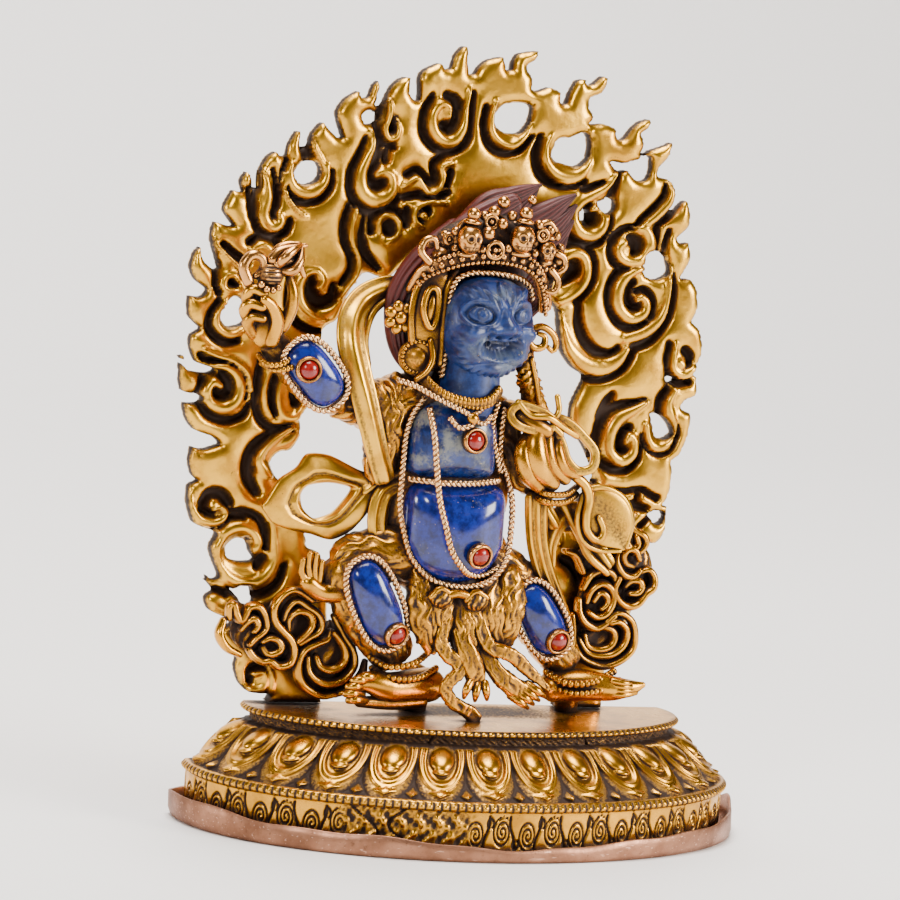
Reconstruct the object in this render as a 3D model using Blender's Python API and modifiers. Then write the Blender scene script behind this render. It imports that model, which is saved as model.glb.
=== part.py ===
# Gilt statue of a striding guardian with lapis body stones, in front of a flame aureole, on a lotus base.
# Sizes below are in millimetres. Every mesh is scaled to metres when its object is made.
# The figure faces -Y, +X is the viewer's right, and the origin is on the underside at the base's centre.
import math

import bmesh
import bpy
import numpy as np
from mathutils import Matrix, Vector

METRES_PER_MM = 0.001

# Base: an oval cut flat at the back
BACK_Y = 3.6
WALL_HALF_WIDTH = 39.9
WALL_HALF_DEPTH = 25.8
RIM_PROUD = 0.7
WALL_TOP = 6.7
RIM_HEIGHT = 1.3
PETAL_FOOT_INSET = 1.6
PETAL_ROW_HEIGHT = 6.3
PETAL_HEAD_INSET = 7.2
PETAL_COUNT = 14
PETAL_RELIEF = 1.7
COLUMNS_PER_PETAL = 4
TOP_HALF_WIDTH = 32.85
TOP_HALF_DEPTH = 18.1
TOP_THICKNESS = 0.9
WAIST_INSET = 1.3
WAIST_HEIGHT = 1.1

# Copper sheet folded up round the foot of the base
SHEET_THICKNESS = 0.45
SHEET_ROOM = 1.55
SHEET_EDGE_HEIGHT = 3.0
SHEET_EDGE_WAVE = 0.6
SHEET_COLUMNS = 26
SEAT_GAP = 0.2

# Levels that follow from the values above
CASTING_FOOT_Z = SHEET_THICKNESS + SEAT_GAP
LEDGE_Z = WALL_TOP + RIM_HEIGHT
PETAL_TOP_Z = LEDGE_Z + PETAL_ROW_HEIGHT
WAIST_TOP_Z = PETAL_TOP_Z + WAIST_HEIGHT
BASE_TOP_Z = WAIST_TOP_Z + TOP_THICKNESS + 0.2
STANDING_Z = BASE_TOP_Z + SEAT_GAP

# Aureole
PANEL_THICKNESS = 2.4
PANEL_MIDDLE_Y = BACK_Y - 0.2 - PANEL_THICKNESS / 2
FLAME_THICKNESS_SHARE = 0.42
RIB_RADIUS = 0.95
PANEL_TRIANGLES = 1950

# Figure
FIGURE_TRIANGLES = 1850
VOXEL = 0.38
SLIVER = 0.002
WAIST_LEVEL = 50.2

# Stones, wires and bezels
SETTING_GAP = 0.15
WIRE_RADIUS = 0.42
BEZEL_RADIUS = 1.85
BEZEL_WALL = 0.35
BEZEL_HEIGHT = 0.95
BEZEL_SEAT_DEPTH = 0.45
CORAL_RADIUS = 1.3
CORAL_RISE = 1.0

for leftover in list(bpy.data.objects):
    bpy.data.objects.remove(leftover, do_unlink=True)

statue = bpy.data.collections.new("vajrapani_statue")
bpy.context.scene.collection.children.link(statue)
workshop = bpy.data.collections.new("workshop")
bpy.context.scene.collection.children.link(workshop)


# Materials


def make_material(name, colour, metallic, roughness):
    finish = bpy.data.materials.new(name)
    finish.use_nodes = True
    shader = finish.node_tree.nodes["Principled BSDF"]
    shader.inputs["Base Color"].default_value = (*colour, 1.0)
    shader.inputs["Metallic"].default_value = metallic
    shader.inputs["Roughness"].default_value = roughness
    return finish


GILT = make_material("gilt", (0.80, 0.55, 0.18), 1.0, 0.32)
COPPER = make_material("copper_sheet", (0.62, 0.36, 0.27), 0.9, 0.45)
LAPIS = make_material("lapis", (0.05, 0.11, 0.45), 0.0, 0.3)
CORAL = make_material("coral", (0.62, 0.06, 0.03), 0.0, 0.2)
ROSE_GILT = make_material("rose_gilt", (0.80, 0.52, 0.34), 1.0, 0.35)


# Helpers that turn curves and cages into meshes


def new_object(name, mesh, collection):
    made = bpy.data.objects.new(name, mesh)
    collection.objects.link(made)
    return made


def evaluated_mesh(source):
    """The mesh of an object as its modifiers leave it, and the object removed."""
    bpy.context.view_layer.update()
    graph = bpy.context.evaluated_depsgraph_get()
    mesh = bpy.data.meshes.new_from_object(source.evaluated_get(graph))
    bpy.data.objects.remove(source, do_unlink=True)
    return mesh


def smooth_path(points, steps, closed=False):
    """A Catmull-Rom curve through the points, with steps pieces between two of them."""
    points = np.array(points, float)
    if closed:
        held = np.vstack([points[-1], points, points[0], points[1]])
    else:
        held = np.vstack([2 * points[0] - points[1], points, 2 * points[-1] - points[-2]])
    spans = len(held) - 3
    share = (np.arange(steps) / steps)[:, None]
    pieces = []
    for i in range(spans):
        a, b, c, d = held[i : i + 4]
        pieces.append(
            b
            + 0.5 * share * (c - a)
            + share**2 * (a - 2.5 * b + 2 * c - 0.5 * d)
            + share**3 * (-0.5 * a + 1.5 * b - 1.5 * c + 0.5 * d)
        )
    if not closed:
        pieces.append(points[-1:])
    return np.vstack(pieces)


def tube_mesh(points, radii, flat=1.0, steps=3, closed=False, sides=2):
    """A round tube of varying radius, squeezed in Y to the share flat."""
    rows = np.column_stack([np.array(points, float), np.array(radii, float) * np.ones(len(points))])
    rows = smooth_path(rows, steps, closed)
    middle = rows[:, 1].mean()
    route = bpy.data.curves.new("route", "CURVE")
    route.dimensions = "3D"
    route.bevel_depth = 1.0
    route.bevel_resolution = sides
    route.use_fill_caps = not closed
    spline = route.splines.new("POLY")
    spline.points.add(len(rows) - 1)
    for point, (x, y, z, radius) in zip(spline.points, rows):
        point.co = (x, middle + (y - middle) / flat, z, 1.0)
        point.radius = radius
    spline.use_cyclic_u = closed
    mesh = evaluated_mesh(new_object("route", route, workshop))
    squeeze = Matrix.Translation((0, middle, 0)) @ Matrix.Diagonal((1, flat, 1, 1))
    mesh.transform(squeeze @ Matrix.Translation((0, -middle, 0)))
    return mesh


def plan(points, y):
    """(x, z) pairs set in the plane at y."""
    return [(x, y, z) for x, z in points]


def ellipsoid_mesh(centre, radii, tilt=0.0, across=12, down=8):
    """An ellipsoid, turned by tilt degrees in the XZ plane, clockwise as the viewer sees it."""
    shape = bmesh.new()
    bmesh.ops.create_uvsphere(shape, u_segments=across, v_segments=down, radius=1.0)
    turn = Matrix.Rotation(math.radians(tilt), 4, "Y")
    place = Matrix.Translation(centre) @ turn @ Matrix.Diagonal((*radii, 1))
    bmesh.ops.transform(shape, matrix=place, verts=shape.verts)
    mesh = bpy.data.meshes.new("ellipsoid")
    shape.to_mesh(mesh)
    shape.free()
    return mesh


def join_meshes(meshes):
    """All meshes in one, with the caps of the tubes welded to their sides."""
    pile = bmesh.new()
    for mesh in meshes:
        pile.from_mesh(mesh)
        bpy.data.meshes.remove(mesh)
    bmesh.ops.remove_doubles(pile, verts=pile.verts, dist=1e-5)
    joined = bpy.data.meshes.new("joined")
    pile.to_mesh(joined)
    pile.free()
    return joined


def largest_body(mesh):
    """The mesh with its slivers closed and every loose crumb taken away.
    Two faces belong together where an edge is theirs alone."""
    shape = bmesh.new()
    shape.from_mesh(mesh)
    bmesh.ops.triangulate(shape, faces=shape.faces)
    bmesh.ops.remove_doubles(shape, verts=shape.verts, dist=SLIVER)
    bmesh.ops.dissolve_degenerate(shape, edges=shape.edges, dist=SLIVER)
    seen = set()
    bodies = []
    for start in shape.faces:
        if start in seen:
            continue
        seen.add(start)
        body = [start]
        for face in body:
            for edge in face.edges:
                for other in edge.link_faces:
                    if len(edge.link_faces) == 2 and other not in seen:
                        seen.add(other)
                        body.append(other)
        bodies.append(body)
    bodies.sort(key=len, reverse=True)
    crumbs = [face for body in bodies[1:] for face in body]
    bmesh.ops.delete(shape, geom=crumbs, context="FACES")
    shape.to_mesh(mesh)
    shape.free()
    return mesh


def fused(meshes, triangles):
    """One closed skin over all the meshes, thinned to about that many triangles."""
    body = new_object("fused", join_meshes(meshes), workshop)
    skin = body.modifiers.new("skin", "REMESH")
    skin.mode = "VOXEL"
    skin.voxel_size = VOXEL
    skinned = new_object("skinned", largest_body(evaluated_mesh(body)), workshop)
    skinned.data.calc_loop_triangles()
    thin = skinned.modifiers.new("thin", "DECIMATE")
    thin.ratio = triangles / len(skinned.data.loop_triangles)
    return largest_body(evaluated_mesh(skinned))


def facing_out(mesh):
    """The same closed mesh with every face pointing out."""
    shape = bmesh.new()
    shape.from_mesh(mesh)
    bmesh.ops.recalc_face_normals(shape, faces=shape.faces)
    shape.to_mesh(mesh)
    shape.free()
    return mesh


def cut_away(mesh, cutter_meshes):
    """The mesh less each cutter."""
    body = new_object("body", facing_out(mesh), workshop)
    cutters = []
    for i, cutter_mesh in enumerate(cutter_meshes):
        cutter = new_object(f"cutter_{i}", facing_out(cutter_mesh), workshop)
        cutter.hide_render = True
        cutter.display_type = "WIRE"
        cutters.append(cutter)
        cut = body.modifiers.new(f"cut_{i}", "BOOLEAN")
        cut.operation = "DIFFERENCE"
        cut.object = cutter
    result = largest_body(evaluated_mesh(body))
    for cutter in cutters:
        bpy.data.objects.remove(cutter, do_unlink=True)
    return result


def grown(mesh, gap):
    """A copy of a closed mesh with every corner moved outwards by the gap."""
    shape = bmesh.new()
    shape.from_mesh(mesh)
    bmesh.ops.recalc_face_normals(shape, faces=shape.faces)
    shape.normal_update()
    moves = [vertex.normal * gap for vertex in shape.verts]
    for vertex, move in zip(shape.verts, moves):
        vertex.co += move
    copy = bpy.data.meshes.new("grown")
    shape.to_mesh(copy)
    shape.free()
    return copy


def finish_piece(name, mesh, material):
    """The named object in metres, with its material and smooth shading."""
    mesh.name = name
    mesh.transform(Matrix.Scale(METRES_PER_MM, 4))
    mesh.materials.clear()
    mesh.materials.append(material)
    mesh.shade_smooth()
    mesh.set_sharp_from_angle(angle=math.radians(40))
    return new_object(name, mesh, statue)


def rows_mesh(rows):
    """A closed skin over rings of equally many points, with flat ends. Rows run up the outside."""
    count = len(rows[0])
    points = np.vstack(rows)
    faces = [list(range(count))[::-1]]
    for row in range(len(rows) - 1):
        low = row * count
        high = low + count
        for i in range(count):
            j = (i + 1) % count
            faces.append([low + i, low + j, high + j, high + i])
    last = (len(rows) - 1) * count
    faces.append(list(range(last, last + count)))
    mesh = bpy.data.meshes.new("rows")
    mesh.from_pydata(points.tolist(), [], faces)
    mesh.update()
    return mesh


# Base


def oval_ring(half_width, half_depth, back, columns):
    """Points at equal spacing from the back left corner round the front to the back right corner,
    and the outward direction at each."""
    corner = math.asin(back / half_depth)
    turn = np.linspace(-math.pi - corner, corner, 721)
    path = np.column_stack([half_width * np.cos(turn), half_depth * np.sin(turn)])
    run = np.append(0.0, np.cumsum(np.linalg.norm(np.diff(path, axis=0), axis=1)))
    turn = np.interp(np.linspace(0, run[-1], columns + 1), run, turn)
    points = np.column_stack([half_width * np.cos(turn), half_depth * np.sin(turn)])
    outward = np.column_stack([half_depth * np.cos(turn), half_width * np.sin(turn)])
    return points, outward / np.linalg.norm(outward, axis=1)[:, None]


def dome(across, along):
    """The height of a half ball over a disc of radius 1."""
    return np.sqrt(np.clip(1 - across**2 - along**2, 0, None))


def petal_height(u, v):
    """The relief of one petal: u runs -0.5 to 0.5 across it, v 0 to 1 up it."""
    bulb = dome(u / 0.3, (v - 0.68) / 0.32)
    blade = 0.55 * dome(u / 0.46, (v - 0.42) / 0.4)
    lobe = 0.75 * dome(u / 0.42, (v - 0.12) / 0.14)
    return np.maximum(np.maximum(bulb, blade), lobe)


def lotus_base():
    columns = PETAL_COUNT * COLUMNS_PER_PETAL
    rim_width = WALL_HALF_WIDTH + RIM_PROUD
    rim_depth = WALL_HALF_DEPTH + RIM_PROUD
    petal_width = rim_width - PETAL_FOOT_INSET
    petal_depth = rim_depth - PETAL_FOOT_INSET
    waist_width = TOP_HALF_WIDTH - WAIST_INSET
    waist_depth = TOP_HALF_DEPTH - WAIST_INSET
    plain = [
        (WALL_HALF_WIDTH, WALL_HALF_DEPTH, CASTING_FOOT_Z),
        (WALL_HALF_WIDTH, WALL_HALF_DEPTH, WALL_TOP),
        (rim_width, rim_depth, WALL_TOP + RIM_HEIGHT / 2),
        (petal_width + 0.5, petal_depth + 0.5, LEDGE_Z),
    ]
    top = [
        (waist_width, waist_depth, PETAL_TOP_Z + 0.1),
        (waist_width, waist_depth, WAIST_TOP_Z),
        (TOP_HALF_WIDTH, TOP_HALF_DEPTH, WAIST_TOP_Z + 0.2 + TOP_THICKNESS / 2),
        (TOP_HALF_WIDTH - 0.3, TOP_HALF_DEPTH - 0.3, BASE_TOP_Z),
    ]
    rows = []
    for half_width, half_depth, z in plain:
        ring, _ = oval_ring(half_width, half_depth, BACK_Y, columns)
        rows.append(np.column_stack([ring, np.full(len(ring), z)]))
    across = (np.arange(columns + 1) % COLUMNS_PER_PETAL) / COLUMNS_PER_PETAL
    u = np.where(across == 0, 0.5, across - 0.5)
    for v in (0.0, 0.12, 0.27, 0.42, 0.68, 0.9, 1.0):
        inset = PETAL_HEAD_INSET * v
        ring, outward = oval_ring(petal_width - inset, petal_depth - inset, BACK_Y, columns)
        relief = PETAL_RELIEF * petal_height(u, v)
        ring = ring + outward * relief[:, None]
        ring[:, 1] = np.minimum(ring[:, 1], BACK_Y)
        rows.append(np.column_stack([ring, np.full(len(ring), LEDGE_Z + 0.1 + v * (PETAL_ROW_HEIGHT - 0.1))]))
    for half_width, half_depth, z in top:
        ring, _ = oval_ring(half_width, half_depth, BACK_Y, columns)
        rows.append(np.column_stack([ring, np.full(len(ring), z)]))
    finish_piece("lotus_base", rows_mesh(rows), GILT)


def bottom_plate():
    half_width = WALL_HALF_WIDTH + SHEET_ROOM + SHEET_THICKNESS
    half_depth = WALL_HALF_DEPTH + SHEET_ROOM + SHEET_THICKNESS
    back = BACK_Y + SEAT_GAP + SHEET_THICKNESS
    turn = np.linspace(0, 1, SHEET_COLUMNS + 1)
    wave = np.sin(9.4 * turn + 0.6) + 0.6 * np.sin(21.0 * turn)
    edge = SHEET_EDGE_HEIGHT + SHEET_EDGE_WAVE * wave
    rows = []
    for inset, level in (
        (0.5, 0 * edge),
        (0.0, 0 * edge + 0.6),
        (0.0, edge),
        (SHEET_THICKNESS, edge),
        (SHEET_THICKNESS + 0.4, 0 * edge + SHEET_THICKNESS),
    ):
        ring, _ = oval_ring(half_width - inset, half_depth - inset, back - inset / 2, SHEET_COLUMNS)
        rows.append(np.column_stack([ring, level]))
    finish_piece("bottom_plate", rows_mesh(rows), COPPER)


# Aureole

# The band's outer root line, from the left foot over the top to the right foot, as (x, z)
OUTER_LINE = [
    (-29, 17), (-34, 23), (-37, 30), (-38.5, 38), (-40, 46), (-41, 54), (-42, 63), (-42.5, 72),
    (-41, 79), (-37.5, 87), (-31, 94), (-22, 99.5), (-12, 103.5), (-2, 105.5), (8, 102.5),
    (17, 98), (23.5, 92), (28, 83), (31, 73), (31.3, 62), (29.8, 50), (28, 41), (25.5, 31), (22, 20),
]
# The opening behind the figure, from the right foot over the head to the left foot
INNER_LINE = [
    (14, 20), (13.5, 32), (15, 47), (13, 59), (14.5, 64.5), (10.3, 69), (8.5, 75), (2, 81),
    (-6, 83), (-14, 81), (-20, 77.5), (-23.2, 71), (-24.8, 66), (-26, 58), (-29.3, 51),
    (-26, 45), (-23, 38), (-21, 28), (-21, 19),
]
FEET = [((-29, 17), (-21, 17)), ((22, 17), (14, 17))]

# Flame tongues as (root x, root z, tip x, tip z, width)
TONGUES = [
    (-32.5, 22, -37, 26.5, 3.0), (-35.5, 28, -40, 34.2, 3.6), (-37.5, 38, -43.1, 46.7, 4.6),
    (-39, 46.5, -43, 52.3, 3.2), (-39.5, 52, -44.8, 58, 3.8), (-41, 58, -45.4, 64.8, 4.2),
    (-41, 65, -45, 73, 4.4), (-42, 73.5, -43.6, 80.1, 3.8), (-40.5, 77.5, -42.2, 83.5, 3.0),
    (-39, 82, -40, 88.1, 3.0), (-36.5, 86, -37.9, 90.9, 3.0), (-34, 89, -33.9, 93.9, 3.0),
    (-31, 91.5, -30.5, 97.2, 2.8), (-28.5, 93.5, -27.5, 98.4, 2.8), (-23.6, 96, -22.5, 103, 3.4),
    (-20, 98.5, -19.6, 104.7, 3.0), (-17, 99, -15.1, 105.3, 3.6), (-13, 101.5, -10.7, 107.5, 3.4),
    (-7.6, 103, -6.8, 110, 3.6), (-4.6, 103.5, -1.4, 109, 3.0), (0.6, 103.5, 4, 110.2, 4.2),
    (7.5, 101, 11.4, 106.8, 3.6), (11.5, 100, 15, 106.9, 3.2), (14.5, 98, 17, 100, 2.6),
    (18, 96.5, 22.1, 101.7, 3.4), (21.5, 93.5, 25.8, 98.7, 3.8), (25, 88, 26.8, 92, 3.0),
    (26.3, 85.5, 28.5, 90.6, 3.2), (27, 81, 29.9, 84.4, 3.0), (29.3, 73, 30.6, 79.1, 3.6),
    (31, 65, 33, 71.3, 3.6), (30.7, 60, 32.9, 64.8, 3.2), (30, 53.5, 32.5, 59.4, 3.6),
    (28.6, 46, 30.3, 50.9, 3.4), (27.5, 40, 29.9, 45.9, 3.4), (25.5, 34, 27.6, 38.6, 3.0),
]
# Scroll ribs as (x, z, radius, start angle, swept angle); angles in degrees, anticlockwise from +X
SCROLLS = [
    (-28.6, 90.8, 2.5, 60, 300), (-17.8, 90, 2.6, -160, 330), (-25.9, 75.2, 2.7, 120, 400),
    (-8.5, 99.5, 2.6, 150, 300), (0.7, 100.2, 2.7, 40, 320), (9.6, 96.3, 3.2, 60, 320),
    (14.6, 86.6, 2.2, 150, 330), (20.8, 83.2, 2.4, 60, -330), (22.0, 75.2, 2.8, 100, -400),
    (12.0, 80.5, 1.9, 90, 330), (-39.3, 60.6, 2.8, 100, 400), (-38.2, 43.5, 3.0, 100, 380),
    (30.0, 66.9, 1.7, 80, 300), (22.5, 55.2, 2.4, 70, -400), (27.5, 56.5, 2.4, -20, -300),
    (-33.6, 37.4, 4.0, 140, 420), (-30, 19.9, 1.8, 60, -330), (-38.7, 75.5, 1.5, 90, 330),
    (-33.2, 85, 2.2, 150, 360), (-35.0, 71.0, 2.2, 60, 330), (-11, 88.6, 2.2, 100, 330),
    (-16.5, 96.5, 2.0, 90, 330), (17.6, 91.5, 1.8, 90, 300), (20.0, 66.5, 3.4, 10, -200),
    (13.6, 70.0, 3.6, 110, 220), (-30.8, 58.5, 2.4, 100, 380), (22.5, 45.0, 2.2, 100, -330),
    (-2.5, 92.5, 2.4, 150, 260), (5.5, 89.5, 2.2, 100, 260), (-24.5, 84.5, 2.0, 100, 300),
]
# Openings through the panel as (x, z, half width, half height)
HOLES = [
    (-29.8, 91, 0.9, 0.9), (-0.1, 100.6, 1.3, 1.8), (9.6, 96.5, 1.8, 1.6), (18.4, 94.8, 1.4, 0.8),
    (24, 80.6, 0.7, 1.8), (-38.8, 70.8, 1.0, 1.7), (26.9, 58.3, 0.6, 1.3), (-34.6, 38, 1.6, 1.6),
]


def panel_plate():
    """The flat band with its openings, filled between closed curves and given its thickness."""
    outline = bpy.data.curves.new("band", "CURVE")
    outline.dimensions = "2D"
    outline.fill_mode = "BOTH"
    outline.extrude = PANEL_THICKNESS / 2
    feet = STANDING_Z - 1.0
    edge = np.vstack(
        [
            [(FEET[0][0][0], feet)],
            smooth_path(OUTER_LINE[1:], 3),
            [(FEET[1][0][0], feet), (FEET[1][1][0], feet)],
            smooth_path(INNER_LINE, 3),
            [(FEET[0][1][0], feet)],
        ]
    )
    turn = np.linspace(0, 2 * math.pi, 13)[:-1]
    loops = [edge]
    for x, z, half_width, half_height in HOLES:
        loops.append(np.column_stack([x + half_width * np.cos(turn), z + half_height * np.sin(turn)]))
    for loop in loops:
        spline = outline.splines.new("POLY")
        spline.points.add(len(loop) - 1)
        for point, (x, z) in zip(spline.points, loop):
            point.co = (x, z, 0, 1)
        spline.use_cyclic_u = True
    mesh = evaluated_mesh(new_object("band", outline, workshop))
    mesh.transform(Matrix.Translation((0, PANEL_MIDDLE_Y, 0)) @ Matrix.Rotation(math.pi / 2, 4, "X"))
    return mesh


def tongue_mesh(root_x, root_z, tip_x, tip_z, width):
    """A flat flame that leaves its root, bellies out and bends back to its tip."""
    root = np.array([root_x, root_z])
    tip = np.array([tip_x, tip_z])
    along = tip - root
    side = np.array([along[1], -along[0]])
    belly = root + 0.5 * along - 0.16 * side * np.sign(along[0] + 0.01) * -1
    y = PANEL_MIDDLE_Y
    points = [(root[0], y, root[1]), (belly[0], y, belly[1]), (tip[0], y, tip[1])]
    return tube_mesh(points, [width / 2, width * 0.42, 0.25], flat=FLAME_THICKNESS_SHARE, sides=1)


def spiral_points(x, z, radius, start, sweep, y, tightening=0.45):
    """Points of a scroll that turns from start through sweep degrees and closes in on its middle."""
    count = max(6, int(abs(sweep) / 45) + 1)
    share = np.linspace(0, 1, count)
    angle = np.radians(start + sweep * share)
    reach = radius * (1 - tightening * share * abs(sweep) / 360)
    return np.column_stack([x + reach * np.cos(angle), np.full(count, y), z + reach * np.sin(angle)])


def flame_aureole():
    pieces = [panel_plate()]
    front = PANEL_MIDDLE_Y - PANEL_THICKNESS / 2
    for tongue in TONGUES:
        pieces.append(tongue_mesh(*tongue))
    for x, z, radius, start, sweep in SCROLLS:
        route = spiral_points(x, z, radius, start, sweep, front + 0.1)
        taper = np.linspace(RIB_RADIUS, RIB_RADIUS * 0.75, len(route))
        pieces.append(tube_mesh(route, taper, flat=0.8, steps=1, sides=1))
    finish_piece("flame_aureole", cut_away(fused(pieces, PANEL_TRIANGLES), [floor_block()]), GILT)


# Stones


def cabochon_mesh(centre, half_width, half_length, half_depth, tilt, across=12, down=6):
    """A pebble with full sides: the sphere's corners pushed out towards a box."""
    mesh = ellipsoid_mesh((0, 0, 0), (1, 1, 1), 0, across, down)
    points = np.empty(len(mesh.vertices) * 3)
    mesh.vertices.foreach_get("co", points)
    points = points.reshape(-1, 3)
    fullness = np.linalg.norm(points, axis=1) / (np.abs(points) ** 2.6).sum(axis=1) ** (1 / 2.6)
    points = points * fullness[:, None] * (half_width, half_depth, half_length)
    mesh.vertices.foreach_set("co", points.ravel())
    mesh.transform(Matrix.Translation(centre) @ Matrix.Rotation(math.radians(tilt), 4, "Y"))
    return mesh


def bump(points, x, z, half_width, half_height):
    """A smooth swelling of height 1 round a place on the face."""
    reach = ((points[:, 0] - x) / half_width) ** 2 + ((points[:, 2] - z) / half_height) ** 2
    return np.exp(-reach)


HEAD_CENTRE = (-4.1, -6.4, 72.0)
HEAD_HALF = (6.5, 5.0, 7.3)
FACE_TURN = 4.0


def carved_head():
    """The front of the head: a rounded block with nose, brows, cheeks and an open mouth."""
    head = ellipsoid_mesh((0, 0, 0), (1, 1, 1), 0, 16, 12)
    points = np.empty(len(head.vertices) * 3)
    head.vertices.foreach_get("co", points)
    points = points.reshape(-1, 3)
    fullness = 1 / (np.abs(points) ** 2.4).sum(axis=1) ** (1 / 2.4)
    points = points * fullness[:, None]
    forward = np.clip(-points[:, 1], 0, None)
    nose = bump(points, 0.32, 0.12, 0.14, 0.24)
    brows = bump(points, -0.1, 0.5, 0.26, 0.12) + bump(points, 0.7, 0.5, 0.2, 0.12)
    cheeks = bump(points, -0.25, -0.1, 0.25, 0.2) + bump(points, 0.78, -0.1, 0.18, 0.2)
    eyes = bump(points, -0.1, 0.27, 0.2, 0.1) + bump(points, 0.7, 0.27, 0.16, 0.1)
    mouth = bump(points, 0.25, -0.45, 0.32, 0.13)
    lips = bump(points, 0.25, -0.68, 0.4, 0.1) + bump(points, 0.25, -0.24, 0.3, 0.08)
    chin = bump(points, 0.3, -0.92, 0.4, 0.15)
    relief = 0.3 * nose + 0.1 * brows + 0.08 * cheeks - 0.05 * eyes
    relief += 0.1 * lips + 0.1 * chin - 0.14 * mouth
    points[:, 1] -= forward * relief
    points = points * (HEAD_HALF[0], HEAD_HALF[1], HEAD_HALF[2])
    head.vertices.foreach_set("co", points.ravel())
    head.transform(Matrix.Translation(HEAD_CENTRE) @ Matrix.Rotation(math.radians(FACE_TURN), 4, "Z"))
    return head


def carved_neck():
    route = [(-5.6, -6.2, 60.6), (-5.4, -6.2, 64), (-5.0, -6.2, 70)]
    return join_meshes([tube_mesh(route, [4.4, 4.3, 3.6], flat=0.85, steps=1)])


def face_mesh():
    """Head front and neck are one stone."""
    stone = new_object("head_stone", carved_head(), workshop)
    column = new_object("neck_stone", carved_neck(), workshop)
    union = stone.modifiers.new("neck", "BOOLEAN")
    union.operation = "UNION"
    union.object = column
    mesh = evaluated_mesh(stone)
    bpy.data.objects.remove(column, do_unlink=True)
    return mesh


# Stones as name: centre, half width, half length, half depth, tilt
PEBBLES = {
    "chest_stone": ((-8.0, -6.5, WAIST_LEVEL + 5.2), 6.4, 4.5, 4.6, 0),
    "belly_stone": ((-6.7, -7.0, WAIST_LEVEL - 7.0), 7.3, 6.4, 5.4, 0),
    "forearm_stone": ((-28.9, -7.0, 64.3), 3.0, 4.9, 2.4, -42),
    "right_shin_stone": ((-17.3, -7.2, 32.6), 3.0, 6.4, 2.7, -27),
    "left_shin_stone": ((7.9, -6.6, 30.8), 2.9, 5.4, 2.6, -32),
}
# Corals as name: the stone that carries it, its x and z
CORALS = {
    "chest": ("chest_stone", -5.8, 56.3),
    "belly": ("belly_stone", -3.9, 40.3),
    "forearm": ("forearm_stone", -30.4, 65.0),
    "right_shin": ("right_shin_stone", -14.4, 28.4),
    "left_shin": ("left_shin_stone", 10.1, 28.0),
}


def pebble_front(stone, x, z):
    """The Y of the stone's front surface at x, z, and the outward direction there."""
    centre, half_width, half_length, half_depth, tilt = PEBBLES[stone]
    turn = math.radians(tilt)
    right = math.cos(turn) * (x - centre[0]) - math.sin(turn) * (z - centre[2])
    up = math.sin(turn) * (x - centre[0]) + math.cos(turn) * (z - centre[2])
    filled = (abs(right) / half_width) ** 2.6 + (abs(up) / half_length) ** 2.6
    depth = half_depth * max(0.02, 1 - filled) ** (1 / 2.6)
    slope_right = (abs(right) / half_width) ** 1.6 / half_width * math.copysign(1, right)
    slope_up = (abs(up) / half_length) ** 1.6 / half_length * math.copysign(1, up)
    slope_out = (depth / half_depth) ** 1.6 / half_depth
    out = Vector(
        (
            math.cos(turn) * slope_right + math.sin(turn) * slope_up,
            -slope_out,
            -math.sin(turn) * slope_right + math.cos(turn) * slope_up,
        )
    )
    return Vector((x, centre[1] - depth, z)), out.normalized()


def turned_mesh(profile, steps):
    """A profile in the XZ plane turned round Z, with the Screw modifier."""
    shape = bpy.data.meshes.new("profile")
    count = len(profile)
    edges = [(i, (i + 1) % count) for i in range(count)]
    shape.from_pydata([(radius, 0, z) for radius, z in profile], edges, [])
    wheel = new_object("wheel", shape, workshop)
    screw = wheel.modifiers.new("turn", "SCREW")
    screw.steps = steps
    screw.render_steps = steps
    screw.use_merge_vertices = True
    screw.merge_threshold = 0.0001
    mesh = evaluated_mesh(wheel)
    shape = bmesh.new()
    shape.from_mesh(mesh)
    bmesh.ops.remove_doubles(shape, verts=shape.verts, dist=1e-4)
    bmesh.ops.recalc_face_normals(shape, faces=shape.faces)
    shape.to_mesh(mesh)
    shape.free()
    return mesh


def floor_block():
    """The space below the top of the base, which nothing that stands on it enters."""
    shape = bmesh.new()
    bmesh.ops.create_cube(shape, size=1.0)
    depth = 6.0
    place = Matrix.Translation((0, 0, STANDING_Z - depth / 2)) @ Matrix.Diagonal((120, 80, depth, 1))
    bmesh.ops.transform(shape, matrix=place, verts=shape.verts)
    mesh = bpy.data.meshes.new("floor")
    shape.to_mesh(mesh)
    shape.free()
    return mesh


def seat_frame(stone, x, z):
    """A frame at the bottom of the drilled seat, with its Z axis out of the stone."""
    point, out = pebble_front(stone, x, z)
    return Matrix.Translation(point - out * BEZEL_SEAT_DEPTH) @ out.to_track_quat("Z", "Y").to_matrix().to_4x4()


def bezel_and_coral(name, stone, x, z):
    frame = seat_frame(stone, x, z)
    inner = BEZEL_RADIUS - BEZEL_WALL
    foot = SETTING_GAP
    profile = [
        (BEZEL_RADIUS, foot + BEZEL_HEIGHT * 0.8),
        (BEZEL_RADIUS, foot),
        (inner, foot),
        (inner, foot + BEZEL_HEIGHT),
    ]
    ring = turned_mesh(profile, 10)
    ring.transform(frame)
    finish_piece(f"{name}_bezel", ring, ROSE_GILT)
    dome_mesh = ellipsoid_mesh(
        (0, 0, foot + CORAL_RISE * 0.75), (CORAL_RADIUS, CORAL_RADIUS, CORAL_RISE * 0.75), 0, 8, 5
    )
    dome_mesh.transform(frame)
    finish_piece(f"{name}_coral", dome_mesh, CORAL)


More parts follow.
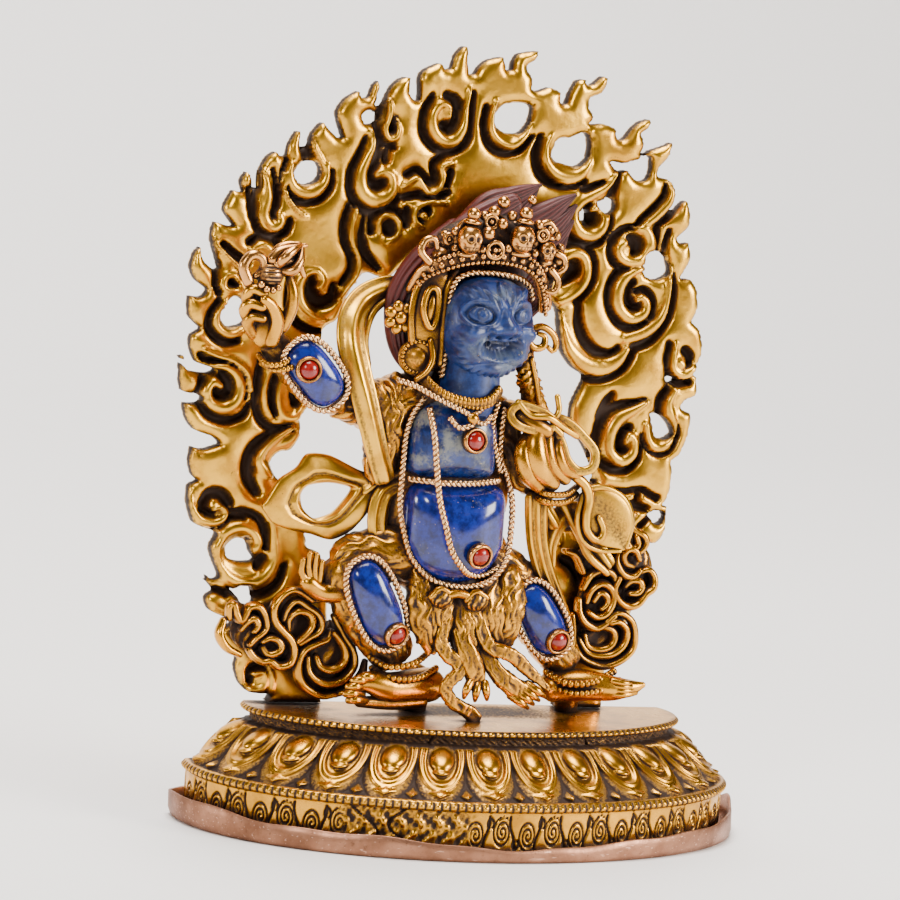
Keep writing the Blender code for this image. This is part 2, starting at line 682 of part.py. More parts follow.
def seat_cutter(stone, x, z):
    """The round seat drilled in the stone for a bezel."""
    shape = bmesh.new()
    height = BEZEL_SEAT_DEPTH + 2 * BEZEL_HEIGHT
    bmesh.ops.create_cone(
        shape,
        cap_ends=True,
        segments=14,
        radius1=BEZEL_RADIUS + 0.25,
        radius2=BEZEL_RADIUS + 0.25,
        depth=height,
        matrix=Matrix.Translation((0, 0, height / 2)),
    )
    mesh = bpy.data.meshes.new("seat")
    shape.to_mesh(mesh)
    shape.free()
    mesh.transform(seat_frame(stone, x, z))
    return mesh


# Twisted wires, each a plain round wire here


def wire_mesh(route, radius, closed, sides):
    return join_meshes([tube_mesh(route, [radius] * len(route), steps=1, closed=closed, sides=sides)])


def rim_route(stone, proud, count):
    """Points round a stone's widest outline, so far outside it, in its own plane."""
    centre, half_width, half_length, _, tilt = PEBBLES[stone]
    angle = 2 * math.pi * np.arange(count) / count
    across = np.cos(angle)
    along = np.sin(angle)
    reach = 1 / (np.abs(across) ** 2.6 + np.abs(along) ** 2.6) ** (1 / 2.6)
    right = across * (reach * half_width + proud)
    up = along * (reach * half_length + proud)
    turn = math.radians(tilt)
    x = centre[0] + math.cos(turn) * right + math.sin(turn) * up
    z = centre[2] - math.sin(turn) * right + math.cos(turn) * up
    return np.column_stack([x, np.full(count, centre[1]), z])


WIRE_PROUD = WIRE_RADIUS + SETTING_GAP + 0.03
WIRE_ROOM = (WIRE_RADIUS + SETTING_GAP) * math.sqrt(2)
ROPE_PROUD = WIRE_RADIUS + 0.45
WAIST_FRONT = -10.3

TORSO_LINE = [
    (-13.4, 61.2), (-15.1, 58), (-15.3, 53), (-15.2, 48), (-14.9, 43), (-13.1, 38.4),
    (-9.6, 35.9), (-6.7, 35.6), (-3.6, 35.8), (-0.4, 38), (1.5, 42.5), (1.6, 47), (0.9, 50.5),
    (-0.6, 54), (-0.8, 57.2), (-0.6, 60.6),
]
# Round the head, in halves of its width and height from its centre
FACE_LINE = [
    (-1.0, -0.88), (-1.15, -0.41), (-1.15, 0.14), (-1.08, 0.66), (-0.82, 1.0),
    (-0.38, 1.13), (0.11, 1.14), (0.57, 1.09), (0.88, 0.94), (1.1, 0.63),
]
FACE_WIRE_Y = HEAD_CENTRE[1] + 1.0
ROPE_LINE = [
    (-12.1, 60.4), (-11.9, 57), (-11.4, 52.8), (-10.6, 48.4), (-9.8, 44.6), (-8.6, 41),
    (-6.4, 38.4), (-4.2, 37.2), (-1.9, 37.2), (0.2, 38.4),
]
WAIST_LINE = [(-13.6, -7.6), (-12.2, -9.2), (-9.2, WAIST_FRONT), (-5.2, WAIST_FRONT), (-1.8, -9.2), (-0.4, -7.6)]


def rope_route():
    """Down over the chest stone, past the waist wire and round under the belly, clear of both stones."""
    route = []
    for x, z in ROPE_LINE:
        front = min(pebble_front("chest_stone", x, z)[0].y, pebble_front("belly_stone", x, z)[0].y)
        if abs(z - WAIST_LEVEL) < 3:
            front = min(front, WAIST_FRONT - WIRE_RADIUS)
        route.append((x, front - ROPE_PROUD, z))
    return route


def open_wires():
    waist = [(x, y, WAIST_LEVEL) for x, y in WAIST_LINE]
    face = [(HEAD_CENTRE[0] + across * HEAD_HALF[0], HEAD_CENTRE[2] + up * HEAD_HALF[2]) for across, up in FACE_LINE]
    return {
        "torso_wire": plan(TORSO_LINE, -6.2),
        "face_wire": plan(face, FACE_WIRE_Y),
        "hanging_rope": rope_route(),
        "waist_wire": waist,
    }


# Figure


def stroke(points, radii, flat=1.0, steps=3, closed=False):
    return tube_mesh(points, radii, flat=flat, steps=steps, closed=closed, sides=2)


def torso_pieces():
    return [
        ellipsoid_mesh((-7.2, -3.2, 48), (8.9, 4.0, 14.5)),
        ellipsoid_mesh((-6.5, -3.6, 39.5), (9.0, 4.4, 6.0)),
        stroke([(-17.5, -3.4, 59.5), (-9, -3, 61), (-1, -3.2, 58.5)], [3.6, 4.2, 3.4], 0.9),
        stroke([(-5.5, -2.6, 60), (-5.2, -2.8, 68)], [4.4, 4.6], 0.8),
        stroke(plan([(-13, 64.4), (-10, 62.3), (-6, 61.3), (-2.6, 62), (-1.4, 63.6)], -7.6), 1.0, 1.0),
    ]


def head_pieces():
    """Head, ears, ear discs and the hair that streams up and back."""
    pieces = [
        ellipsoid_mesh((-4.8, -2.6, 73), (8.0, 4.0, 8.8)),
        stroke(plan([(-13.4, 68.5), (-13.6, 77)], -4.6), [2.4, 2.2], 0.8),
        ellipsoid_mesh((-17.2, -4.2, 72.7), (2.5, 1.3, 2.6)),
        ellipsoid_mesh((-14.2, -5.6, 67.2), (2.7, 1.3, 2.8)),
        stroke(plan([(2.0, 71.6), (4.4, 70.4), (6.0, 71.4)], -4.2), [1.0, 0.9, 0.8]),
        stroke(plan([(1.2, 69), (1.8, 65), (3.4, 60)], -4.0), [1.6, 1.6, 1.7], 0.6),
    ]
    pieces.append(ellipsoid_mesh((-5, -2.4, 83.5), (10.5, 3.0, 6.5), -14))
    locks = [
        ([(-18.0, 66.5), (-19.3, 71), (-18.8, 77), (-15.6, 83), (-10, 87.4)], [0.8, 1.5, 2.4, 3.0, 3.0]),
        ([(-12, 83), (-7.5, 88), (-2.5, 91), (2.2, 92.3)], [3.0, 2.8, 2.0, 0.5]),
        ([(-3, 85), (2, 88), (5, 90), (7.4, 91.4)], [3.2, 3.0, 2.0, 0.6]),
        ([(0, 83), (4.5, 87), (7.6, 88.2)], [3.0, 2.4, 0.8]),
        ([(1, 80), (4.5, 83.5), (7.2, 85)], [2.4, 1.6, 0.5]),
        ([(1, 77), (4.4, 80.5), (6.8, 82.4)], [2.0, 1.4, 0.5]),
        ([(1, 75), (4.2, 77.4), (6.4, 79.6)], [1.6, 1.2, 0.5]),
    ]
    for points, radii in locks:
        pieces.append(stroke(plan(points, -1.8), radii, 0.55))
    return pieces


# Crown skulls as (x, y, z, radius), with a ball above each
SKULLS = [(-11.9, -6.6, 81.2, 1.3), (-7.9, -8.6, 84.0, 1.8), (-0.2, -9.0, 84.4, 1.8), (3.6, -7.2, 82.6, 1.5)]


def crown_pieces():
    pieces = [
        stroke(
            [(-14.6, -5.4, 78.2), (-11, -6.6, 80.8), (-6, -8, 82.2), (-1, -8.2, 82), (2.6, -6.8, 79.8), (4.4, -5, 76)],
            [1.5, 1.7, 1.7, 1.7, 1.6, 1.2],
        ),
        ellipsoid_mesh((-4.6, -6.5, 84.6), (3.2, 2.6, 3.4)),
        ellipsoid_mesh((-3.8, -6.4, 88.4), (1.8, 1.3, 1.6)),
        ellipsoid_mesh((-5.1, -9.2, 84.9), (0.95, 0.95, 0.95)),
        ellipsoid_mesh((5.4, -5.6, 81.4), (1.1, 1.2, 1.3)),
    ]
    for x, y, z, radius in SKULLS:
        pieces.append(ellipsoid_mesh((x, y, z), (radius, radius * 0.85, radius * 1.15)))
        pieces.append(stroke([(x, y, z), (x + 0.3, y + 0.4, z + radius * 1.9)], [radius * 0.6, radius * 0.45]))
        pieces.append(ellipsoid_mesh((x + 0.4, y + 0.4, z + radius * 2.1), (radius * 0.6,) * 3, 0, 8, 6))
    return pieces


def right_arm_pieces():
    """The raised arm, its hand, and the thunderbolt held in it."""
    pieces = [
        stroke(
            [(-16.5, -3.6, 59), (-21.5, -4, 57.6), (-27.2, -4.6, 60.4), (-31, -4.9, 64.4), (-34.4, -5.4, 67.6)],
            [3.9, 3.4, 3.1, 2.9, 2.1],
        ),
        stroke([(-34.4, -5.4, 67.2), (-36.2, -5.8, 71.2)], [2.3, 2.6], 0.8),
        stroke([(-37, -5.4, 65.8), (-34.4, -7.4, 66.6), (-32, -5.6, 68.8)], [0.9, 1.0, 0.9]),
        stroke([(-34.6, -6.4, 70), (-33.2, -7, 73.4), (-33.6, -6.8, 76.6)], [1.3, 1.0, 0.7]),
    ]
    for i in range(4):
        lift = 1.9 * i
        pieces.append(
            stroke(
                [(-38.6, -5.2, 70.6 + lift), (-38.2, -7.6, 71.2 + lift), (-35.6, -8.0, 72 + lift)],
                [1.05, 1.1, 0.95],
            )
        )
    pieces.append(stroke([(-38.4, -6.2, 73), (-33.4, -6.2, 79.2)], [1.7, 1.9]))
    for angle in range(0, 360, 60):
        spin = math.radians(angle)
        x = -34 + 1.9 * math.cos(spin)
        y = -6.4 + 1.9 * math.sin(spin)
        pieces.append(stroke([(x - 1.2, y, 77.2), (x, y, 79.2), (x + 1.0, y * 0.9, 81)], [0.7, 0.95, 0.45]))
    return pieces


def left_arm_pieces():
    """The lowered arm, the hand with its looped noose, and the wide leaf of the scarf."""
    return [
        stroke([(-0.5, -3.4, 58), (2.2, -3.2, 53.6), (4.2, -3.4, 51)], [3.2, 2.8, 2.6], 0.8),
        stroke([(0.2, -3.6, 60), (2.4, -5.4, 59), (5, -6.6, 58.6)], [1.9, 1.7, 1.4]),
        stroke([(5.2, -6.0, 58), (5.4, -7.2, 54), (8, -6.8, 50.8), (11, -6.2, 51.4)], [1.3, 2.2, 2.3, 1.3], 0.9),
        stroke([(4.6, -5.2, 50), (8, -7.4, 48.8), (11, -5.6, 50.2)], 1.0),
        stroke(plan([(0.6, 59.8), (2.2, 57.4), (6, 58.8), (8.2, 59.6), (4, 60.4)], -7.4), 0.75, 1.0, 3, True),
        stroke(plan([(8.2, 59.4), (12.6, 56.4), (13.2, 53.6), (11.4, 52.4), (8.8, 55.4)], -7.0), 0.85, 1.0, 3, True),
        ellipsoid_mesh((15.6, -5.6, 45.8), (3.6, 1.2, 5.0), -38),
        stroke(plan([(11, 51.5), (13, 47.4), (15, 42.6)], -6.6), [0.9, 1.0, 0.7]),
    ]


def leg_pieces():
    """Thighs, shins, anklets and feet, with the posts that stand on the base."""
    foot = STANDING_Z
    return [
        stroke([(-9, -3.6, 38.5), (-15.5, -4, 38), (-20.4, -4.4, 37.4)], [4.4, 4.2, 3.9]),
        stroke([(-20.4, -4.4, 37), (-17.2, -4.4, 31.5), (-13, -3.6, 25)], [4.2, 3.8, 3.0]),
        stroke([(-17, -4.4, 24.2), (-12.6, -6.6, 23.6), (-9, -4.2, 24.6)], 1.0),
        stroke([(-8.6, -2.4, 20.6), (-12.6, -4.4, 21.4), (-17, -5.6, 22.2)], [2.3, 2.3, 1.2], 0.9),
        stroke([(-8.2, -1.6, foot - 1), (-8.6, -1.8, 21)], [2.0, 2.2]),
        stroke([(-12, -4.4, 19.6), (-19, -4.4, 19.4)], [1.5, 0.8]),
        stroke([(-2, -3.6, 38), (3.4, -3.8, 36.6), (5.6, -4, 35)], [4.2, 3.4, 2.9]),
        stroke([(5.6, -4, 34.6), (8.4, -4, 30), (12.4, -3.4, 25.2)], [3.0, 3.3, 2.9]),
        stroke([(8.8, -4.2, 22.4), (14.4, -6.4, 22.4), (19.6, -4.4, 23.4)], 0.95),
        stroke([(11, -2.4, 22), (16.4, -3.8, 21.8), (20.8, -4.8, 21.8), (24.2, -5.4, 21.9)], [2.5, 2.3, 1.6, 0.6], 0.9),
        stroke([(15.6, -0.8, foot - 1), (15, -1.6, 21)], [1.5, 2.2], 0.9),
    ]


def skirt_pieces():
    """The hide skirt with its bows, hanging paws and the paw that reaches the base."""
    foot = STANDING_Z
    return [
        stroke([(-8.6, -5, 38), (-10.6, -5, 32), (-11, -4.6, 27.4)], [3.6, 3.0, 1.4], 0.8),
        stroke([(-3, -5, 38), (0.6, -5, 33), (1.4, -4.8, 28)], [3.6, 3.4, 1.8], 0.8),
        stroke([(-5, -5.6, 36), (-4.8, -6, 30), (-4.4, -6, 25.4)], [3.6, 3.4, 2.2], 0.7),
        ellipsoid_mesh((-7.7, -9.0, 33.4), (2.0, 1.1, 1.2), -25),
        ellipsoid_mesh((-2.4, -9.0, 33.6), (2.0, 1.1, 1.2), 20),
        ellipsoid_mesh((-5.0, -9.2, 34), (1.0, 1.0, 1.0)),
        stroke(
            [(-6.6, -8.2, 32), (-7.2, -8.4, 28), (-5.6, -8.6, 25), (-5.7, -8.8, 21.6), (-3.4, -8.8, 19.4), (-1.4, -8.8, foot - 1)],
            [1.0, 1.1, 1.1, 1.1, 1.0, 1.4],
        ),
        stroke(
            [(-4.2, -8.4, 32), (-2.4, -8.8, 28.6), (1, -8.8, 26.4), (4, -8.6, 25.6), (6.4, -8.2, 23.2), (9.8, -7.6, 21)],
            [1.0, 1.2, 1.2, 1.1, 0.9, 0.4],
        ),
        stroke([(-3.6, -7.6, 27), (-2.4, -7.8, 23.4), (-2.2, -7.8, 20.8)], [1.6, 1.6, 1.0], 0.8),
        stroke([(-0.4, -6.8, 25), (3.4, -6.6, 22.4), (8, -6.2, 19.6)], [1.6, 1.8, 1.0], 0.8),
        stroke([(-25.6, -3.4, 34.2), (-26.2, -3.6, 38.4)], [1.5, 1.1], 0.7),
        stroke([(-25.4, -3.0, 34), (-21.5, -3.6, 35)], [1.2, 2.0], 0.8),
    ]


def ring_scroll(x, z, radius, start, sweep, y=-2.6, rib=1.15, tightening=0.35):
    """A rolled scarf end: a ribbon that turns in on itself."""
    route = spiral_points(x, z, radius, start, sweep, y, tightening)
    return tube_mesh(route, np.linspace(rib, rib * 0.75, len(route)), flat=1.0, steps=1, sides=1)


def scarf_pieces():
    band = -1.6
    pieces = [
        stroke(
            plan([(-16.5, 77.4), (-21.4, 76.2), (-24.2, 72), (-24.4, 67.6), (-22.4, 61.6), (-20.8, 55), (-18.4, 48), (-15.4, 41)], band),
            [2.0, 2.2, 2.1, 2.1, 2.2, 2.2, 2.2, 2.0],
            0.55,
        ),
        stroke(
            plan([(-16.6, 50), (-22, 53), (-28.6, 51.6), (-33.4, 47.6), (-31, 44.2), (-26, 42.4), (-21, 44)], band),
            [1.8, 2.3, 2.3, 2.3, 2.2, 2.2, 1.9],
            0.5,
            3,
            True,
        ),
        stroke(
            [(5.4, -5.4, 49), (6.6, -4.6, 43), (8.4, -4.6, 37), (11.2, -4.8, 31), (13.2, -3.6, 26.4)],
            [1.9, 1.7, 1.5, 1.4, 1.3],
            0.7,
        ),
        stroke(plan([(9.6, 39.4), (9.2, 44.4), (11.8, 46.4), (14.6, 42.6), (18.8, 37.8)], -2.8), [1.4, 1.6, 1.8, 1.8, 1.5], 0.7),
        ring_scroll(-22.3, 22.6, 3.3, 170, 330),
        ring_scroll(-26.2, 30.2, 2.8, 200, -330),
        ring_scroll(-30.6, 25.6, 2.4, 60, -330),
        ring_scroll(-33.4, 28.8, 1.8, 60, 330),
        ring_scroll(17.9, 33.8, 2.9, -60, -330),
        ring_scroll(19.0, 27.8, 3.5, 120, -360),
        ring_scroll(22.4, 35.6, 1.9, 90, -330),
        ring_scroll(21.2, 39.8, 1.6, 60, 330),
        stroke(plan([(22.6, 39.6), (23.2, 42.6), (21.4, 45.2)], -2.6), [0.9, 0.8, 0.7]),
        stroke([(-30, -2.2, 26.4), (-25, -2, 24.6), (-18, -3, 26)], [1.2, 1.5, 2.2], 0.8),
        stroke([(14, -3, 30), (17.4, -2, 30.6), (19, -2, 34.6), (20.8, -2, 38)], [1.8, 1.3, 1.3, 1.2], 0.8),
    ]
    return pieces


def deity_figure(cutters):
    pieces = torso_pieces() + head_pieces() + crown_pieces()
    pieces += right_arm_pieces() + left_arm_pieces() + leg_pieces() + skirt_pieces() + scarf_pieces()
    finish_piece("deity_figure", cut_away(fused(pieces, FIGURE_TRIANGLES), cutters), GILT)


def settings():
    """Stones, bezels, corals and wires, and the seats they need in the figure."""
    cutters = [floor_block()]
    stones = {name: cabochon_mesh(*PEBBLES[name]) for name in PEBBLES}
    for room in [*stones.values(), carved_head(), carved_neck()]:
        cutters.append(grown(room, SETTING_GAP))
    stones["face_stone"] = face_mesh()
    for name, mesh in stones.items():
        seats = [seat_cutter(stone, x, z) for stone, x, z in CORALS.values() if stone == name]
        if seats:
            mesh = cut_away(mesh, seats)
        finish_piece(name, mesh, LAPIS)
    for name, (stone, x, z) in CORALS.items():
        bezel_and_coral(name, stone, x, z)
    for stone in ("forearm", "right_shin", "left_shin"):
        route = rim_route(f"{stone}_stone", WIRE_PROUD, 12)
        cutters.append(wire_mesh(route, WIRE_ROOM, True, 0))
        finish_piece(f"{stone}_wire", wire_mesh(route, WIRE_RADIUS, True, 1), ROSE_GILT)
    for name, route in open_wires().items():
        cutters.append(wire_mesh(route, WIRE_ROOM, False, 0))
        finish_piece(name, wire_mesh(route, WIRE_RADIUS, False, 1), ROSE_GILT)
    return cutters


bottom_plate()
lotus_base()
flame_aureole()
deity_figure(settings())
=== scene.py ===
import math

import bpy
import numpy as np
from mathutils import Matrix, Vector


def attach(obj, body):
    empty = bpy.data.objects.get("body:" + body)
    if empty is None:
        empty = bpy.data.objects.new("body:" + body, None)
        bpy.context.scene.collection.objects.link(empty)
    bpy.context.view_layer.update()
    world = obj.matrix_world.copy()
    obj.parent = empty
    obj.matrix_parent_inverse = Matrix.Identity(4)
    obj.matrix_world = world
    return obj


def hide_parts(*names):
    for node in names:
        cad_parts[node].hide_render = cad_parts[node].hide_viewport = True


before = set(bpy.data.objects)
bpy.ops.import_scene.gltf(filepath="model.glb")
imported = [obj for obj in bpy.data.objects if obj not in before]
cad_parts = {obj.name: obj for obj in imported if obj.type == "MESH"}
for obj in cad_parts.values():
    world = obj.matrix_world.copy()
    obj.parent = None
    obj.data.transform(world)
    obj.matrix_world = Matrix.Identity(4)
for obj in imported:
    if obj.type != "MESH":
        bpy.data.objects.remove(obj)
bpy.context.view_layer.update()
mm = 0.001  # every size below is in millimetres and is scaled when its mesh is made


# Mesh parts: each is (points, four-sided faces, triangles, dirt and painted shade at each point)

# Catmull-Rom through the points: b + t(c-a)/2 + t²(..) + t³(..), each span cut into steps; pull softens the
# corners
def smoothPath(points, steps, closed=False, pull=0.5):
    points = np.array(points, float)
    if closed:
        held = np.vstack([points[-1:], points, points[:2]])
    else:
        held = np.vstack([2 * points[:1] - points[1:2], points, 2 * points[-1:] - points[-2:-1]])
    a, b, c, d = held[:-3], held[1:-2], held[2:-1], held[3:]
    t = (np.arange(steps) / steps)[:, None, None]
    startSlope = pull * (c - a)
    endSlope = pull * (d - b)
    curve = (2 * t**3 - 3 * t**2 + 1) * b + (t**3 - 2 * t**2 + t) * startSlope
    curve = curve + (3 * t**2 - 2 * t**3) * c + (t**3 - t**2) * endSlope
    curve = curve.transpose(1, 0, 2).reshape(-1, points.shape[1])
    return curve if closed else np.vstack([curve, points[-1:]])


# the path cut again into equal steps of about the given length
def evenPath(points, spacing, closed=False):
    points = np.vstack([points, points[:1]]) if closed else points
    run = np.append(0, np.cumsum(np.linalg.norm(np.diff(points[:, :3], axis=0), axis=1)))
    count = max(2, int(round(run[-1] / spacing))) + 1
    marks = np.linspace(0, run[-1], count)
    even = np.column_stack([np.interp(marks, run, points[:, k]) for k in range(points.shape[1])])
    return even[:-1] if closed else even


# faces of a grid of rows x columns of points, joined round where asked
def gridFaces(rows, columns, wrapRows=False, wrapColumns=False):
    r = np.arange(rows if wrapRows else rows - 1)[:, None]
    c = np.arange(columns if wrapColumns else columns - 1)[None, :]
    nextR, nextC = (r + 1) % rows, (c + 1) % columns
    corners = [r * columns + c, r * columns + nextC, nextR * columns + nextC, nextR * columns + c]
    return np.stack([np.broadcast_to(k, (r.shape[0], c.shape[1])) for k in corners], -1).reshape(-1, 4)


noTriangles = np.zeros((0, 3), int)


# angles evenly spaced round a full turn
def fullTurn(count):
    return 2 * math.pi * np.arange(count) / count


# half circle over a share of its radius
def dome(share):
    return np.sqrt(np.clip(1 - share**2, 0, 1))


# 0 below low, 1 above high, 3t² - 2t³ between them
def softStep(low, high, value):
    t = np.clip((value - low) / (high - low), 0, 1)
    return t * t * (3 - 2 * t)


# turns rows of points clockwise in the XZ plane, as the viewer sees them
def tiltTurn(degrees):
    a = math.radians(degrees)
    return np.array([[math.cos(a), 0, -math.sin(a)], [0, 1, 0], [math.sin(a), 0, math.cos(a)]])


# a skin of rings (rows x columns x 3) closed by a point at each end; its dirt and painted shade may be one
# number or one for each point
def closedRings(rings, firstPole, lastPole, grimeAndShade=0.0):
    rows, columns = rings.shape[:2]
    points = np.vstack([rings.reshape(-1, 3), [firstPole], [lastPole]])
    quads = gridFaces(rows, columns, wrapColumns=True)
    c = np.arange(columns)
    following = (c + 1) % columns
    first, last = rows * columns, rows * columns + 1
    bottom = np.column_stack([following, c, np.full(columns, first)])
    start = (rows - 1) * columns
    top = np.column_stack([start + c, start + following, np.full(columns, last)])
    triangles = np.vstack([bottom, top])
    spread = np.zeros(rows * columns) + np.ravel(grimeAndShade)
    return points, quads, triangles, np.append(spread, [spread[0], spread[-1]])


# lengthwise frames on a path: tangent, side and lift, with lift kept near the viewer's direction
def pathFrames(points, closed):
    if closed:
        tangent = np.roll(points, -1, 0) - np.roll(points, 1, 0)
    else:
        tangent = np.gradient(points, axis=0)
    tangent /= np.linalg.norm(tangent, axis=1)[:, None] + 1e-9
    lift = np.broadcast_to(np.array((0, -1.0, 0)), points.shape)
    lift = lift - (lift * tangent).sum(1)[:, None] * tangent
    lift = lift / (np.linalg.norm(lift, axis=1)[:, None] + 1e-9)
    return tangent, np.cross(lift, tangent), lift


# a section carried along a path. Rows of the path are x, y, z, half width and half depth. The section is a
# round one, with lengthwise ridges given as (how many, how high); both ends close in a half ball, and the
# grooves between the ridges are darkened by the given share, as dirt and painted shade
def sweep(rows, sides=12, steps=4, closed=False, ridges=(0, 0.0), spacing=0.45, grimeAndShade=0.0, sink=0.45):
    path = smoothPath(rows, steps, closed)
    path = evenPath(path, spacing, closed)
    centre, width, depth = path[:, :3], path[:, 3], path[:, 4]
    tangent, side, lift = pathFrames(centre, closed)
    turn = fullTurn(sides)
    across, out = np.cos(turn), np.sin(turn)
    fold = ridges[1] * np.cos(ridges[0] * np.arccos(np.clip(across, -1, 1)) * 2) * np.abs(out)
    dirtAndShade = np.clip(grimeAndShade + sink * np.clip(-fold / max(ridges[1], 1e-6), 0, 1), 0, 1)
    out = out * (1 + fold)
    if not closed:
        cap = np.radians([72.0, 46.0, 22.0])
        ends = []
        for at, order, way in ((0, cap, -1), (-1, cap[::-1], 1)):
            reach = min(width[at], depth[at])
            ends.append(
                (
                    centre[at] + way * tangent[at] * reach * np.sin(order)[:, None],
                    width[at] * np.cos(order),
                    depth[at] * np.cos(order),
                )
            )
        poles = [centre[0] - tangent[0] * min(width[0], depth[0]),
            centre[-1] + tangent[-1] * min(width[-1], depth[-1])]
        centre = np.vstack([ends[0][0], centre, ends[1][0]])
        width = np.concatenate([ends[0][1], width, ends[1][1]])
        depth = np.concatenate([ends[0][2], depth, ends[1][2]])
        side = np.vstack([side[:1]] * 3 + [side] + [side[-1:]] * 3)
        lift = np.vstack([lift[:1]] * 3 + [lift] + [lift[-1:]] * 3)
    rings = centre[:, None] + side[:, None] * (across * width[:, None])[..., None]
    rings = rings + lift[:, None] * (out * depth[:, None])[..., None]
    if closed:
        quads = gridFaces(len(rings), sides, True, True)
        return rings.reshape(-1, 3), quads, noTriangles, np.tile(dirtAndShade, len(rings))
    return closedRings(rings, poles[0], poles[1], np.tile(dirtAndShade, len(rings)))


# a few values spread evenly over a count of places
def spreadOver(count, values):
    values = np.atleast_1d(values)
    return np.interp(np.linspace(0, 1, count), np.linspace(0, 1, len(values)), values)


# rows for sweep from points in space, with half widths and half depths spread along them
def solidRows(points, widths, depths=None):
    points = np.array(points, float)
    wide = spreadOver(len(points), widths)
    return np.column_stack([points, wide, wide if depths is None else spreadOver(len(points), depths)])


# a full ball: directions of a sphere, pushed out towards a box as power rises above 2, scaled and tilted in
# the XZ plane. relief(directions) gives how much farther out each point lies, as a share
def blob(centre, radii, tilt=0.0, power=2.0, rows=14, columns=20, relief=None, grimeAndShade=0.0, turnZ=0.0):
    down = math.pi * (np.arange(1, rows) / rows)
    around = fullTurn(columns)
    x = np.sin(down)[:, None] * np.cos(around)
    z = -np.cos(down)[:, None] * np.ones(columns)
    y = np.sin(down)[:, None] * np.sin(around)
    direction = np.concatenate([np.stack([x, y, z], -1).reshape(-1, 3), [[0, 0, -1]], [[0, 0, 1]]])
    full = direction / (np.abs(direction) ** power).sum(1)[:, None] ** (1 / power)
    dirtAndShade = np.zeros(len(direction)) + grimeAndShade
    if relief is not None:
        rise, dirtAndShade = relief(direction)
        full = full * (1 + rise[:, None])
    full = full * np.array(radii, float)
    b = math.radians(turnZ)
    full = full @ np.array([[math.cos(b), math.sin(b), 0], [-math.sin(b), math.cos(b), 0], [0, 0, 1]])
    full = full @ tiltTurn(tilt) + np.array(centre, float)
    count = (rows - 1) * columns
    part = closedRings(full[:count].reshape(rows - 1, columns, 3), full[count], full[count + 1])
    return part[0], part[1], part[2], np.append(dirtAndShade[:count], dirtAndShade[-2:])


# the same small ball set at many places at once
def beads(centres, radii, squash=1.0):
    centres = np.array(centres, float)
    radii = np.zeros(len(centres)) + radii
    points, quads, triangles, dirtAndShade = blob((0, 0, 0), (1, 1, squash), rows=7, columns=9)
    shift = (np.arange(len(centres)) * len(points))[:, None, None]
    many = points[None] * radii[:, None, None] + centres[:, None]
    return (
        many.reshape(-1, 3),
        (quads[None] + shift).reshape(-1, 4),
        (triangles[None] + shift).reshape(-1, 3),
        np.tile(dirtAndShade, len(centres)),
    )


# beads of one size, evenly spaced along a smooth path
def beadRow(points, spacing, radius):
    return beads(evenPath(smoothPath(points, 6), spacing), radius)


# a profile of (radius, height) turned about an axis through the centre
def turned(centre, axis, profile, sides, grimeAndShade=0.0):
    axis = Vector(axis).normalized()
    turn = np.array(axis.to_track_quat("Z", "Y").to_matrix())
    profile = np.array(profile, float)
    angle = fullTurn(sides)
    rings = np.stack(
        [
            profile[:, :1] * np.cos(angle),
            profile[:, :1] * np.sin(angle),
            profile[:, 1:2] * np.ones(sides),
        ],
        -1,
    )
    rings = rings @ turn.T + np.array(centre, float)
    first = np.array(centre, float) + turn @ np.array([0, 0, profile[0, 1]])
    last = np.array(centre, float) + turn @ np.array([0, 0, profile[-1, 1]])
    return closedRings(rings, first, last, grimeAndShade)


# rough cast skin: a sum of slanted waves pushes the points to and fro
def roughened(part, amount, pitch):
    points, quads, triangles, dirtAndShade = part
    waves = np.array([(1.0, 0.7, 0.3), (-0.5, 0.9, 0.8), (0.6, -0.4, 1.1), (-0.9, -0.6, 0.5),
        (0.2, 1.2, -0.9)])
    move = np.zeros(len(points))
    for k, wave in enumerate(waves):
        move += np.sin(points @ (wave * 2 * math.pi / pitch * (1 + 0.23 * k)) + 1.7 * k)
    centre = points.mean(0)
    out = points - centre
    out = out / (np.linalg.norm(out, axis=1)[:, None] + 1e-6)
    return points + out * (amount * move / 2)[:, None], quads, triangles, dirtAndShade


# strands carved along a direction: short waves across it, which wander as they run, push each point out or
# in along its normal, and the low ones are darkened with dirt and painted shade
def stranded(part, depth, pitch, along=(0, 0, 1), grimeAndShade=0.8):
    points, quads, triangles, dirtAndShade = part
    normal = np.zeros_like(points)
    for faces in (quads, triangles):
        if len(faces):
            corners = points[faces]
            facing = np.cross(corners[:, 1] - corners[:, 0], corners[:, 2] - corners[:, 0])
            for k in range(faces.shape[1]):
                np.add.at(normal, faces[:, k], facing)
    normal /= np.linalg.norm(normal, axis=1)[:, None] + 1e-9
    along = np.array(along, float) / np.linalg.norm(along)
    across = np.cross(along, (0, -1, 0))
    across /= np.linalg.norm(across)
    a, u, v = points @ along, points @ across, points @ np.cross(along, across)
    bend = 0.5 * np.sin(0.9 * a + 0.7 * u) + 0.3 * np.sin(1.9 * a - 1.1 * u)
    turn = 2 * math.pi * (u + bend) / pitch
    wave = 0.6 * np.sin(turn) + 0.4 * np.sin(1.7 * turn + 1.1 * a + v) * np.sin(0.8 * a + 2.0 * v / pitch)
    return points + normal * (depth * wave)[:, None], quads, triangles, np.clip(dirtAndShade - grimeAndShade * wave, 0, 1)
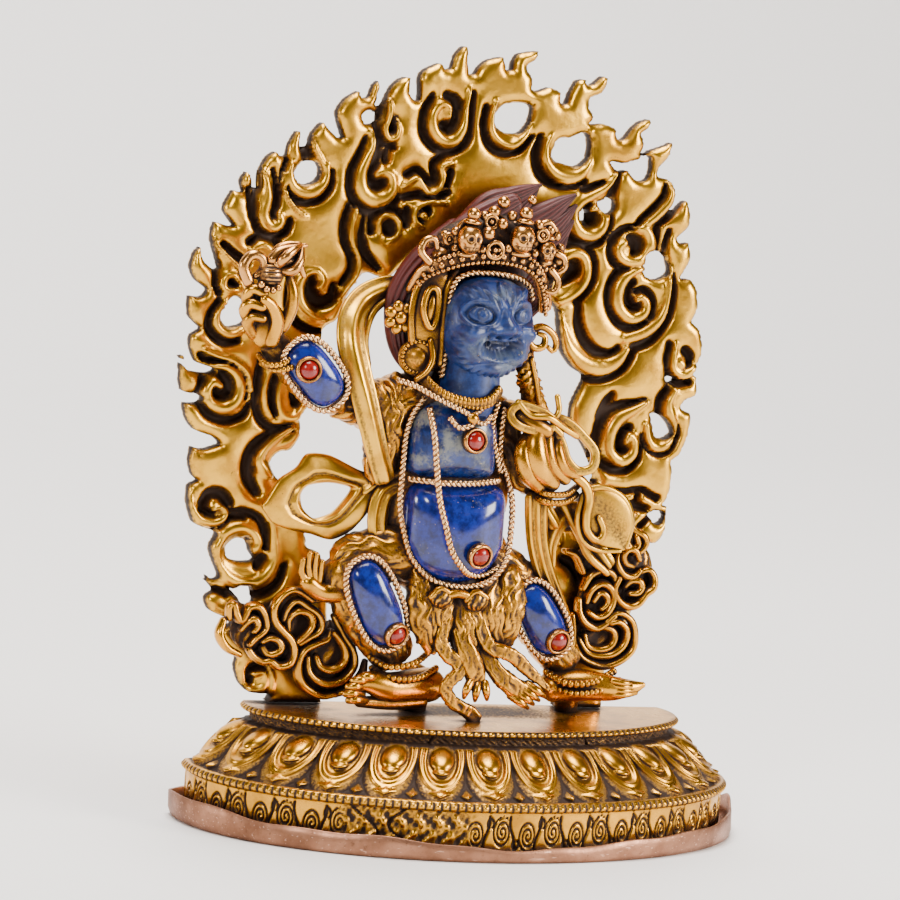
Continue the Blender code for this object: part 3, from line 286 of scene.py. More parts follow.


# parts joined in one mesh object in metres, which rides on the body and hides the imported nodes it stands
# for
def makePiece(name, parts, finish, nodes):
    counts = [len(p[0]) for p in parts]
    starts = np.append(0, np.cumsum(counts))[:-1]
    points = np.vstack([p[0] for p in parts]) * mm
    quads = np.vstack([p[1] + s for p, s in zip(parts, starts)]).astype(np.int32)
    triangles = np.vstack([p[2] + s for p, s in zip(parts, starts)]).astype(np.int32)
    mesh = bpy.data.meshes.new(name)
    mesh.vertices.add(len(points))
    mesh.vertices.foreach_set("co", points.astype(np.float32).ravel())
    mesh.loops.add(quads.size + triangles.size)
    mesh.loops.foreach_set("vertex_index", np.concatenate([quads.ravel(), triangles.ravel()]))
    mesh.polygons.add(len(quads) + len(triangles))
    loopStart = np.concatenate([np.arange(len(quads)) * 4, quads.size + np.arange(len(triangles)) * 3])
    mesh.polygons.foreach_set("loop_start", loopStart.astype(np.int32))
    mesh.polygons.foreach_set("use_smooth", np.ones(len(loopStart), bool))
    mesh.update(calc_edges=True)
    dirtAndShade = mesh.attributes.new("grimeAndShade", "FLOAT", "POINT")
    dirtAndShade.data.foreach_set("value", np.concatenate([np.ravel(p[3]) for p in parts]).astype(np.float32))
    mesh.materials.append(finish)
    piece = bpy.data.objects.new(name, mesh)
    bpy.context.scene.collection.objects.link(piece)
    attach(piece, "root")
    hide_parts(*nodes)
    print(name, len(quads) * 2 + len(triangles), "triangles")


# Materials


# a short way to wire a material's nodes
class Nodes:
    def __init__(self, name):
        self.finish = bpy.data.materials.new(name)
        self.finish.use_nodes = True
        self.tree = self.finish.node_tree
        self.shader = self.tree.nodes["Principled BSDF"]

    def add(self, kind, inputs=None, **settings):
        node = self.tree.nodes.new(kind)
        for key, value in settings.items():
            setattr(node, key, value)
        for key, value in (inputs or {}).items():
            if isinstance(value, bpy.types.NodeSocket):
                self.tree.links.new(value, node.inputs[key])
            else:
                node.inputs[key].default_value = value
        return node

    def noise(self, place, scale, detail=3.0, rough=0.55):
        node = self.add("ShaderNodeTexNoise",
            {"Vector": place, "Scale": scale, "Detail": detail, "Roughness": rough})
        return node.outputs["Fac"]

    def sums(self, how, a, b):
        node = self.add("ShaderNodeMath", operation=how)
        for k, value in enumerate((a, b)):
            if isinstance(value, bpy.types.NodeSocket):
                self.tree.links.new(value, node.inputs[k])
            else:
                node.inputs[k].default_value = value
        return node.outputs[0]

    def spread(self, value, low, high, outLow=0.0, outHigh=1.0):
        node = self.add(
            "ShaderNodeMapRange",
            {"Value": value, "From Min": low, "From Max": high, "To Min": outLow, "To Max": outHigh},
            interpolation_type="SMOOTHSTEP",
        )
        return node.outputs["Result"]

    def blend(self, share, first, second):
        node = self.add("ShaderNodeMix", data_type="RGBA")
        self.tree.links.new(share, node.inputs[0])
        for socket, value in ((node.inputs[6], first), (node.inputs[7], second)):
            if isinstance(value, bpy.types.NodeSocket):
                self.tree.links.new(value, socket)
            else:
                socket.default_value = (*value, 1)
        return node.outputs[2]

    def bump(self, height, strength, distance):
        node = self.add("ShaderNodeBump", {"Height": height, "Strength": strength, "Distance": distance})
        return node.outputs["Normal"]

    def wire(self, **sockets):
        for key, value in sockets.items():
            socket = self.shader.inputs[key.replace("_", " ")]
            if isinstance(value, bpy.types.NodeSocket):
                self.tree.links.new(value, socket)
            else:
                socket.default_value = value


giltLooks = {
    "gilt_aureole": dict(bright=(0.84, 0.45, 0.035), warm=(0.40, 0.16, 0.009), recessDirtAndShade=(0.026, 0.009, 0.002),
        gloss=0.25, reach=2.6, pits=0.8, patina=0.10),
    "gilt_base": dict(bright=(0.76, 0.37, 0.028), warm=(0.30, 0.115, 0.007), recessDirtAndShade=(0.024, 0.008, 0.002),
        gloss=0.23, reach=2.2, pits=0.6, patina=0.16),
    "gilt_figure": dict(bright=(0.74, 0.34, 0.026), warm=(0.26, 0.09, 0.006), recessDirtAndShade=(0.020, 0.006, 0.002),
        gloss=0.22, reach=2.6, pits=0.5, patina=0.22),
    "rose_gilt": dict(bright=(0.80, 0.38, 0.10), warm=(0.34, 0.12, 0.02), recessDirtAndShade=(0.022, 0.007, 0.002),
        gloss=0.2, reach=1.8, pits=0.3, patina=0.18),
    "hair_red": dict(bright=(0.085, 0.005, 0.003), warm=(0.035, 0.003, 0.002), recessDirtAndShade=(0.006, 0.001, 0.001),
        gloss=0.42, reach=0.8, pits=0.2, patina=0.1),
    "wire_gilt": dict(bright=(0.92, 0.56, 0.26), warm=(0.62, 0.30, 0.09), recessDirtAndShade=(0.016, 0.006, 0.002),
        gloss=0.2, reach=0.6, pits=0.1, patina=0.05),
}


# cast and gilded metal: gold mottled in two tones, the warm one also as painted shade where a place lies
# deep;
# brown where the attribute holds dirt and painted shade, and as patina and painted shade in the hollows
def giltMaterial(name, bright, warm, recessDirtAndShade, gloss, reach, pits, patina):
    n = Nodes(name)
    place = n.add("ShaderNodeTexCoord").outputs["Object"]
    # ambient occlusion: how open each place is, used below to paint shade into the hollows
    hollow = n.add("ShaderNodeAmbientOcclusion", {"Distance": reach * mm}, samples=8).outputs["AO"]
    dirtAndShade = n.add("ShaderNodeAttribute", attribute_name="grimeAndShade").outputs["Fac"]
    cloud = n.noise(place, 260.0, 4.0, 0.6)
    fine = n.noise(place, 2600.0, 3.0, 0.6)
    speck = n.noise(place, 4200.0, 2.0, 0.5)
    shade = n.spread(hollow, 0.30, 0.90, 1.0, 0.0)
    dirtAndShade = n.sums("MAXIMUM", dirtAndShade, shade)
    dirtAndShade = n.sums("ADD", dirtAndShade, n.sums("MULTIPLY", n.sums("SUBTRACT", fine, 0.5 - patina), 0.9))
    dirtAndShade = n.spread(dirtAndShade, 0.22, 0.78)
    dots = n.sums("MULTIPLY", n.spread(speck, 0.66, 0.72), n.spread(cloud, 0.50, 0.66, 0.0, pits))
    dirtAndShade = n.sums("MAXIMUM", dirtAndShade, dots)
    # two tones by cloud, the warm one also as painted shade by how deep the place lies, then the brown of
    # dirt and painted shade
    tone = n.blend(n.sums("MAXIMUM", n.spread(cloud, 0.38, 0.72, 0.0, 0.6),
        n.spread(hollow, 0.62, 1.0, 0.9, 0.0)), bright, warm)
    colour = n.blend(dirtAndShade, tone, recessDirtAndShade)
    brushed = n.noise(n.add("ShaderNodeMapping",
        {"Vector": place, "Rotation": (0, 0.7, 0), "Scale": (1, 1, 0.08)}).outputs[0], 5200.0, 2.0)
    height = n.sums("ADD", n.sums("MULTIPLY", fine, 0.6), n.sums("MULTIPLY", brushed, 0.25))
    height = n.sums("ADD", height, n.sums("MULTIPLY", n.noise(place, 750.0, 2.0), 2.2))
    height = n.sums("SUBTRACT", height, n.sums("MULTIPLY", dots, 0.8))
    metal = 1.0 if name != "hair_red" else 0.15
    n.wire(
        Base_Color=colour,
        Metallic=n.spread(dirtAndShade, 0.0, 1.0, metal, 0.35 * metal),
        Roughness=n.sums("ADD", n.spread(dirtAndShade, 0.0, 1.0, gloss, 0.62), n.sums("MULTIPLY", cloud, 0.10)),
        Normal=n.bump(height, 0.32, 0.05 * mm),
    )
    return n.finish


# lapis: deep blue clouded with grey and white, dark veins, flecks of gold
def stoneMaterial(name, blue, deep, grey, share, gloss):
    n = Nodes(name)
    place = n.add("ShaderNodeTexCoord").outputs["Object"]
    cloud = n.noise(place, 230.0, 6.0, 0.62)
    patch = n.noise(place, 620.0, 5.0, 0.7)
    grain = n.noise(place, 2400.0, 4.0, 0.65)
    colour = n.blend(n.spread(patch, 0.35, 0.68), deep, blue)
    colour = n.blend(n.spread(n.sums("ADD", cloud,
        n.sums("MULTIPLY", n.sums("SUBTRACT", grain, 0.5), 0.25)), 0.60 - share, 0.78 - share), colour, grey)
    colour = n.blend(n.spread(patch, 0.56, 0.74, 0.0, 0.75), colour, (0.010, 0.016, 0.055))
    colour = n.blend(n.spread(grain, 0.56, 0.70, 0.0, 0.6), colour, (0.012, 0.016, 0.055))
    fleck = n.sums("MULTIPLY", n.spread(n.noise(place, 3800.0, 2.0), 0.69, 0.72),
        n.spread(cloud, 0.52, 0.60))
    colour = n.blend(fleck, colour, (0.60, 0.42, 0.14))
    # darker blue where the attribute holds dirt and painted shade, in the carved hollows
    dirtAndShade = n.add("ShaderNodeAttribute", attribute_name="grimeAndShade").outputs["Fac"]
    colour = n.blend(n.sums("MULTIPLY", dirtAndShade, 0.85), colour, (0.012, 0.016, 0.045))
    n.wire(
        Base_Color=colour,
        Roughness=n.spread(patch, 0.2, 0.9, gloss, gloss + 0.14),
        Normal=n.bump(grain, 0.12, 0.04 * mm),
    )
    n.shader.inputs["Coat Weight"].default_value = 0.3 if gloss < 0.3 else 0.05
    n.shader.inputs["Coat Roughness"].default_value = 0.06
    return n.finish


# coral: two close reds by cloud, polished
def coralMaterial():
    n = Nodes("coral_red")
    place = n.add("ShaderNodeTexCoord").outputs["Object"]
    cloud = n.noise(place, 900.0, 4.0, 0.6)
    n.wire(
        Base_Color=n.blend(n.spread(cloud, 0.35, 0.7), (0.20, 0.004, 0.003), (0.32, 0.012, 0.008)),
        Roughness=n.spread(cloud, 0.3, 0.7, 0.16, 0.26),
        Normal=n.bump(cloud, 0.08, 0.04 * mm),
    )
    n.shader.inputs["Subsurface Weight"].default_value = 0.05
    n.shader.inputs["Subsurface Radius"].default_value = (0.0012, 0.0004, 0.0002)
    n.shader.inputs["Coat Weight"].default_value = 0.3
    n.shader.inputs["Coat Roughness"].default_value = 0.05
    return n.finish


# copper sheet: dull pink brown, hammered, with long scratches and darker stains
def copperMaterial():
    n = Nodes("copper_sheet")
    place = n.add("ShaderNodeTexCoord").outputs["Object"]
    cloud = n.noise(place, 170.0, 5.0, 0.6)
    fine = n.noise(place, 1500.0, 4.0, 0.65)
    stretched = n.add("ShaderNodeMapping",
        {"Vector": place, "Rotation": (0.3, 0.5, 0.2), "Scale": (0.06, 1, 1)}).outputs[0]
    scratch = n.spread(n.noise(stretched, 3000.0, 2.0), 0.64, 0.70)
    colour = n.blend(n.spread(cloud, 0.3, 0.7), (0.40, 0.19, 0.11), (0.20, 0.085, 0.045))
    colour = n.blend(n.spread(fine, 0.58, 0.75, 0.0, 0.6), colour, (0.10, 0.045, 0.025))
    colour = n.blend(n.sums("MULTIPLY", scratch, 0.6), colour, (0.70, 0.42, 0.30))
    n.wire(
        Base_Color=colour,
        Metallic=0.85,
        Roughness=n.spread(cloud, 0.3, 0.7, 0.34, 0.52),
        Normal=n.bump(n.sums("ADD", cloud, n.sums("MULTIPLY", fine, 0.3)), 0.5, 0.25 * mm),
    )
    return n.finish


gilt = {name: giltMaterial(name, **look) for name, look in giltLooks.items()}
lapis = stoneMaterial("lapis_polished", (0.008, 0.022, 0.27), (0.003, 0.007, 0.065), (0.10, 0.12, 0.14),
    0.0, 0.12)
lapisPale = stoneMaterial("lapis_mottled", (0.010, 0.036, 0.20), (0.005, 0.012, 0.06), (0.17, 0.18, 0.17),
    0.12, 0.16)
lapisFace = stoneMaterial("lapis_carved", (0.010, 0.042, 0.20), (0.003, 0.013, 0.070), (0.08, 0.11, 0.17),
    0.07, 0.34)
coral = coralMaterial()
copper = copperMaterial()
print("materials ready")


# Camera and light

camera = {
    "aim": (-5.15, 0.0, 53.5), "distance": 636.4, "azimuth": 20.99, "elevation": 6.635, "roll": 4.781,
    "lens": 180.04,
}


# the camera looks at the aim from its distance, turned by azimuth, elevation and then roll
def makeCamera():
    azimuth, elevation, roll = (math.radians(camera[k]) for k in ("azimuth", "elevation", "roll"))
    forward = Vector((math.sin(azimuth) * math.cos(elevation), math.cos(azimuth) * math.cos(elevation),
        -math.sin(elevation)))
    level = forward.cross(Vector((0, 0, 1))).normalized()
    upright = level.cross(forward)
    right = level * math.cos(roll) + upright * math.sin(roll)
    up = upright * math.cos(roll) - level * math.sin(roll)
    lens = bpy.data.cameras.new("photo_camera")
    lens.lens = camera["lens"]
    lens.sensor_width = 36.0
    lens.clip_start = 0.01
    eye = bpy.data.objects.new("photo_camera", lens)
    turn = Matrix((right, up, -forward)).transposed().to_4x4()
    eye.matrix_world = Matrix.Translation((Vector(camera["aim"]) - forward * camera["distance"]) * mm) @ turn
    bpy.context.scene.collection.objects.link(eye)
    bpy.context.scene.camera = eye


# name: place and aim in metres, size, watts, colour
softBoxes = {
    "top_box": ((-0.05, -0.10, 0.70), (0, 0, 0.05), 0.34, 5.5, (1.0, 0.97, 0.93)),
    "right_box": ((0.50, -0.42, 0.26), (0, 0, 0.06), 0.28, 7.0, (1.0, 0.96, 0.90)),
    "front_box": ((-0.50, -0.50, 0.40), (0, 0, 0.06), 0.12, 2.2, (1.0, 0.98, 0.96)),
    "left_edge": ((-0.60, 0.05, 0.14), (0, 0, 0.06), 0.10, 1.2, (1.0, 0.97, 0.94)),
    "back_wash": ((0.0, 0.30, 1.15), (0.0, 0.72, 0.25), 0.50, 19.0, (1.0, 0.975, 0.96)),
}
worldShade = {"colour": (0.86, 0.66, 0.50), "strength": 0.10}


# square lights that face their aims, and a dim even world
def makeLights():
    for name, (place, aim, size, watts, colour) in softBoxes.items():
        data = bpy.data.lights.new(name, "AREA")
        data.size = size
        data.energy = watts
        data.color = colour
        box = bpy.data.objects.new(name, data)
        turn = (Vector(aim) - Vector(place)).to_track_quat("-Z", "Y").to_matrix().to_4x4()
        box.matrix_world = Matrix.Translation(place) @ turn
        bpy.context.scene.collection.objects.link(box)
    world = bpy.data.worlds.new("studio")
    world.use_nodes = True
    world.node_tree.nodes["Background"].inputs["Color"].default_value = (*worldShade["colour"], 1)
    world.node_tree.nodes["Background"].inputs["Strength"].default_value = worldShade["strength"]
    bpy.context.scene.world = world


# a pale sweep: flat floor, then a quarter round, then a wall; the profile is carried along X
def makeFloor():
    bend = np.radians(np.linspace(0, 90, 13))
    run = [(-0.5, 0.0)] + [(0.45 + 0.3 * math.sin(a), 0.3 - 0.3 * math.cos(a)) for a in bend] + [(0.75, 1.2)]
    run = np.array(run)
    x = np.array([-0.7, 0.9])
    points = np.stack([np.broadcast_to(x, (len(run), 2)), run[:, :1] * np.ones(2), run[:, 1:] * np.ones(2)],
        -1)
    mesh = bpy.data.meshes.new("studio_sweep")
    mesh.from_pydata(points.reshape(-1, 3).tolist(), [], gridFaces(len(run), 2).tolist())
    mesh.polygons.foreach_set("use_smooth", np.ones(len(mesh.polygons), bool))
    n = Nodes("studio_paper")
    place = n.add("ShaderNodeTexCoord").outputs["Object"]
    n.wire(Base_Color=n.blend(n.noise(place, 3.0), (0.86, 0.84, 0.825), (0.89, 0.875, 0.86)), Roughness=0.6)
    mesh.materials.append(n.finish)
    sweepObject = bpy.data.objects.new("studio_sweep", mesh)
    bpy.context.scene.collection.objects.link(sweepObject)


makeCamera()
makeLights()
makeFloor()
print("camera and light ready")


# Aureole: the flame plate, seen from the front as a height over the XZ plane

plate = {
    "left": -47.5, "right": 35.0, "bottom": 16.8, "top": 111.5, "foot": 16.7, "farthest": 2.4,
    "outlineShift": (0.07, 0.1), "outlineLean": 0.5, "strokeShift": (-0.5, 0.15),
    "front": 0.5, "back": 3.45, "pitch": 0.3, "edgeRound": 1.5, "edgeDrop": 1.0,
    "pitDepth": 1.9, "ribRise": 0.45, "ribFoot": -0.85, "swell": 0.2, "cushion": 2.2, "cushionDrop": 0.6,
}

# silhouette as the photograph shows it on the plane y = 1.8, clockwise from the left foot: tips and notches
flameOutline = [
    (-28.8, 16.4), (-29.2, 17.7), (-32.2, 18), (-33.8, 19.4), (-34.6, 21.4), (-34.5, 22.9), (-36.6, 24.8),
    (-37.2, 26.3),
    (-35.7, 27.3), (-35.9, 28.2), (-38.8, 29.4), (-39.7, 31), (-38.5, 32.2), (-40.2, 34.3), (-38.3, 33.7),
    (-38, 34.5), (-39, 36.5),
    (-39.6, 38.3), (-38.8, 40.4), (-42.2, 41.7), (-43.4, 44.6), (-43.3, 46.7), (-42, 47.5), (-43, 48.5),
    (-43.6, 50.4),
    (-43.1, 52.3), (-41.4, 51.9), (-39.3, 52.7), (-40.2, 53.8), (-43, 54.7), (-44.4, 56.2), (-44.9, 58.1),
    (-42.7, 58.4), (-42.6, 59.5), (-45.3, 60.1), (-45.9, 62.2),
    (-45.4, 65), (-44.1, 62.9), (-41.5, 62.6), (-41, 63.4), (-43.6, 64.2), (-44.7, 66.2), (-44.7, 67.6),
    (-43.3, 68.8), (-45.2, 70.6), (-45.3, 73.1), (-43.4, 73.1), (-42.9, 74.4),
    (-44.6, 75.6), (-45.5, 77.2), (-45, 79.2), (-43.5, 80.2), (-43, 78.2), (-41.4, 77), (-42, 79),
    (-42.9, 81.5), (-42.3, 83.6), (-39.6, 83.1), (-40.5, 84.3),
    (-41.4, 85.7), (-40, 88.2), (-38.7, 87.9), (-39.2, 89.5), (-38, 91), (-36.9, 90), (-36.6, 88.6),
    (-36.5, 91.2),
    (-35.5, 93), (-33.9, 93.9), (-32.9, 93.2), (-32.7, 94.7), (-31.7, 96.5), (-30.4, 97.3), (-29.9, 94.6),
    (-29.4, 96.5), (-27.6, 98.4), (-26.1, 97.2), (-24.8, 96.2), (-25.3, 97.6), (-26, 99.8), (-24.8, 101.7),
    (-22.5, 103), (-21.6, 102),
    (-20.9, 103.8), (-19.6, 104.8), (-19.1, 103.5), (-19.6, 100.8), (-18.4, 103.5), (-17, 104.9),
    (-15, 105.4), (-14.8, 103.2), (-14, 102.2), (-14.2, 105.4),
    (-13.2, 106.6), (-10.7, 107.7), (-9.7, 106.8), (-9.2, 108.7), (-8, 110), (-6.6, 110), (-6.1, 106.4),
    (-5.6, 107.2), (-4.2, 108.4), (-1.3, 109.1), (-0.6, 107.2), (-0.4, 108.6), (0.6, 109.7), (4, 110.3),
    (3.8, 109.3), (2.6, 108.4), (2.6, 107.4), (3.4, 106.4), (3.7, 104.6),
    (5.8, 105.3), (7.9, 104.6), (8.1, 103), (8.5, 104.5), (9.6, 106.4), (11.5, 106.8), (11.9, 106),
    (13.6, 107.4), (15, 106.9),
    (14.2, 105.2), (12.5, 104.3), (12.6, 102.6), (13.3, 101.6), (12.7, 100.5), (14.6, 100.7), (16.8, 100),
    (17.3, 98.5), (18.6, 100.2), (20, 101.3), (22.1, 101.8),
    (21.8, 100.7), (20.8, 99.8), (21.4, 98.2), (20.7, 96.6), (22, 97.3), (23.8, 98), (25.8, 98.8),
    (25.6, 97), (24.1, 95.2), (23.9, 93.7), (25.6, 93.3), (26.8, 91.4), (26.4, 89),
    (27.2, 89.9), (28.5, 90.7), (29.5, 88.8), (29.5, 87), (28, 85.4), (28.2, 84.3), (29.7, 84.5),
    (30.2, 82.3), (29.4, 80.6), (28.9, 79.3), (30.3, 79.2), (31.6, 77.7),
    (31.9, 75.2), (31.2, 73.2), (32.6, 71.8), (33.3, 69), (32.4, 66.5), (32, 65.6), (32.9, 64.9),
    (33, 62.8), (31.2, 61.8), (30.9, 60.4), (32.4, 59.6), (32.3, 57), (31.2, 54.2), (30, 53),
    (30.3, 50.4), (30, 48), (29.2, 46.4), (29.9, 46), (30, 43.4), (29.3, 41.7), (28, 40.8), (26.2, 41),
    (25.8, 40), (27.7, 38.4), (26.8, 37.4), (28.5, 36.6), (27.4, 34.4),
    (26.2, 33), (25.8, 31), (24.6, 28), (23, 24), (22, 20), (22, 16.4),
]
# the opening behind the figure, from the right foot over the head to the left foot
openingOutline = [
    (14.5, 16.4), (14.5, 20), (13, 26), (10.5, 33), (10, 37), (11, 41), (15, 46), (17.6, 50), (15.5, 54.5),
    (13.1, 57.5), (12.9, 60), (13.6, 62), (14.6, 64.6), (12.6, 65.9), (10.7, 68.1),
    (9.9, 71), (9.4, 74), (8.2, 75.4), (5, 79), (0, 81.5), (-6, 82.5), (-12, 81), (-15.4, 77.6),
    (-17.2, 77.2), (-19.3, 77.8), (-20.2, 76.8), (-21.4, 74.8), (-22.8, 71.2),
    (-24.4, 70), (-24.8, 68), (-25.1, 64), (-25.6, 60), (-27, 57.4), (-26.8, 54.6), (-28.2, 52.5),
    (-30, 52), (-30.9, 50.4), (-30, 48.5), (-28, 46.6), (-26, 43), (-24.8, 40), (-24.4, 38.5), (-22.4, 37.6),
    (-21, 33), (-20.6, 27), (-21, 20), (-21, 16.4),
]
throughHoles = [
    [(-30.7, 91), (-30.4, 89.9), (-29.4, 89.5), (-28.2, 90.1), (-27.8, 91.5), (-28.4, 92.8), (-29.9, 92.6)],
    [(-21.5, 99.6), (-20.9, 100.4), (-20, 100.2), (-19.9, 98.9), (-20.9, 98.4)],
    [(-1.6, 101), (-0.7, 102.5), (1.2, 102.9), (2.9, 102.6), (2.8, 100.4), (1.6, 98.6), (-0.2, 98.5),
        (-1.4, 99.3)],
    [(7.4, 96), (8, 98.2), (9.6, 98.5), (11.6, 99.3), (12.2, 97.6), (12, 95.6), (10.8, 94.4), (9, 94.7),
        (7.8, 95)],
    [(16.3, 95.5), (18, 95.3), (20.2, 96), (21.8, 96.6), (22, 94.4), (21.4, 93), (20.4, 93), (18.9, 94.3),
        (17.4, 94.1)],
    [(14.9, 89.6), (16.6, 90.2), (16.9, 88.6), (16.2, 87.9), (15.2, 88.6)],
    [(12.1, 88.1), (12.7, 88.4), (12.9, 86.8), (12.3, 86.9)],
    [(23.3, 82.9), (25, 83), (25.7, 82.2), (26.1, 80.6), (25.9, 79.6), (24.6, 78.9), (23.3, 79.4),
        (22.9, 81)],
    [(-38.4, 73.5), (-39.4, 72), (-39.8, 70.4), (-38.9, 69.2), (-37.4, 69.6), (-36.9, 70.8), (-37.2, 72.8)],
    [(27.9, 65), (28.6, 65), (28.9, 64.4), (28.2, 64.2)],
    [(26.1, 59.6), (27.2, 59.4), (28.4, 58.2), (28.9, 56.8), (28, 56), (27, 56.3), (26.6, 57.6)],
    [(-36.5, 38.6), (-35.4, 39.7), (-34.2, 39.3), (-33.8, 38.1), (-33, 37), (-33.2, 36.4), (-34.8, 36.3),
        (-36.2, 36.9)],
    [(-35.2, 32.5), (-34.2, 33), (-33.2, 32.9), (-32.6, 31), (-32.9, 30.2), (-33.6, 30.5), (-34.2, 31.5)],
    [(27.7, 45.6), (28.6, 45.5), (28.8, 44.4), (28.2, 43.5), (27.6, 44.4)],
]
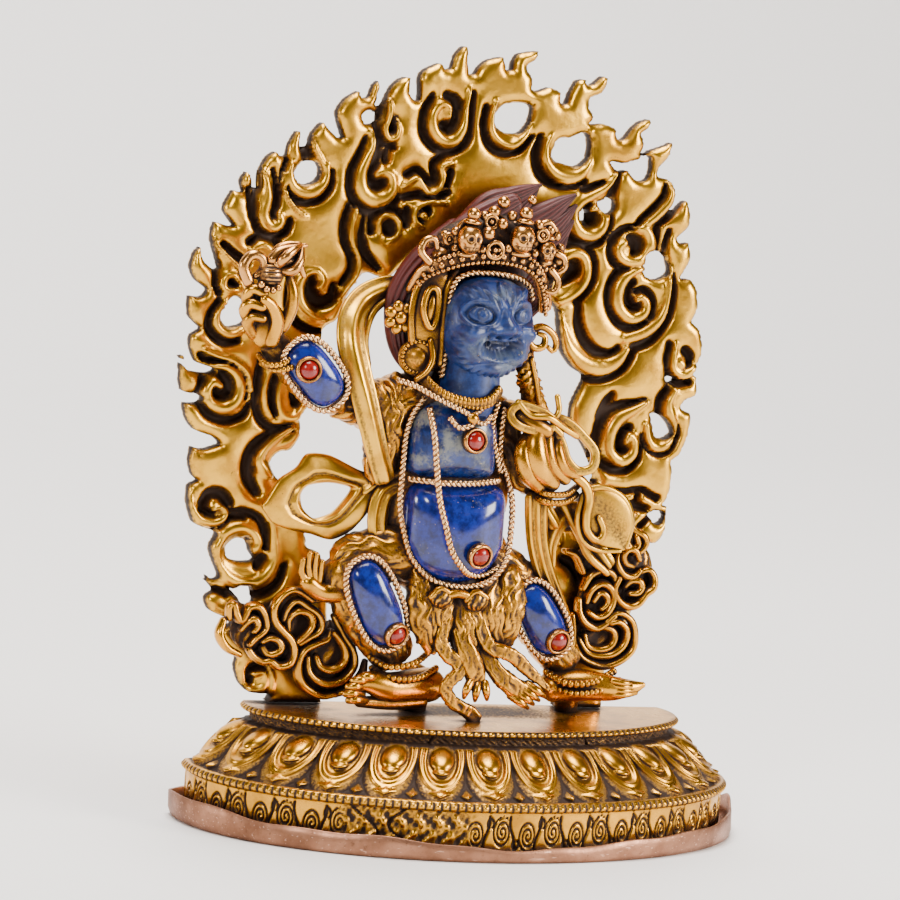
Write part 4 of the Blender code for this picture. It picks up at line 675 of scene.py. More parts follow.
# raised curls, each a run of (x, z, half width)
flameRibs = [
    [(-5.9, 104.4, .3), (-6.3, 101.5, .5), (-6.4, 99, .8), (-7.6, 97, 1), (-9.2, 96.8, 1),
        (-10.7, 98.2, .9), (-11.1, 100.3, .8), (-10.2, 101.9, .7), (-8.9, 101.6, .6), (-8.8, 100.3, .55)],
    [(-1.8, 103, .3), (-2.3, 101, .45), (-2.1, 98.8, .6), (-.9, 97.3, .8), (1, 96.8, .8), (2.6, 98, .7),
        (3.4, 100, .5), (3.6, 102.6, .35)],
    [(7, 98.7, .3), (6.3, 97, .5), (6.6, 94.8, .8), (8.2, 93.2, 1.1), (10, 92.8, 1.2), (11.8, 93.3, 1),
        (12.8, 94.8, .7), (13, 96.8, .5), (12.9, 99.5, .3)],
    [(17.4, 93.8, .3), (16, 91.8, .6), (13.5, 90.2, .8), (11.9, 89, .9), (11.6, 87, .9), (12.6, 85.2, 1),
        (14.6, 84.8, 1), (16, 86, .9), (16.2, 87.8, .8), (15.2, 88.8, .7), (14, 88.5, .5)],
    [(26.1, 92.8, .4), (26.1, 90.6, .7), (24.4, 88.4, .8), (22.8, 87, .7)],
    [(21.2, 86.2, .3), (22.8, 85.9, .8), (23.6, 84, 1), (22.8, 82, .9), (21, 81.3, .9), (19.3, 81.8, .9),
        (18.7, 83.2, .8), (19.6, 84, .6)],
    [(22.9, 80.4, .3), (21.5, 80, .6), (19.8, 78.6, 1), (19.2, 76.4, 1.1), (19.8, 74.4, 1.1),
        (21.6, 73.2, 1), (23.4, 73.9, .9), (23.8, 75.4, .8), (22.9, 76.4, .6), (22.2, 75.9, .4)],
    [(27, 81, .4), (27, 77, .5), (26.2, 73.6, .8), (24, 71.4, 1), (21, 70.3, .9)],
    [(10, 79.2, .4), (10.4, 81.2, .8), (12, 82.2, .9), (13.6, 81.6, .9), (14.2, 79.6, .9), (13.6, 77.6, .9),
        (12, 76, .8), (10, 75, .7)],
    [(10.4, 73.6, .6), (11, 70.8, 1.1), (12.6, 68.2, 1.3), (15, 66.4, 1.4), (17.8, 66, 1.4), (20, 67, 1.1),
        (21.3, 68.8, .6)],
    [(28.9, 70, .3), (28.7, 68, .5), (29, 66.2, .7), (30.4, 65.4, .8), (32, 66.2, .8)],
    [(29.6, 67.4, .6), (30.1, 66.9, .8)],
    [(29.6, 63.4, .3), (28.6, 61.5, .7), (29, 59.4, 1), (29.5, 57.6, .9), (28.6, 55.2, .8), (27, 54.8, .8),
        (25.9, 56, .7), (25.4, 58, .6)],
    [(25, 61.2, .4), (23.2, 60, .8), (21, 58.6, 1.1), (19.9, 56.2, 1.1), (20.2, 53.8, 1), (22, 52.6, 1),
        (23.6, 53.6, .9), (23.8, 55.4, .8), (22.9, 56.4, .7), (22.4, 55.4, .5)],
    [(-19.9, 97.8, .15), (-19.6, 95.6, .5), (-20.4, 93.6, .8), (-21, 91.4, 1), (-20.6, 89.2, 1.2),
        (-19, 88, 1.3), (-17.2, 88.3, 1.1), (-16.2, 89.6, .9), (-16.5, 91.4, .8), (-17.8, 92, .7),
        (-18.7, 91.6, .6)],
    [(-26.1, 92.4, .4), (-26.2, 90.4, .8), (-27.4, 88.8, 1), (-29.2, 88.4, 1), (-30.8, 89.2, .9),
        (-31.5, 91, .7), (-31.3, 92.4, .4)],
    [(-28.8, 97, .25), (-28.2, 94.8, .35), (-27, 93, .4), (-26.3, 91.6, .5)],
    [(-35.2, 91.4, .2), (-34.7, 89.4, .5), (-34.4, 87.4, .9), (-34.8, 85.2, 1), (-34.2, 83.8, 1),
        (-33, 83.4, .9), (-32.2, 84.3, .8), (-32.6, 85.2, .6)],
    [(-32.2, 91, .25), (-31.9, 88.4, .3), (-30.4, 86.3, .3), (-28.6, 85, .3)],
    [(-42.4, 82, .25), (-41.2, 80.4, .3), (-39.4, 78.9, .3), (-37, 77, .35)],
    [(-36, 80.2, .5), (-34.6, 80.8, .8), (-33.4, 80, .8), (-32.8, 79, .6)],
    [(-21.2, 86.6, .3), (-21.8, 84, .4), (-21.4, 81.6, .4), (-20.3, 79.6, .4), (-20.4, 77.4, .4),
        (-21.6, 75.6, .4), (-22.6, 74, .3)],
    [(-17.6, 83.6, .3), (-17.9, 85, .35), (-17, 86, .4), (-15.4, 85.6, .4), (-14.7, 84.4, .4),
        (-15.2, 83, .4), (-16.4, 82.3, .35)],
    [(-14.6, 90.2, .4), (-12.8, 91.4, .5), (-11.8, 90.4, .5), (-10.8, 89.4, .5), (-9.4, 90, .5),
        (-8.8, 91.8, .5), (-9.2, 93.2, .5), (-7.6, 93.9, .4)],
    [(-8, 88.2, .3), (-10.4, 88.2, .45), (-12.4, 87.2, .5), (-12.6, 85.6, .5), (-11.4, 84.6, .4)],
    [(-11.4, 86.2, .7), (-11.2, 86.1, .7)],
    [(-18, 102.8, .2), (-17.4, 101, .4), (-17.6, 99.4, .5), (-18, 98, .5), (-17.4, 96.7, .5),
        (-16.4, 96.8, .5), (-16, 98, .4), (-16.6, 99.6, .2)],
    [(-39.2, 72.8, .3), (-40.4, 71, .5), (-40.2, 69.2, .6), (-38.6, 68.2, .7), (-37, 68.6, .6),
        (-36.3, 70, .5)],
    [(-37.8, 75.6, .3), (-38.4, 76.4, .5), (-39.5, 76.2, .6), (-39.9, 75, .6), (-39.2, 74.3, .5),
        (-38, 74.4, .4)],
    [(-24.4, 70.6, .3), (-26.6, 71.4, .8), (-28.4, 73, 1), (-28.9, 75.4, 1), (-28, 77.2, .8),
        (-26.5, 77.6, .6), (-25.5, 76.5, .6), (-25.9, 75.4, .6)],
    [(-42, 66, .3), (-40, 65.2, .5), (-37.6, 64.6, .5), (-35.4, 63, .5), (-34.7, 60.6, .5)],
    [(-41, 63.5, .3), (-39, 63.7, .6), (-37.2, 62.9, .8), (-36.2, 61.2, .9), (-36.6, 59, 1),
        (-38.2, 57.9, 1), (-40.2, 58.4, .9), (-41, 60, .8), (-40.2, 61.5, .7), (-39.2, 61, .6)],
    [(-31.7, 64.4, .3), (-32.7, 61.4, .5), (-32.4, 58.6, .5), (-31.4, 56.9, .4)],
    [(-30.2, 62.6, .4), (-30.6, 60, .5), (-30, 57.6, .7), (-28.8, 56.9, .8), (-27.6, 57.2, .7),
        (-26.8, 58.6, .6)],
    [(-28, 55.6, .3), (-30, 54.2, .5), (-31.8, 52.6, .6), (-32.6, 50.8, .8), (-31.8, 49.4, 1),
        (-30.9, 48.6, .5)],
    [(-38.8, 43.6, .3), (-38, 44, .4), (-37, 43.4, .5), (-37.3, 42.4, .6), (-38.6, 41.8, .7),
        (-40.6, 42.2, .8), (-42, 43.6, .7), (-42.4, 45.6, .4)],
    [(-30.2, 44, .4), (-29.6, 40, .8), (-29.2, 36.6, 1), (-30.6, 34.2, 1.1), (-33, 33.2, 1.1),
        (-35.6, 34, 1.1), (-37.6, 35.8, 1), (-38, 38.2, 1), (-36.8, 40.4, 1), (-34.6, 41.3, 1),
        (-32.6, 40.6, .9), (-31.8, 39, .8), (-32.6, 38, .7), (-33.4, 38.3, .5)],
    [(-32.4, 18.2, .6), (-30.4, 18, .8), (-29.2, 19.2, .7), (-29.6, 20.8, .6), (-30.8, 20.6, .5)],
    [(-28.4, 17.2, .3), (-28.2, 20, .4), (-29, 22, .4)],
    [(12.9, 48, .7), (13, 44, .8), (13.4, 40.6, .8)], [(17.2, 66.9, .3), (19.2, 66.2, .3)],
]
# sunk hollows, darkened with dirt and painted shade, in the same form
flamePits = [
    [(-5.2, 103.6, .4), (-5.3, 100, .4), (-5.6, 97, .5), (-7.4, 95.5, .5), (-10, 95.6, .5),
        (-12.2, 97.6, .5), (-12.4, 100.6, .5), (-11.3, 103, .4)],
    [(-9.2, 103.2, .5), (-7.6, 102.4, .7), (-7.3, 100, .8), (-8, 98.6, .7), (-9.3, 98.9, .6)],
    [(-3.1, 102, .3), (-3.3, 99.4, .5), (-2.4, 96.8, .5), (-.4, 95.7, .5), (2.4, 96.2, .4), (4.2, 98.2, .3)],
    [(5.4, 98.3, .4), (4.9, 96, .6), (5.6, 93.4, .6), (7.4, 92, .6), (10, 91.6, .5), (12.6, 92.2, .5)],
    [(17.6, 93.4, .5), (17.2, 91, .7), (16.8, 88.6, .6), (17.2, 86, .4), (16, 84, .5), (14, 83.4, .5),
        (12, 83.6, .5), (10.8, 85, .3)],
    [(13.4, 88.6, .8), (14.4, 87.2, .9), (13.6, 86.6, .6)],
    [(16.6, 92.6, .3), (14.4, 91.8, .5), (12.4, 91.2, .3)],
    [(25.4, 92.6, .25), (25, 90.8, .4), (23.2, 88.8, .4), (21.6, 87.2, .35), (21.1, 86.2, .25)],
    [(20.6, 84.6, .8), (21.7, 83.9, 1), (21.3, 82.8, .6)],
    [(21.5, 86.4, .3), (19.5, 86, .5), (18, 84.8, .6), (17.6, 83, .6), (18.2, 81.2, .5), (20, 80.4, .4),
        (21.8, 80.6, .3)],
    [(21.6, 78.4, .5), (20.9, 76.8, .6), (21.4, 75, .6), (22.4, 74.8, .4)],
    [(22.4, 77.2, .5), (23.6, 77.2, .6), (24.8, 75.8, .5), (24.6, 73.8, .5)],
    [(20.6, 80.9, .4), (18.9, 79.6, .6), (18, 77, .7), (18.3, 74.5, .6), (19.8, 72.4, .5), (22, 71.9, .5),
        (24, 72.6, .4)],
    [(26.5, 86, .4), (26.1, 84, .5), (26.6, 81.5, .3), (27.6, 79, .5), (27.9, 76.4, .5), (27.4, 73.6, .6),
        (26, 71.2, .6), (24.4, 69.8, .6), (22.4, 69, .5)],
    [(24.4, 86.4, .5), (24.4, 84.4, .6), (24.6, 83.4, .5)], [(27.2, 89.4, .3), (26, 88, .5), (24.6, 87, .4)],
    [(11.4, 80.6, .6), (12.3, 79.8, .9), (11.6, 78.6, .7), (10.6, 77.8, .4)],
    [(11, 83.2, .3), (13.6, 83.3, .4), (15.2, 81.4, .4), (15.4, 79, .5), (14.6, 77, .5), (13, 75.2, .4)],
    [(14.6, 64.6, .4), (16.6, 64.3, .55), (18.6, 64.6, .6), (20.8, 65.8, .6), (22, 67.4, .5),
        (22.6, 68.8, .4)],
    [(13.4, 75, .4), (13.6, 72.6, .65), (14.3, 70.6, .75), (15.6, 68.9, .75), (17.4, 68, .65), (19, 68, .5),
        (20, 68.9, .3)],
    [(30.6, 69, .6), (31.5, 68, .6), (31, 66.8, .4)], [(28, 70, .3), (27.9, 67.6, .5), (28.4, 65.6, .5)],
    [(28.8, 64.6, .4), (30.2, 64.3, .5), (31.8, 64.4, .45)],
    [(28.4, 63.4, .4), (27.4, 61.8, .6), (27.4, 60, .5)],
    [(28.9, 60.6, .15), (29.6, 59, .2), (30.6, 57.2, .22), (29.8, 54.6, .22), (28, 53.7, .22),
        (26.2, 54.4, .22), (25.1, 56, .25), (25.2, 57.8, .2)],
    [(22.8, 57.4, .6), (21.5, 56.2, .6), (21.4, 54.6, .5), (22.5, 54, .4)],
    [(25, 61.5, .25), (22.8, 60.8, .6), (20.6, 60.2, .9), (18.8, 58.6, 1), (18.2, 55.5, .8),
        (18.9, 52.6, .7), (20.6, 51.4, .6), (23, 51.3, .5), (24.6, 52.8, .4), (25, 55, .3)],
    [(19.8, 62.2, .4), (19.2, 60.8, .9), (18.3, 59, .7)], [(17.5, 56, .4), (17.8, 52, .5), (18.7, 49.4, .5)],
    [(20.2, 48.3, .4), (23, 48.2, .4), (25.5, 48.6, .4), (27, 47.9, .4), (28.2, 47.4, .5)],
    [(22.8, 45.8, .4), (24.4, 46.2, .7), (26.6, 45.8, .5)],
    [(25.2, 48, .4), (24.8, 45.6, .5), (24, 44.4, .4)], [(27.4, 44.8, .4), (25.8, 43.2, .4)],
    [(-18.6, 95.8, .5), (-18.4, 94.2, .8), (-19.2, 92.6, .5), (-19.8, 91, .6), (-18.8, 90, .7),
        (-17.6, 90.4, .5)], [(-17.2, 95, .5), (-17.4, 93.6, .6)],
    [(-20.6, 96.6, .25), (-21.6, 94, .4), (-22.5, 91.6, .55), (-22.3, 88.8, .55), (-20.8, 86.8, .55),
        (-18.6, 86.2, .55), (-16.4, 86.9, .5), (-15.1, 88.6, .4)],
    [(-29.6, 95.8, .5), (-28.9, 93.8, .9)],
    [(-31.9, 92.6, .3), (-32.3, 90.6, .4), (-31.5, 88.4, .5), (-29.4, 87.2, .55), (-27, 87.5, .5),
        (-25.4, 89.4, .5), (-25.3, 91.6, .3)],
    [(-35.6, 91, .3), (-35.9, 88.8, .4), (-36.3, 86.6, .5), (-36, 84.2, .5), (-35, 82.5, .5),
        (-33.2, 82, .55), (-31.3, 82.8, .5), (-30.8, 84.4, .4)],
    [(-33.9, 91.4, .2), (-33.3, 89.6, .3), (-33, 87.6, .5), (-33.3, 85.9, .6), (-33.4, 84.8, .3)],
    [(-37, 88.4, .4), (-36.9, 86.4, .35), (-36.5, 84.6, .3)],
    [(-40.2, 80.7, .3), (-38.6, 79.3, .5), (-36.6, 78.2, .5)],
    [(-36.4, 81.2, .5), (-35, 82.2, .4), (-33, 81.8, .5), (-32, 80.4, .4)],
    [(-22.3, 87, .4), (-22.9, 84.5, .45), (-22.6, 82, .45), (-21.5, 80, .4), (-21.4, 78, .35),
        (-22.6, 76, .3)], [(-19.9, 85.6, .3), (-20.1, 83, .5), (-19.5, 80.6, .6), (-18.2, 79.2, .5),
        (-17.2, 78.4, .3)],
    [(-16.3, 84.4, .8), (-16.2, 83.9, .8)],
    [(-18.8, 83.4, .4), (-18.9, 85.4, .4), (-17.6, 87, .4), (-15.4, 86.8, .4), (-13.9, 85.6, .4)],
    [(-14.2, 88.6, .5), (-12, 89.1, .5), (-9.8, 88.8, .45), (-7.8, 89.6, .4)],
    [(-13.8, 87, .4), (-13.6, 84.6, .4)], [(-11.8, 86, .9), (-10.8, 86.8, .7)],
    [(-14.2, 91.8, .4), (-12.6, 92.6, .4), (-10.9, 91, .5), (-10, 91.4, .5), (-10.4, 93.6, .4),
        (-8.8, 95, .4)], [(-7.6, 92.6, .4), (-8, 90.6, .4)],
    [(-16.7, 99.4, .45), (-17, 98.1, .5)],
    [(-18.7, 103, .2), (-18.5, 100.4, .5), (-19, 98.2, .5), (-18.2, 96, .5), (-16.4, 95.6, .5)],
    [(-40.2, 72.9, .35), (-41.4, 70.6, .45), (-41.1, 68.4, .5), (-39, 67, .5), (-37, 67.4, .4)],
    [(-38.6, 75.4, .5), (-38, 75.2, .4)], [(-40.8, 77.8, .4), (-41, 75.6, .45), (-40.3, 73.8, .4)],
    [(-37.4, 77.4, .4), (-36.4, 75.6, .4)],
    [(-27, 76.3, .4), (-26.9, 74.6, .8), (-25.6, 73.2, .9), (-23.8, 73.8, .8), (-23.6, 75.6, .5)],
    [(-30, 76.4, .4), (-30.1, 73, .5), (-29, 70.6, .5), (-27, 69.4, .5), (-25.2, 69.2, .3)],
    [(-42.3, 65.2, .3), (-41.4, 64.5, .35), (-39, 64.5, .35), (-36.8, 63.8, .35), (-35.5, 61.8, .4),
        (-35.6, 59.4, .4)],
    [(-38.8, 62.5, .6), (-37.7, 61.2, .7), (-38, 59.8, .7), (-39.3, 59.7, .5), (-39.8, 60.4, .3)],
    [(-41.7, 61.8, .5), (-42, 59.6, .5), (-41.2, 57.5, .5), (-39.6, 56.4, .5), (-37.4, 56.1, .5),
        (-35.5, 56.9, .5), (-34.6, 58.6, .4)],
    [(-33.4, 64.8, .5), (-33.9, 61, .5), (-33.6, 58, .5), (-32.4, 56, .5), (-30.6, 55.2, .5),
        (-28.4, 55.4, .5)], [(-31.3, 62.6, .3), (-31.7, 59.6, .35), (-31, 57.3, .4)],
    [(-28.3, 60.2, .5), (-27.9, 58.9, .5)],
    [(-29, 55, .5), (-31.2, 54.2, .7), (-33.2, 52.6, .9), (-34.1, 50.2, 1), (-33.8, 48, .9),
        (-32.6, 46.2, .6)],
    [(-40.2, 44.4, .7), (-39.4, 45.8, .7), (-37.6, 45.7, .8), (-36.4, 44.5, .6)],
    [(-40.3, 43.4, .6), (-39, 42.9, .4)],
    [(-36.2, 43.4, .3), (-34, 43.4, .5), (-32, 42.6, .5), (-31, 41, .5), (-30.6, 38.6, .5)],
    [(-35.4, 32.8, .4), (-33.4, 31.6, .6), (-30.4, 32, .6), (-28.4, 33.6, .5), (-27.6, 36, .4)],
    [(-31, 37, .6), (-31.6, 35.8, .5)], [(-32.8, 39.5, .5), (-33.8, 39, .6)],
    [(-31.4, 19.6, .5), (-31.3, 21.2, .6), (-30, 21.8, .4)],
    [(-38.4, 41.2, .4), (-36.4, 42.6, .4), (-34, 42.8, .4)], [(-37.4, 32.4, .4), (-35.8, 31.8, .5)],
    [(20.4, 30, .6), (22, 33, .6), (22.4, 37, .6)], [(14.6, 38, .6), (16.4, 37, .8), (17.4, 35, .6)],
]


# shortest distance from each grid point near a segment to it, and how far along it that is
def segmentDistance(x, z, a, b):
    run = b - a
    along = np.clip(((x - a[0]) * run[0] + (z - a[1]) * run[1]) / (run @ run + 1e-9), 0, 1)
    return np.hypot(x - a[0] - along * run[0], z - a[1] - along * run[1]), along


# the grid's rows and columns between a low and a high corner
def cellsBetween(xs, zs, low, high):
    pitch = plate["pitch"]
    spans = []
    for start, k in ((zs[0, 0], 1), (xs[0, 0], 0)):
        spans.append(slice(max(0, int((low[k] - start) / pitch)), int((high[k] - start) / pitch) + 2))
    return tuple(spans)


# for each stroke: shape(distance / half width, half width), the greatest kept, on the grid cells that it
# reaches
def paintStrokes(xs, zs, strokes, shape, moved, beyond=0.0):
    field = np.zeros_like(xs)
    for stroke in strokes:
        path = smoothPath(stroke, 3)
        path[:, :2] += moved
        for a, b in zip(path[:-1], path[1:]):
            reach = max(a[2], b[2]) * 1.25 + plate["pitch"] + beyond
            near = cellsBetween(xs, zs, np.minimum(a[:2], b[:2]) - reach, np.maximum(a[:2], b[:2]) + reach)
            distance, along = segmentDistance(xs[near], zs[near], a[:2], b[:2])
            width = a[2] + (b[2] - a[2]) * along
            field[near] = np.maximum(field[near], shape(distance / width, width))
    return field


# the outline smoothed, with the x of its outward normal: silhouettes show the back edge on the left and the
# front edge on the right, so each outline is moved in from both by it
def trueOutline(outline, steps):
    path = smoothPath(outline, steps, True, 0.36)
    run = np.roll(path, -1, 0) - np.roll(path, 1, 0)
    area = (path[:, 0] * np.roll(path[:, 1], -1) - np.roll(path[:, 0], -1) * path[:, 1]).sum()
    normalX = run[:, 1] / (np.hypot(run[:, 0], run[:, 1]) + 1e-9) * np.sign(area)
    return path, normalX


# signed distance to all outlines: the nearest segment gives its size, counting crossings along a row gives
# its sign
def signedDistance(xs, zs, loops, reach):
    x0, z0, pitch = xs[0, 0], zs[0, 0], plate["pitch"]
    distance = np.full(xs.shape, reach)
    inside = np.zeros(xs.shape, bool)
    for loop in loops:
        for a, b in zip(loop, np.roll(loop, -1, 0)):
            near = cellsBetween(xs, zs, np.minimum(a, b) - reach, np.maximum(a, b) + reach)
            distance[near] = np.minimum(distance[near], segmentDistance(xs[near], zs[near], a, b)[0])
            first = int(math.ceil((min(a[1], b[1]) - z0) / pitch - 1e-9))
            last = int(math.ceil((max(a[1], b[1]) - z0) / pitch - 1e-9))
            for row in range(max(first, 0), min(last, xs.shape[0])):
                crossing = a[0] + (zs[row, 0] - a[1]) * (b[0] - a[0]) / (b[1] - a[1])
                inside[row, max(0, int(math.ceil((crossing - x0) / pitch))):] ^= True
    return np.where(inside, distance, -distance)


# the plate as a grid of cells inside the outlines: a modelled front, a flat back and walls between their
# edges
def flamePlate():
    p = plate
    x = np.arange(p["left"], p["right"], p["pitch"])
    z = np.arange(p["bottom"], p["top"], p["pitch"])
    xs, zs = np.meshgrid(x, z)
    band = flameOutline + openingOutline
    loops = []
    for k, outline in enumerate([band] + throughHoles):
        path, normalX = trueOutline(outline, 4)
        way = 1 if k == 0 else -1
        lean = p["outlineLean"] * way * normalX
        loops.append(path + np.array(p["outlineShift"]) - np.column_stack([lean, 0 * lean]))
    signed = signedDistance(xs, zs, loops, p["farthest"])
    slopeZ, slopeX = np.gradient(signed, p["pitch"])
    steep = np.hypot(slopeX, slopeZ) + 1e-6
    kept = signed > -0.5 * p["pitch"]
    cells = kept[:-1, :-1] & kept[1:, :-1] & kept[:-1, 1:] & kept[1:, 1:]
    around = np.zeros(xs.shape, int)
    for i in (0, 1):
        for j in (0, 1):
            around[i : i + cells.shape[0], j : j + cells.shape[1]] += cells
    edge = (around > 0) & (around < 4)
    snap = edge | (np.abs(signed) < 0.4 * p["pitch"]) & (around > 0)
    move = np.clip(signed, -p["pitch"], p["pitch"]) / steep
    gridX = np.where(snap, xs - move * slopeX / steep, xs)
    gridZ = np.where(snap, zs - move * slopeZ / steep, zs)
    gridZ = np.maximum(gridZ, p["foot"])
    depth = np.clip(np.where(snap, np.minimum(signed, 0.08), signed), 0, None)
    moved = np.array(p["strokeShift"])
    ribs = paintStrokes(xs, zs, flameRibs, lambda s, w: np.where(s < 1, 0.25 + dome(s) * 1.0, 0), moved)
    pits = paintStrokes(xs, zs, flamePits, lambda s, w: np.clip((1.3 - s) * 1.25, 0, 1), moved, 0.2)
    edgeFall = -p["edgeDrop"] * (1 - dome(np.clip(1 - depth / p["edgeRound"], 0, 1)))
    swell = np.sin(xs / 2.9 + 1.2 * np.sin(zs / 4.1)) * np.cos(zs / 3.3 + 0.9 * np.sin(xs / 5.2))
    # the metal between the hollows swells like a cushion, falling off as it nears one
    nearPit = paintStrokes(xs, zs, flamePits, lambda s, w: np.clip(1 - (s - 1) * w / p["cushion"], 0, 1),
        moved, p["cushion"])
    height = edgeFall + p["swell"] * swell - p["cushionDrop"] * (1 - dome(nearPit))
    soft = pits * pits * (3 - 2 * pits)
    height = height - (p["pitDepth"] - p["cushionDrop"]) * soft
    ribTop = np.where(ribs > 0,
        p["ribFoot"] + (p["ribRise"] - p["ribFoot"]) * np.clip(ribs - 0.25, 0, 1) ** 0.8, -9)
    height = np.maximum(height, np.minimum(ribTop, edgeFall + 0.6))
    pocks = np.sin(xs * 5.1 + 2 * np.sin(zs * 1.7)) * np.sin(zs * 4.7 + 2 * np.sin(xs * 1.9))
    height = height - 0.05 * np.clip(pocks, 0.4, 1)
    # darker in the hollows and down the flanks of the ribs, as dirt and painted shade; the edge cells half
    # dark
    dirtAndShade = np.clip(0.85 * soft**1.6 - np.clip(ribs * 1.3, 0, 1), 0, 1)
    dirtAndShade = np.maximum(dirtAndShade, np.where(ribs > 0.2, np.clip(0.75 - ribs, 0, 0.5), 0))
    dirtAndShade = np.where(edge, 0.45, dirtAndShade)
    index = np.cumsum((around > 0).ravel()).reshape(xs.shape) - 1
    use = around > 0
    count = int(use.sum())
    front = np.column_stack([gridX[use], (p["front"] - height)[use], gridZ[use]])
    backFall = 0.5 * (1 - dome(np.clip(1 - depth / 0.6, 0, 1)))
    rear = np.column_stack([gridX[use], (p["back"] - backFall + 0.12 * swell)[use], gridZ[use]])
    rows, columns = np.nonzero(cells)
    corners = [index[rows, columns], index[rows, columns + 1], index[rows + 1, columns + 1],
        index[rows + 1, columns]]
    quads = np.column_stack(corners)
    sides = []
    padded = np.pad(cells, 1)
    # a wall face stands on each cell edge that has a kept cell on one side only
    for rowStep, columnStep, start, end in ((-1, 0, 0, 1), (0, 1, 1, 2), (1, 0, 2, 3), (0, -1, 3, 0)):
        beside = padded[1 + rowStep : 1 + rowStep + cells.shape[0],
            1 + columnStep : 1 + columnStep + cells.shape[1]]
        lone = ~beside[rows, columns]
        a, b = quads[lone, start], quads[lone, end]
        sides.append(np.column_stack([b, a, a + count, b + count]))
    # walls get their own middle row, so that the side stays dark between the two rounded edges, as painted
    # shade
    walls = np.vstack(sides)
    rim = np.unique(walls[:, :2])
    middleIndex = np.full(count, -1)
    middleIndex[rim] = 2 * count + np.arange(len(rim))
    middle = np.column_stack([front[rim, 0], 0.35 * front[rim, 1] + 0.65 * rear[rim, 1], front[rim, 2]])
    upper = np.column_stack([walls[:, 0], walls[:, 1], middleIndex[walls[:, 1]], middleIndex[walls[:, 0]]])
    lower = np.column_stack([middleIndex[walls[:, 0]], middleIndex[walls[:, 1]], walls[:, 2], walls[:, 3]])
    points = np.vstack([front, rear, middle])
    # the front by its marks, the back evenly a little darker, the wall middles nearly black as painted shade
    grimeAndShade = np.concatenate([dirtAndShade[use], np.full(count, 0.25), np.full(len(rim), 0.95)])
    return points, np.vstack([quads, quads[:, ::-1] + count, upper, lower]), noTriangles, grimeAndShade


makePiece("flame_plate", [flamePlate()], gilt["gilt_aureole"], ["flame_aureole"])


# Lotus base: the profile of the wall, rims, petals and waist carried round an oval cut flat at the back

base = {
    "backY": 3.6, "wallWidth": 39.9, "wallDepth": 25.8, "rimProud": 0.7, "footZ": 0.65, "wallTop": 6.7,
    "ledge": 8.0,
    "petalTop": 14.2, "petalInset": 7.2, "petals": 14, "topWidth": 32.85, "topDepth": 18.1, "topZ": 16.5,
    "columns": 820, "backColumns": 46, "beadPitch": 1.12, "curlPitch": 7.6,
}


# front of the oval in equal steps, from the back left corner round to the back right, then straight along
# the back
def ovalRing(width, depth, back, columns):
    corner = math.asin(back / depth)
    turn = np.linspace(-math.pi - corner, corner, 1441)
    path = np.column_stack([width * np.cos(turn), depth * np.sin(turn)])
    run = np.append(0, np.cumsum(np.linalg.norm(np.diff(path, axis=0), axis=1)))
    even = np.interp(np.linspace(0, run[-1], columns + 1), run, turn)
    points = np.column_stack([width * np.cos(even), depth * np.sin(even)])
    outward = np.column_stack([depth * np.cos(even), width * np.sin(even)])
    outward /= np.linalg.norm(outward, axis=1)[:, None]
    share = np.linspace(0, 1, base["backColumns"] + 2)[1:-1, None]
    straight = points[-1] + (points[0] - points[-1]) * share
    points = np.vstack([points, straight])
    outward = np.vstack([outward, np.tile([[0.0, 1.0]], (len(straight), 1))])
    return points, outward, run[-1]


# one petal over u (-0.5 to 0.5 across) and v (0 foot to 1 head): a swelling leaf with two ridges on each
# side, a round head with a lip bead, a faceted lobe at the foot and a small pyramid between lobes; the
# greatest height holds
def petalRelief(u, v):
    head = 2.25 * dome(np.hypot(u / 0.285, (v - 0.75) / 0.25))
    lip = 2.05 * dome(np.hypot(u / 0.20, (v - 0.545) / 0.10))
    inner = np.hypot(u / 0.37, (v - 0.80) / 0.50)
    outer = np.hypot(u / 0.47, (v - 0.84) / 0.66)
    ridges = 1.45 * np.exp(-(((inner - 0.97) / 0.13) ** 2)) + 1.15 * np.exp(-(((outer - 0.97) / 0.10) ** 2))
    leaf = 0.95 * dome(np.hypot(u / 0.5, (v - 0.5) / 0.58))
    lobe = 2.1 * np.clip(1 - np.abs(u) / 0.36 - np.abs(v - 0.14) / 0.17, 0, 0.75)
    pyramid = 1.5 * np.clip(1 - (0.5 - np.abs(u)) / 0.15 - np.abs(v - 0.10) / 0.13, 0, 1)
    relief = np.maximum.reduce([head, lip, ridges * (v < 0.97), leaf, lobe, pyramid])
    # darker where the relief is low, between the petal's forms: dirt and painted shade
    lowDirtAndShade = 0.85 * np.clip(1 - relief / 1.05, 0, 1)
    return relief, lowDirtAndShade


# curls cut into the wall, one up and one down in each pitch: a spiral line and an S stem between
def wallCurls(s, h):
    pitch = base["curlPitch"]
    cut = np.zeros_like(s)
    for flip in (0, 1):
        local = np.mod(s + flip * pitch / 2, pitch) - pitch / 2
        level = (h - 0.5) * 4.6 * (1 if flip == 0 else -1)
        wide = local * 1.25
        radius = np.hypot(wide, level + 0.2)
        angle = np.arctan2(level + 0.2, wide)
        line = np.mod(radius / 0.62 - angle / (2 * math.pi) + 0.5, 1) - 0.5
        cut = np.maximum(cut, np.exp(-((line / 0.17) ** 2)) * (radius < 1.75) * (radius > 0.2))
        stem = wide - 1.9 - 0.55 * np.sin(level * 1.1)
        cut = np.maximum(cut, np.exp(-((stem / 0.22) ** 2)) * (np.abs(level) < 2.0))
        hook = np.hypot(wide - 2.6, level - 1.1)
        cut = np.maximum(cut, np.exp(-(((hook - 0.55) / 0.16) ** 2)) * (level > 0.7))
    return cut


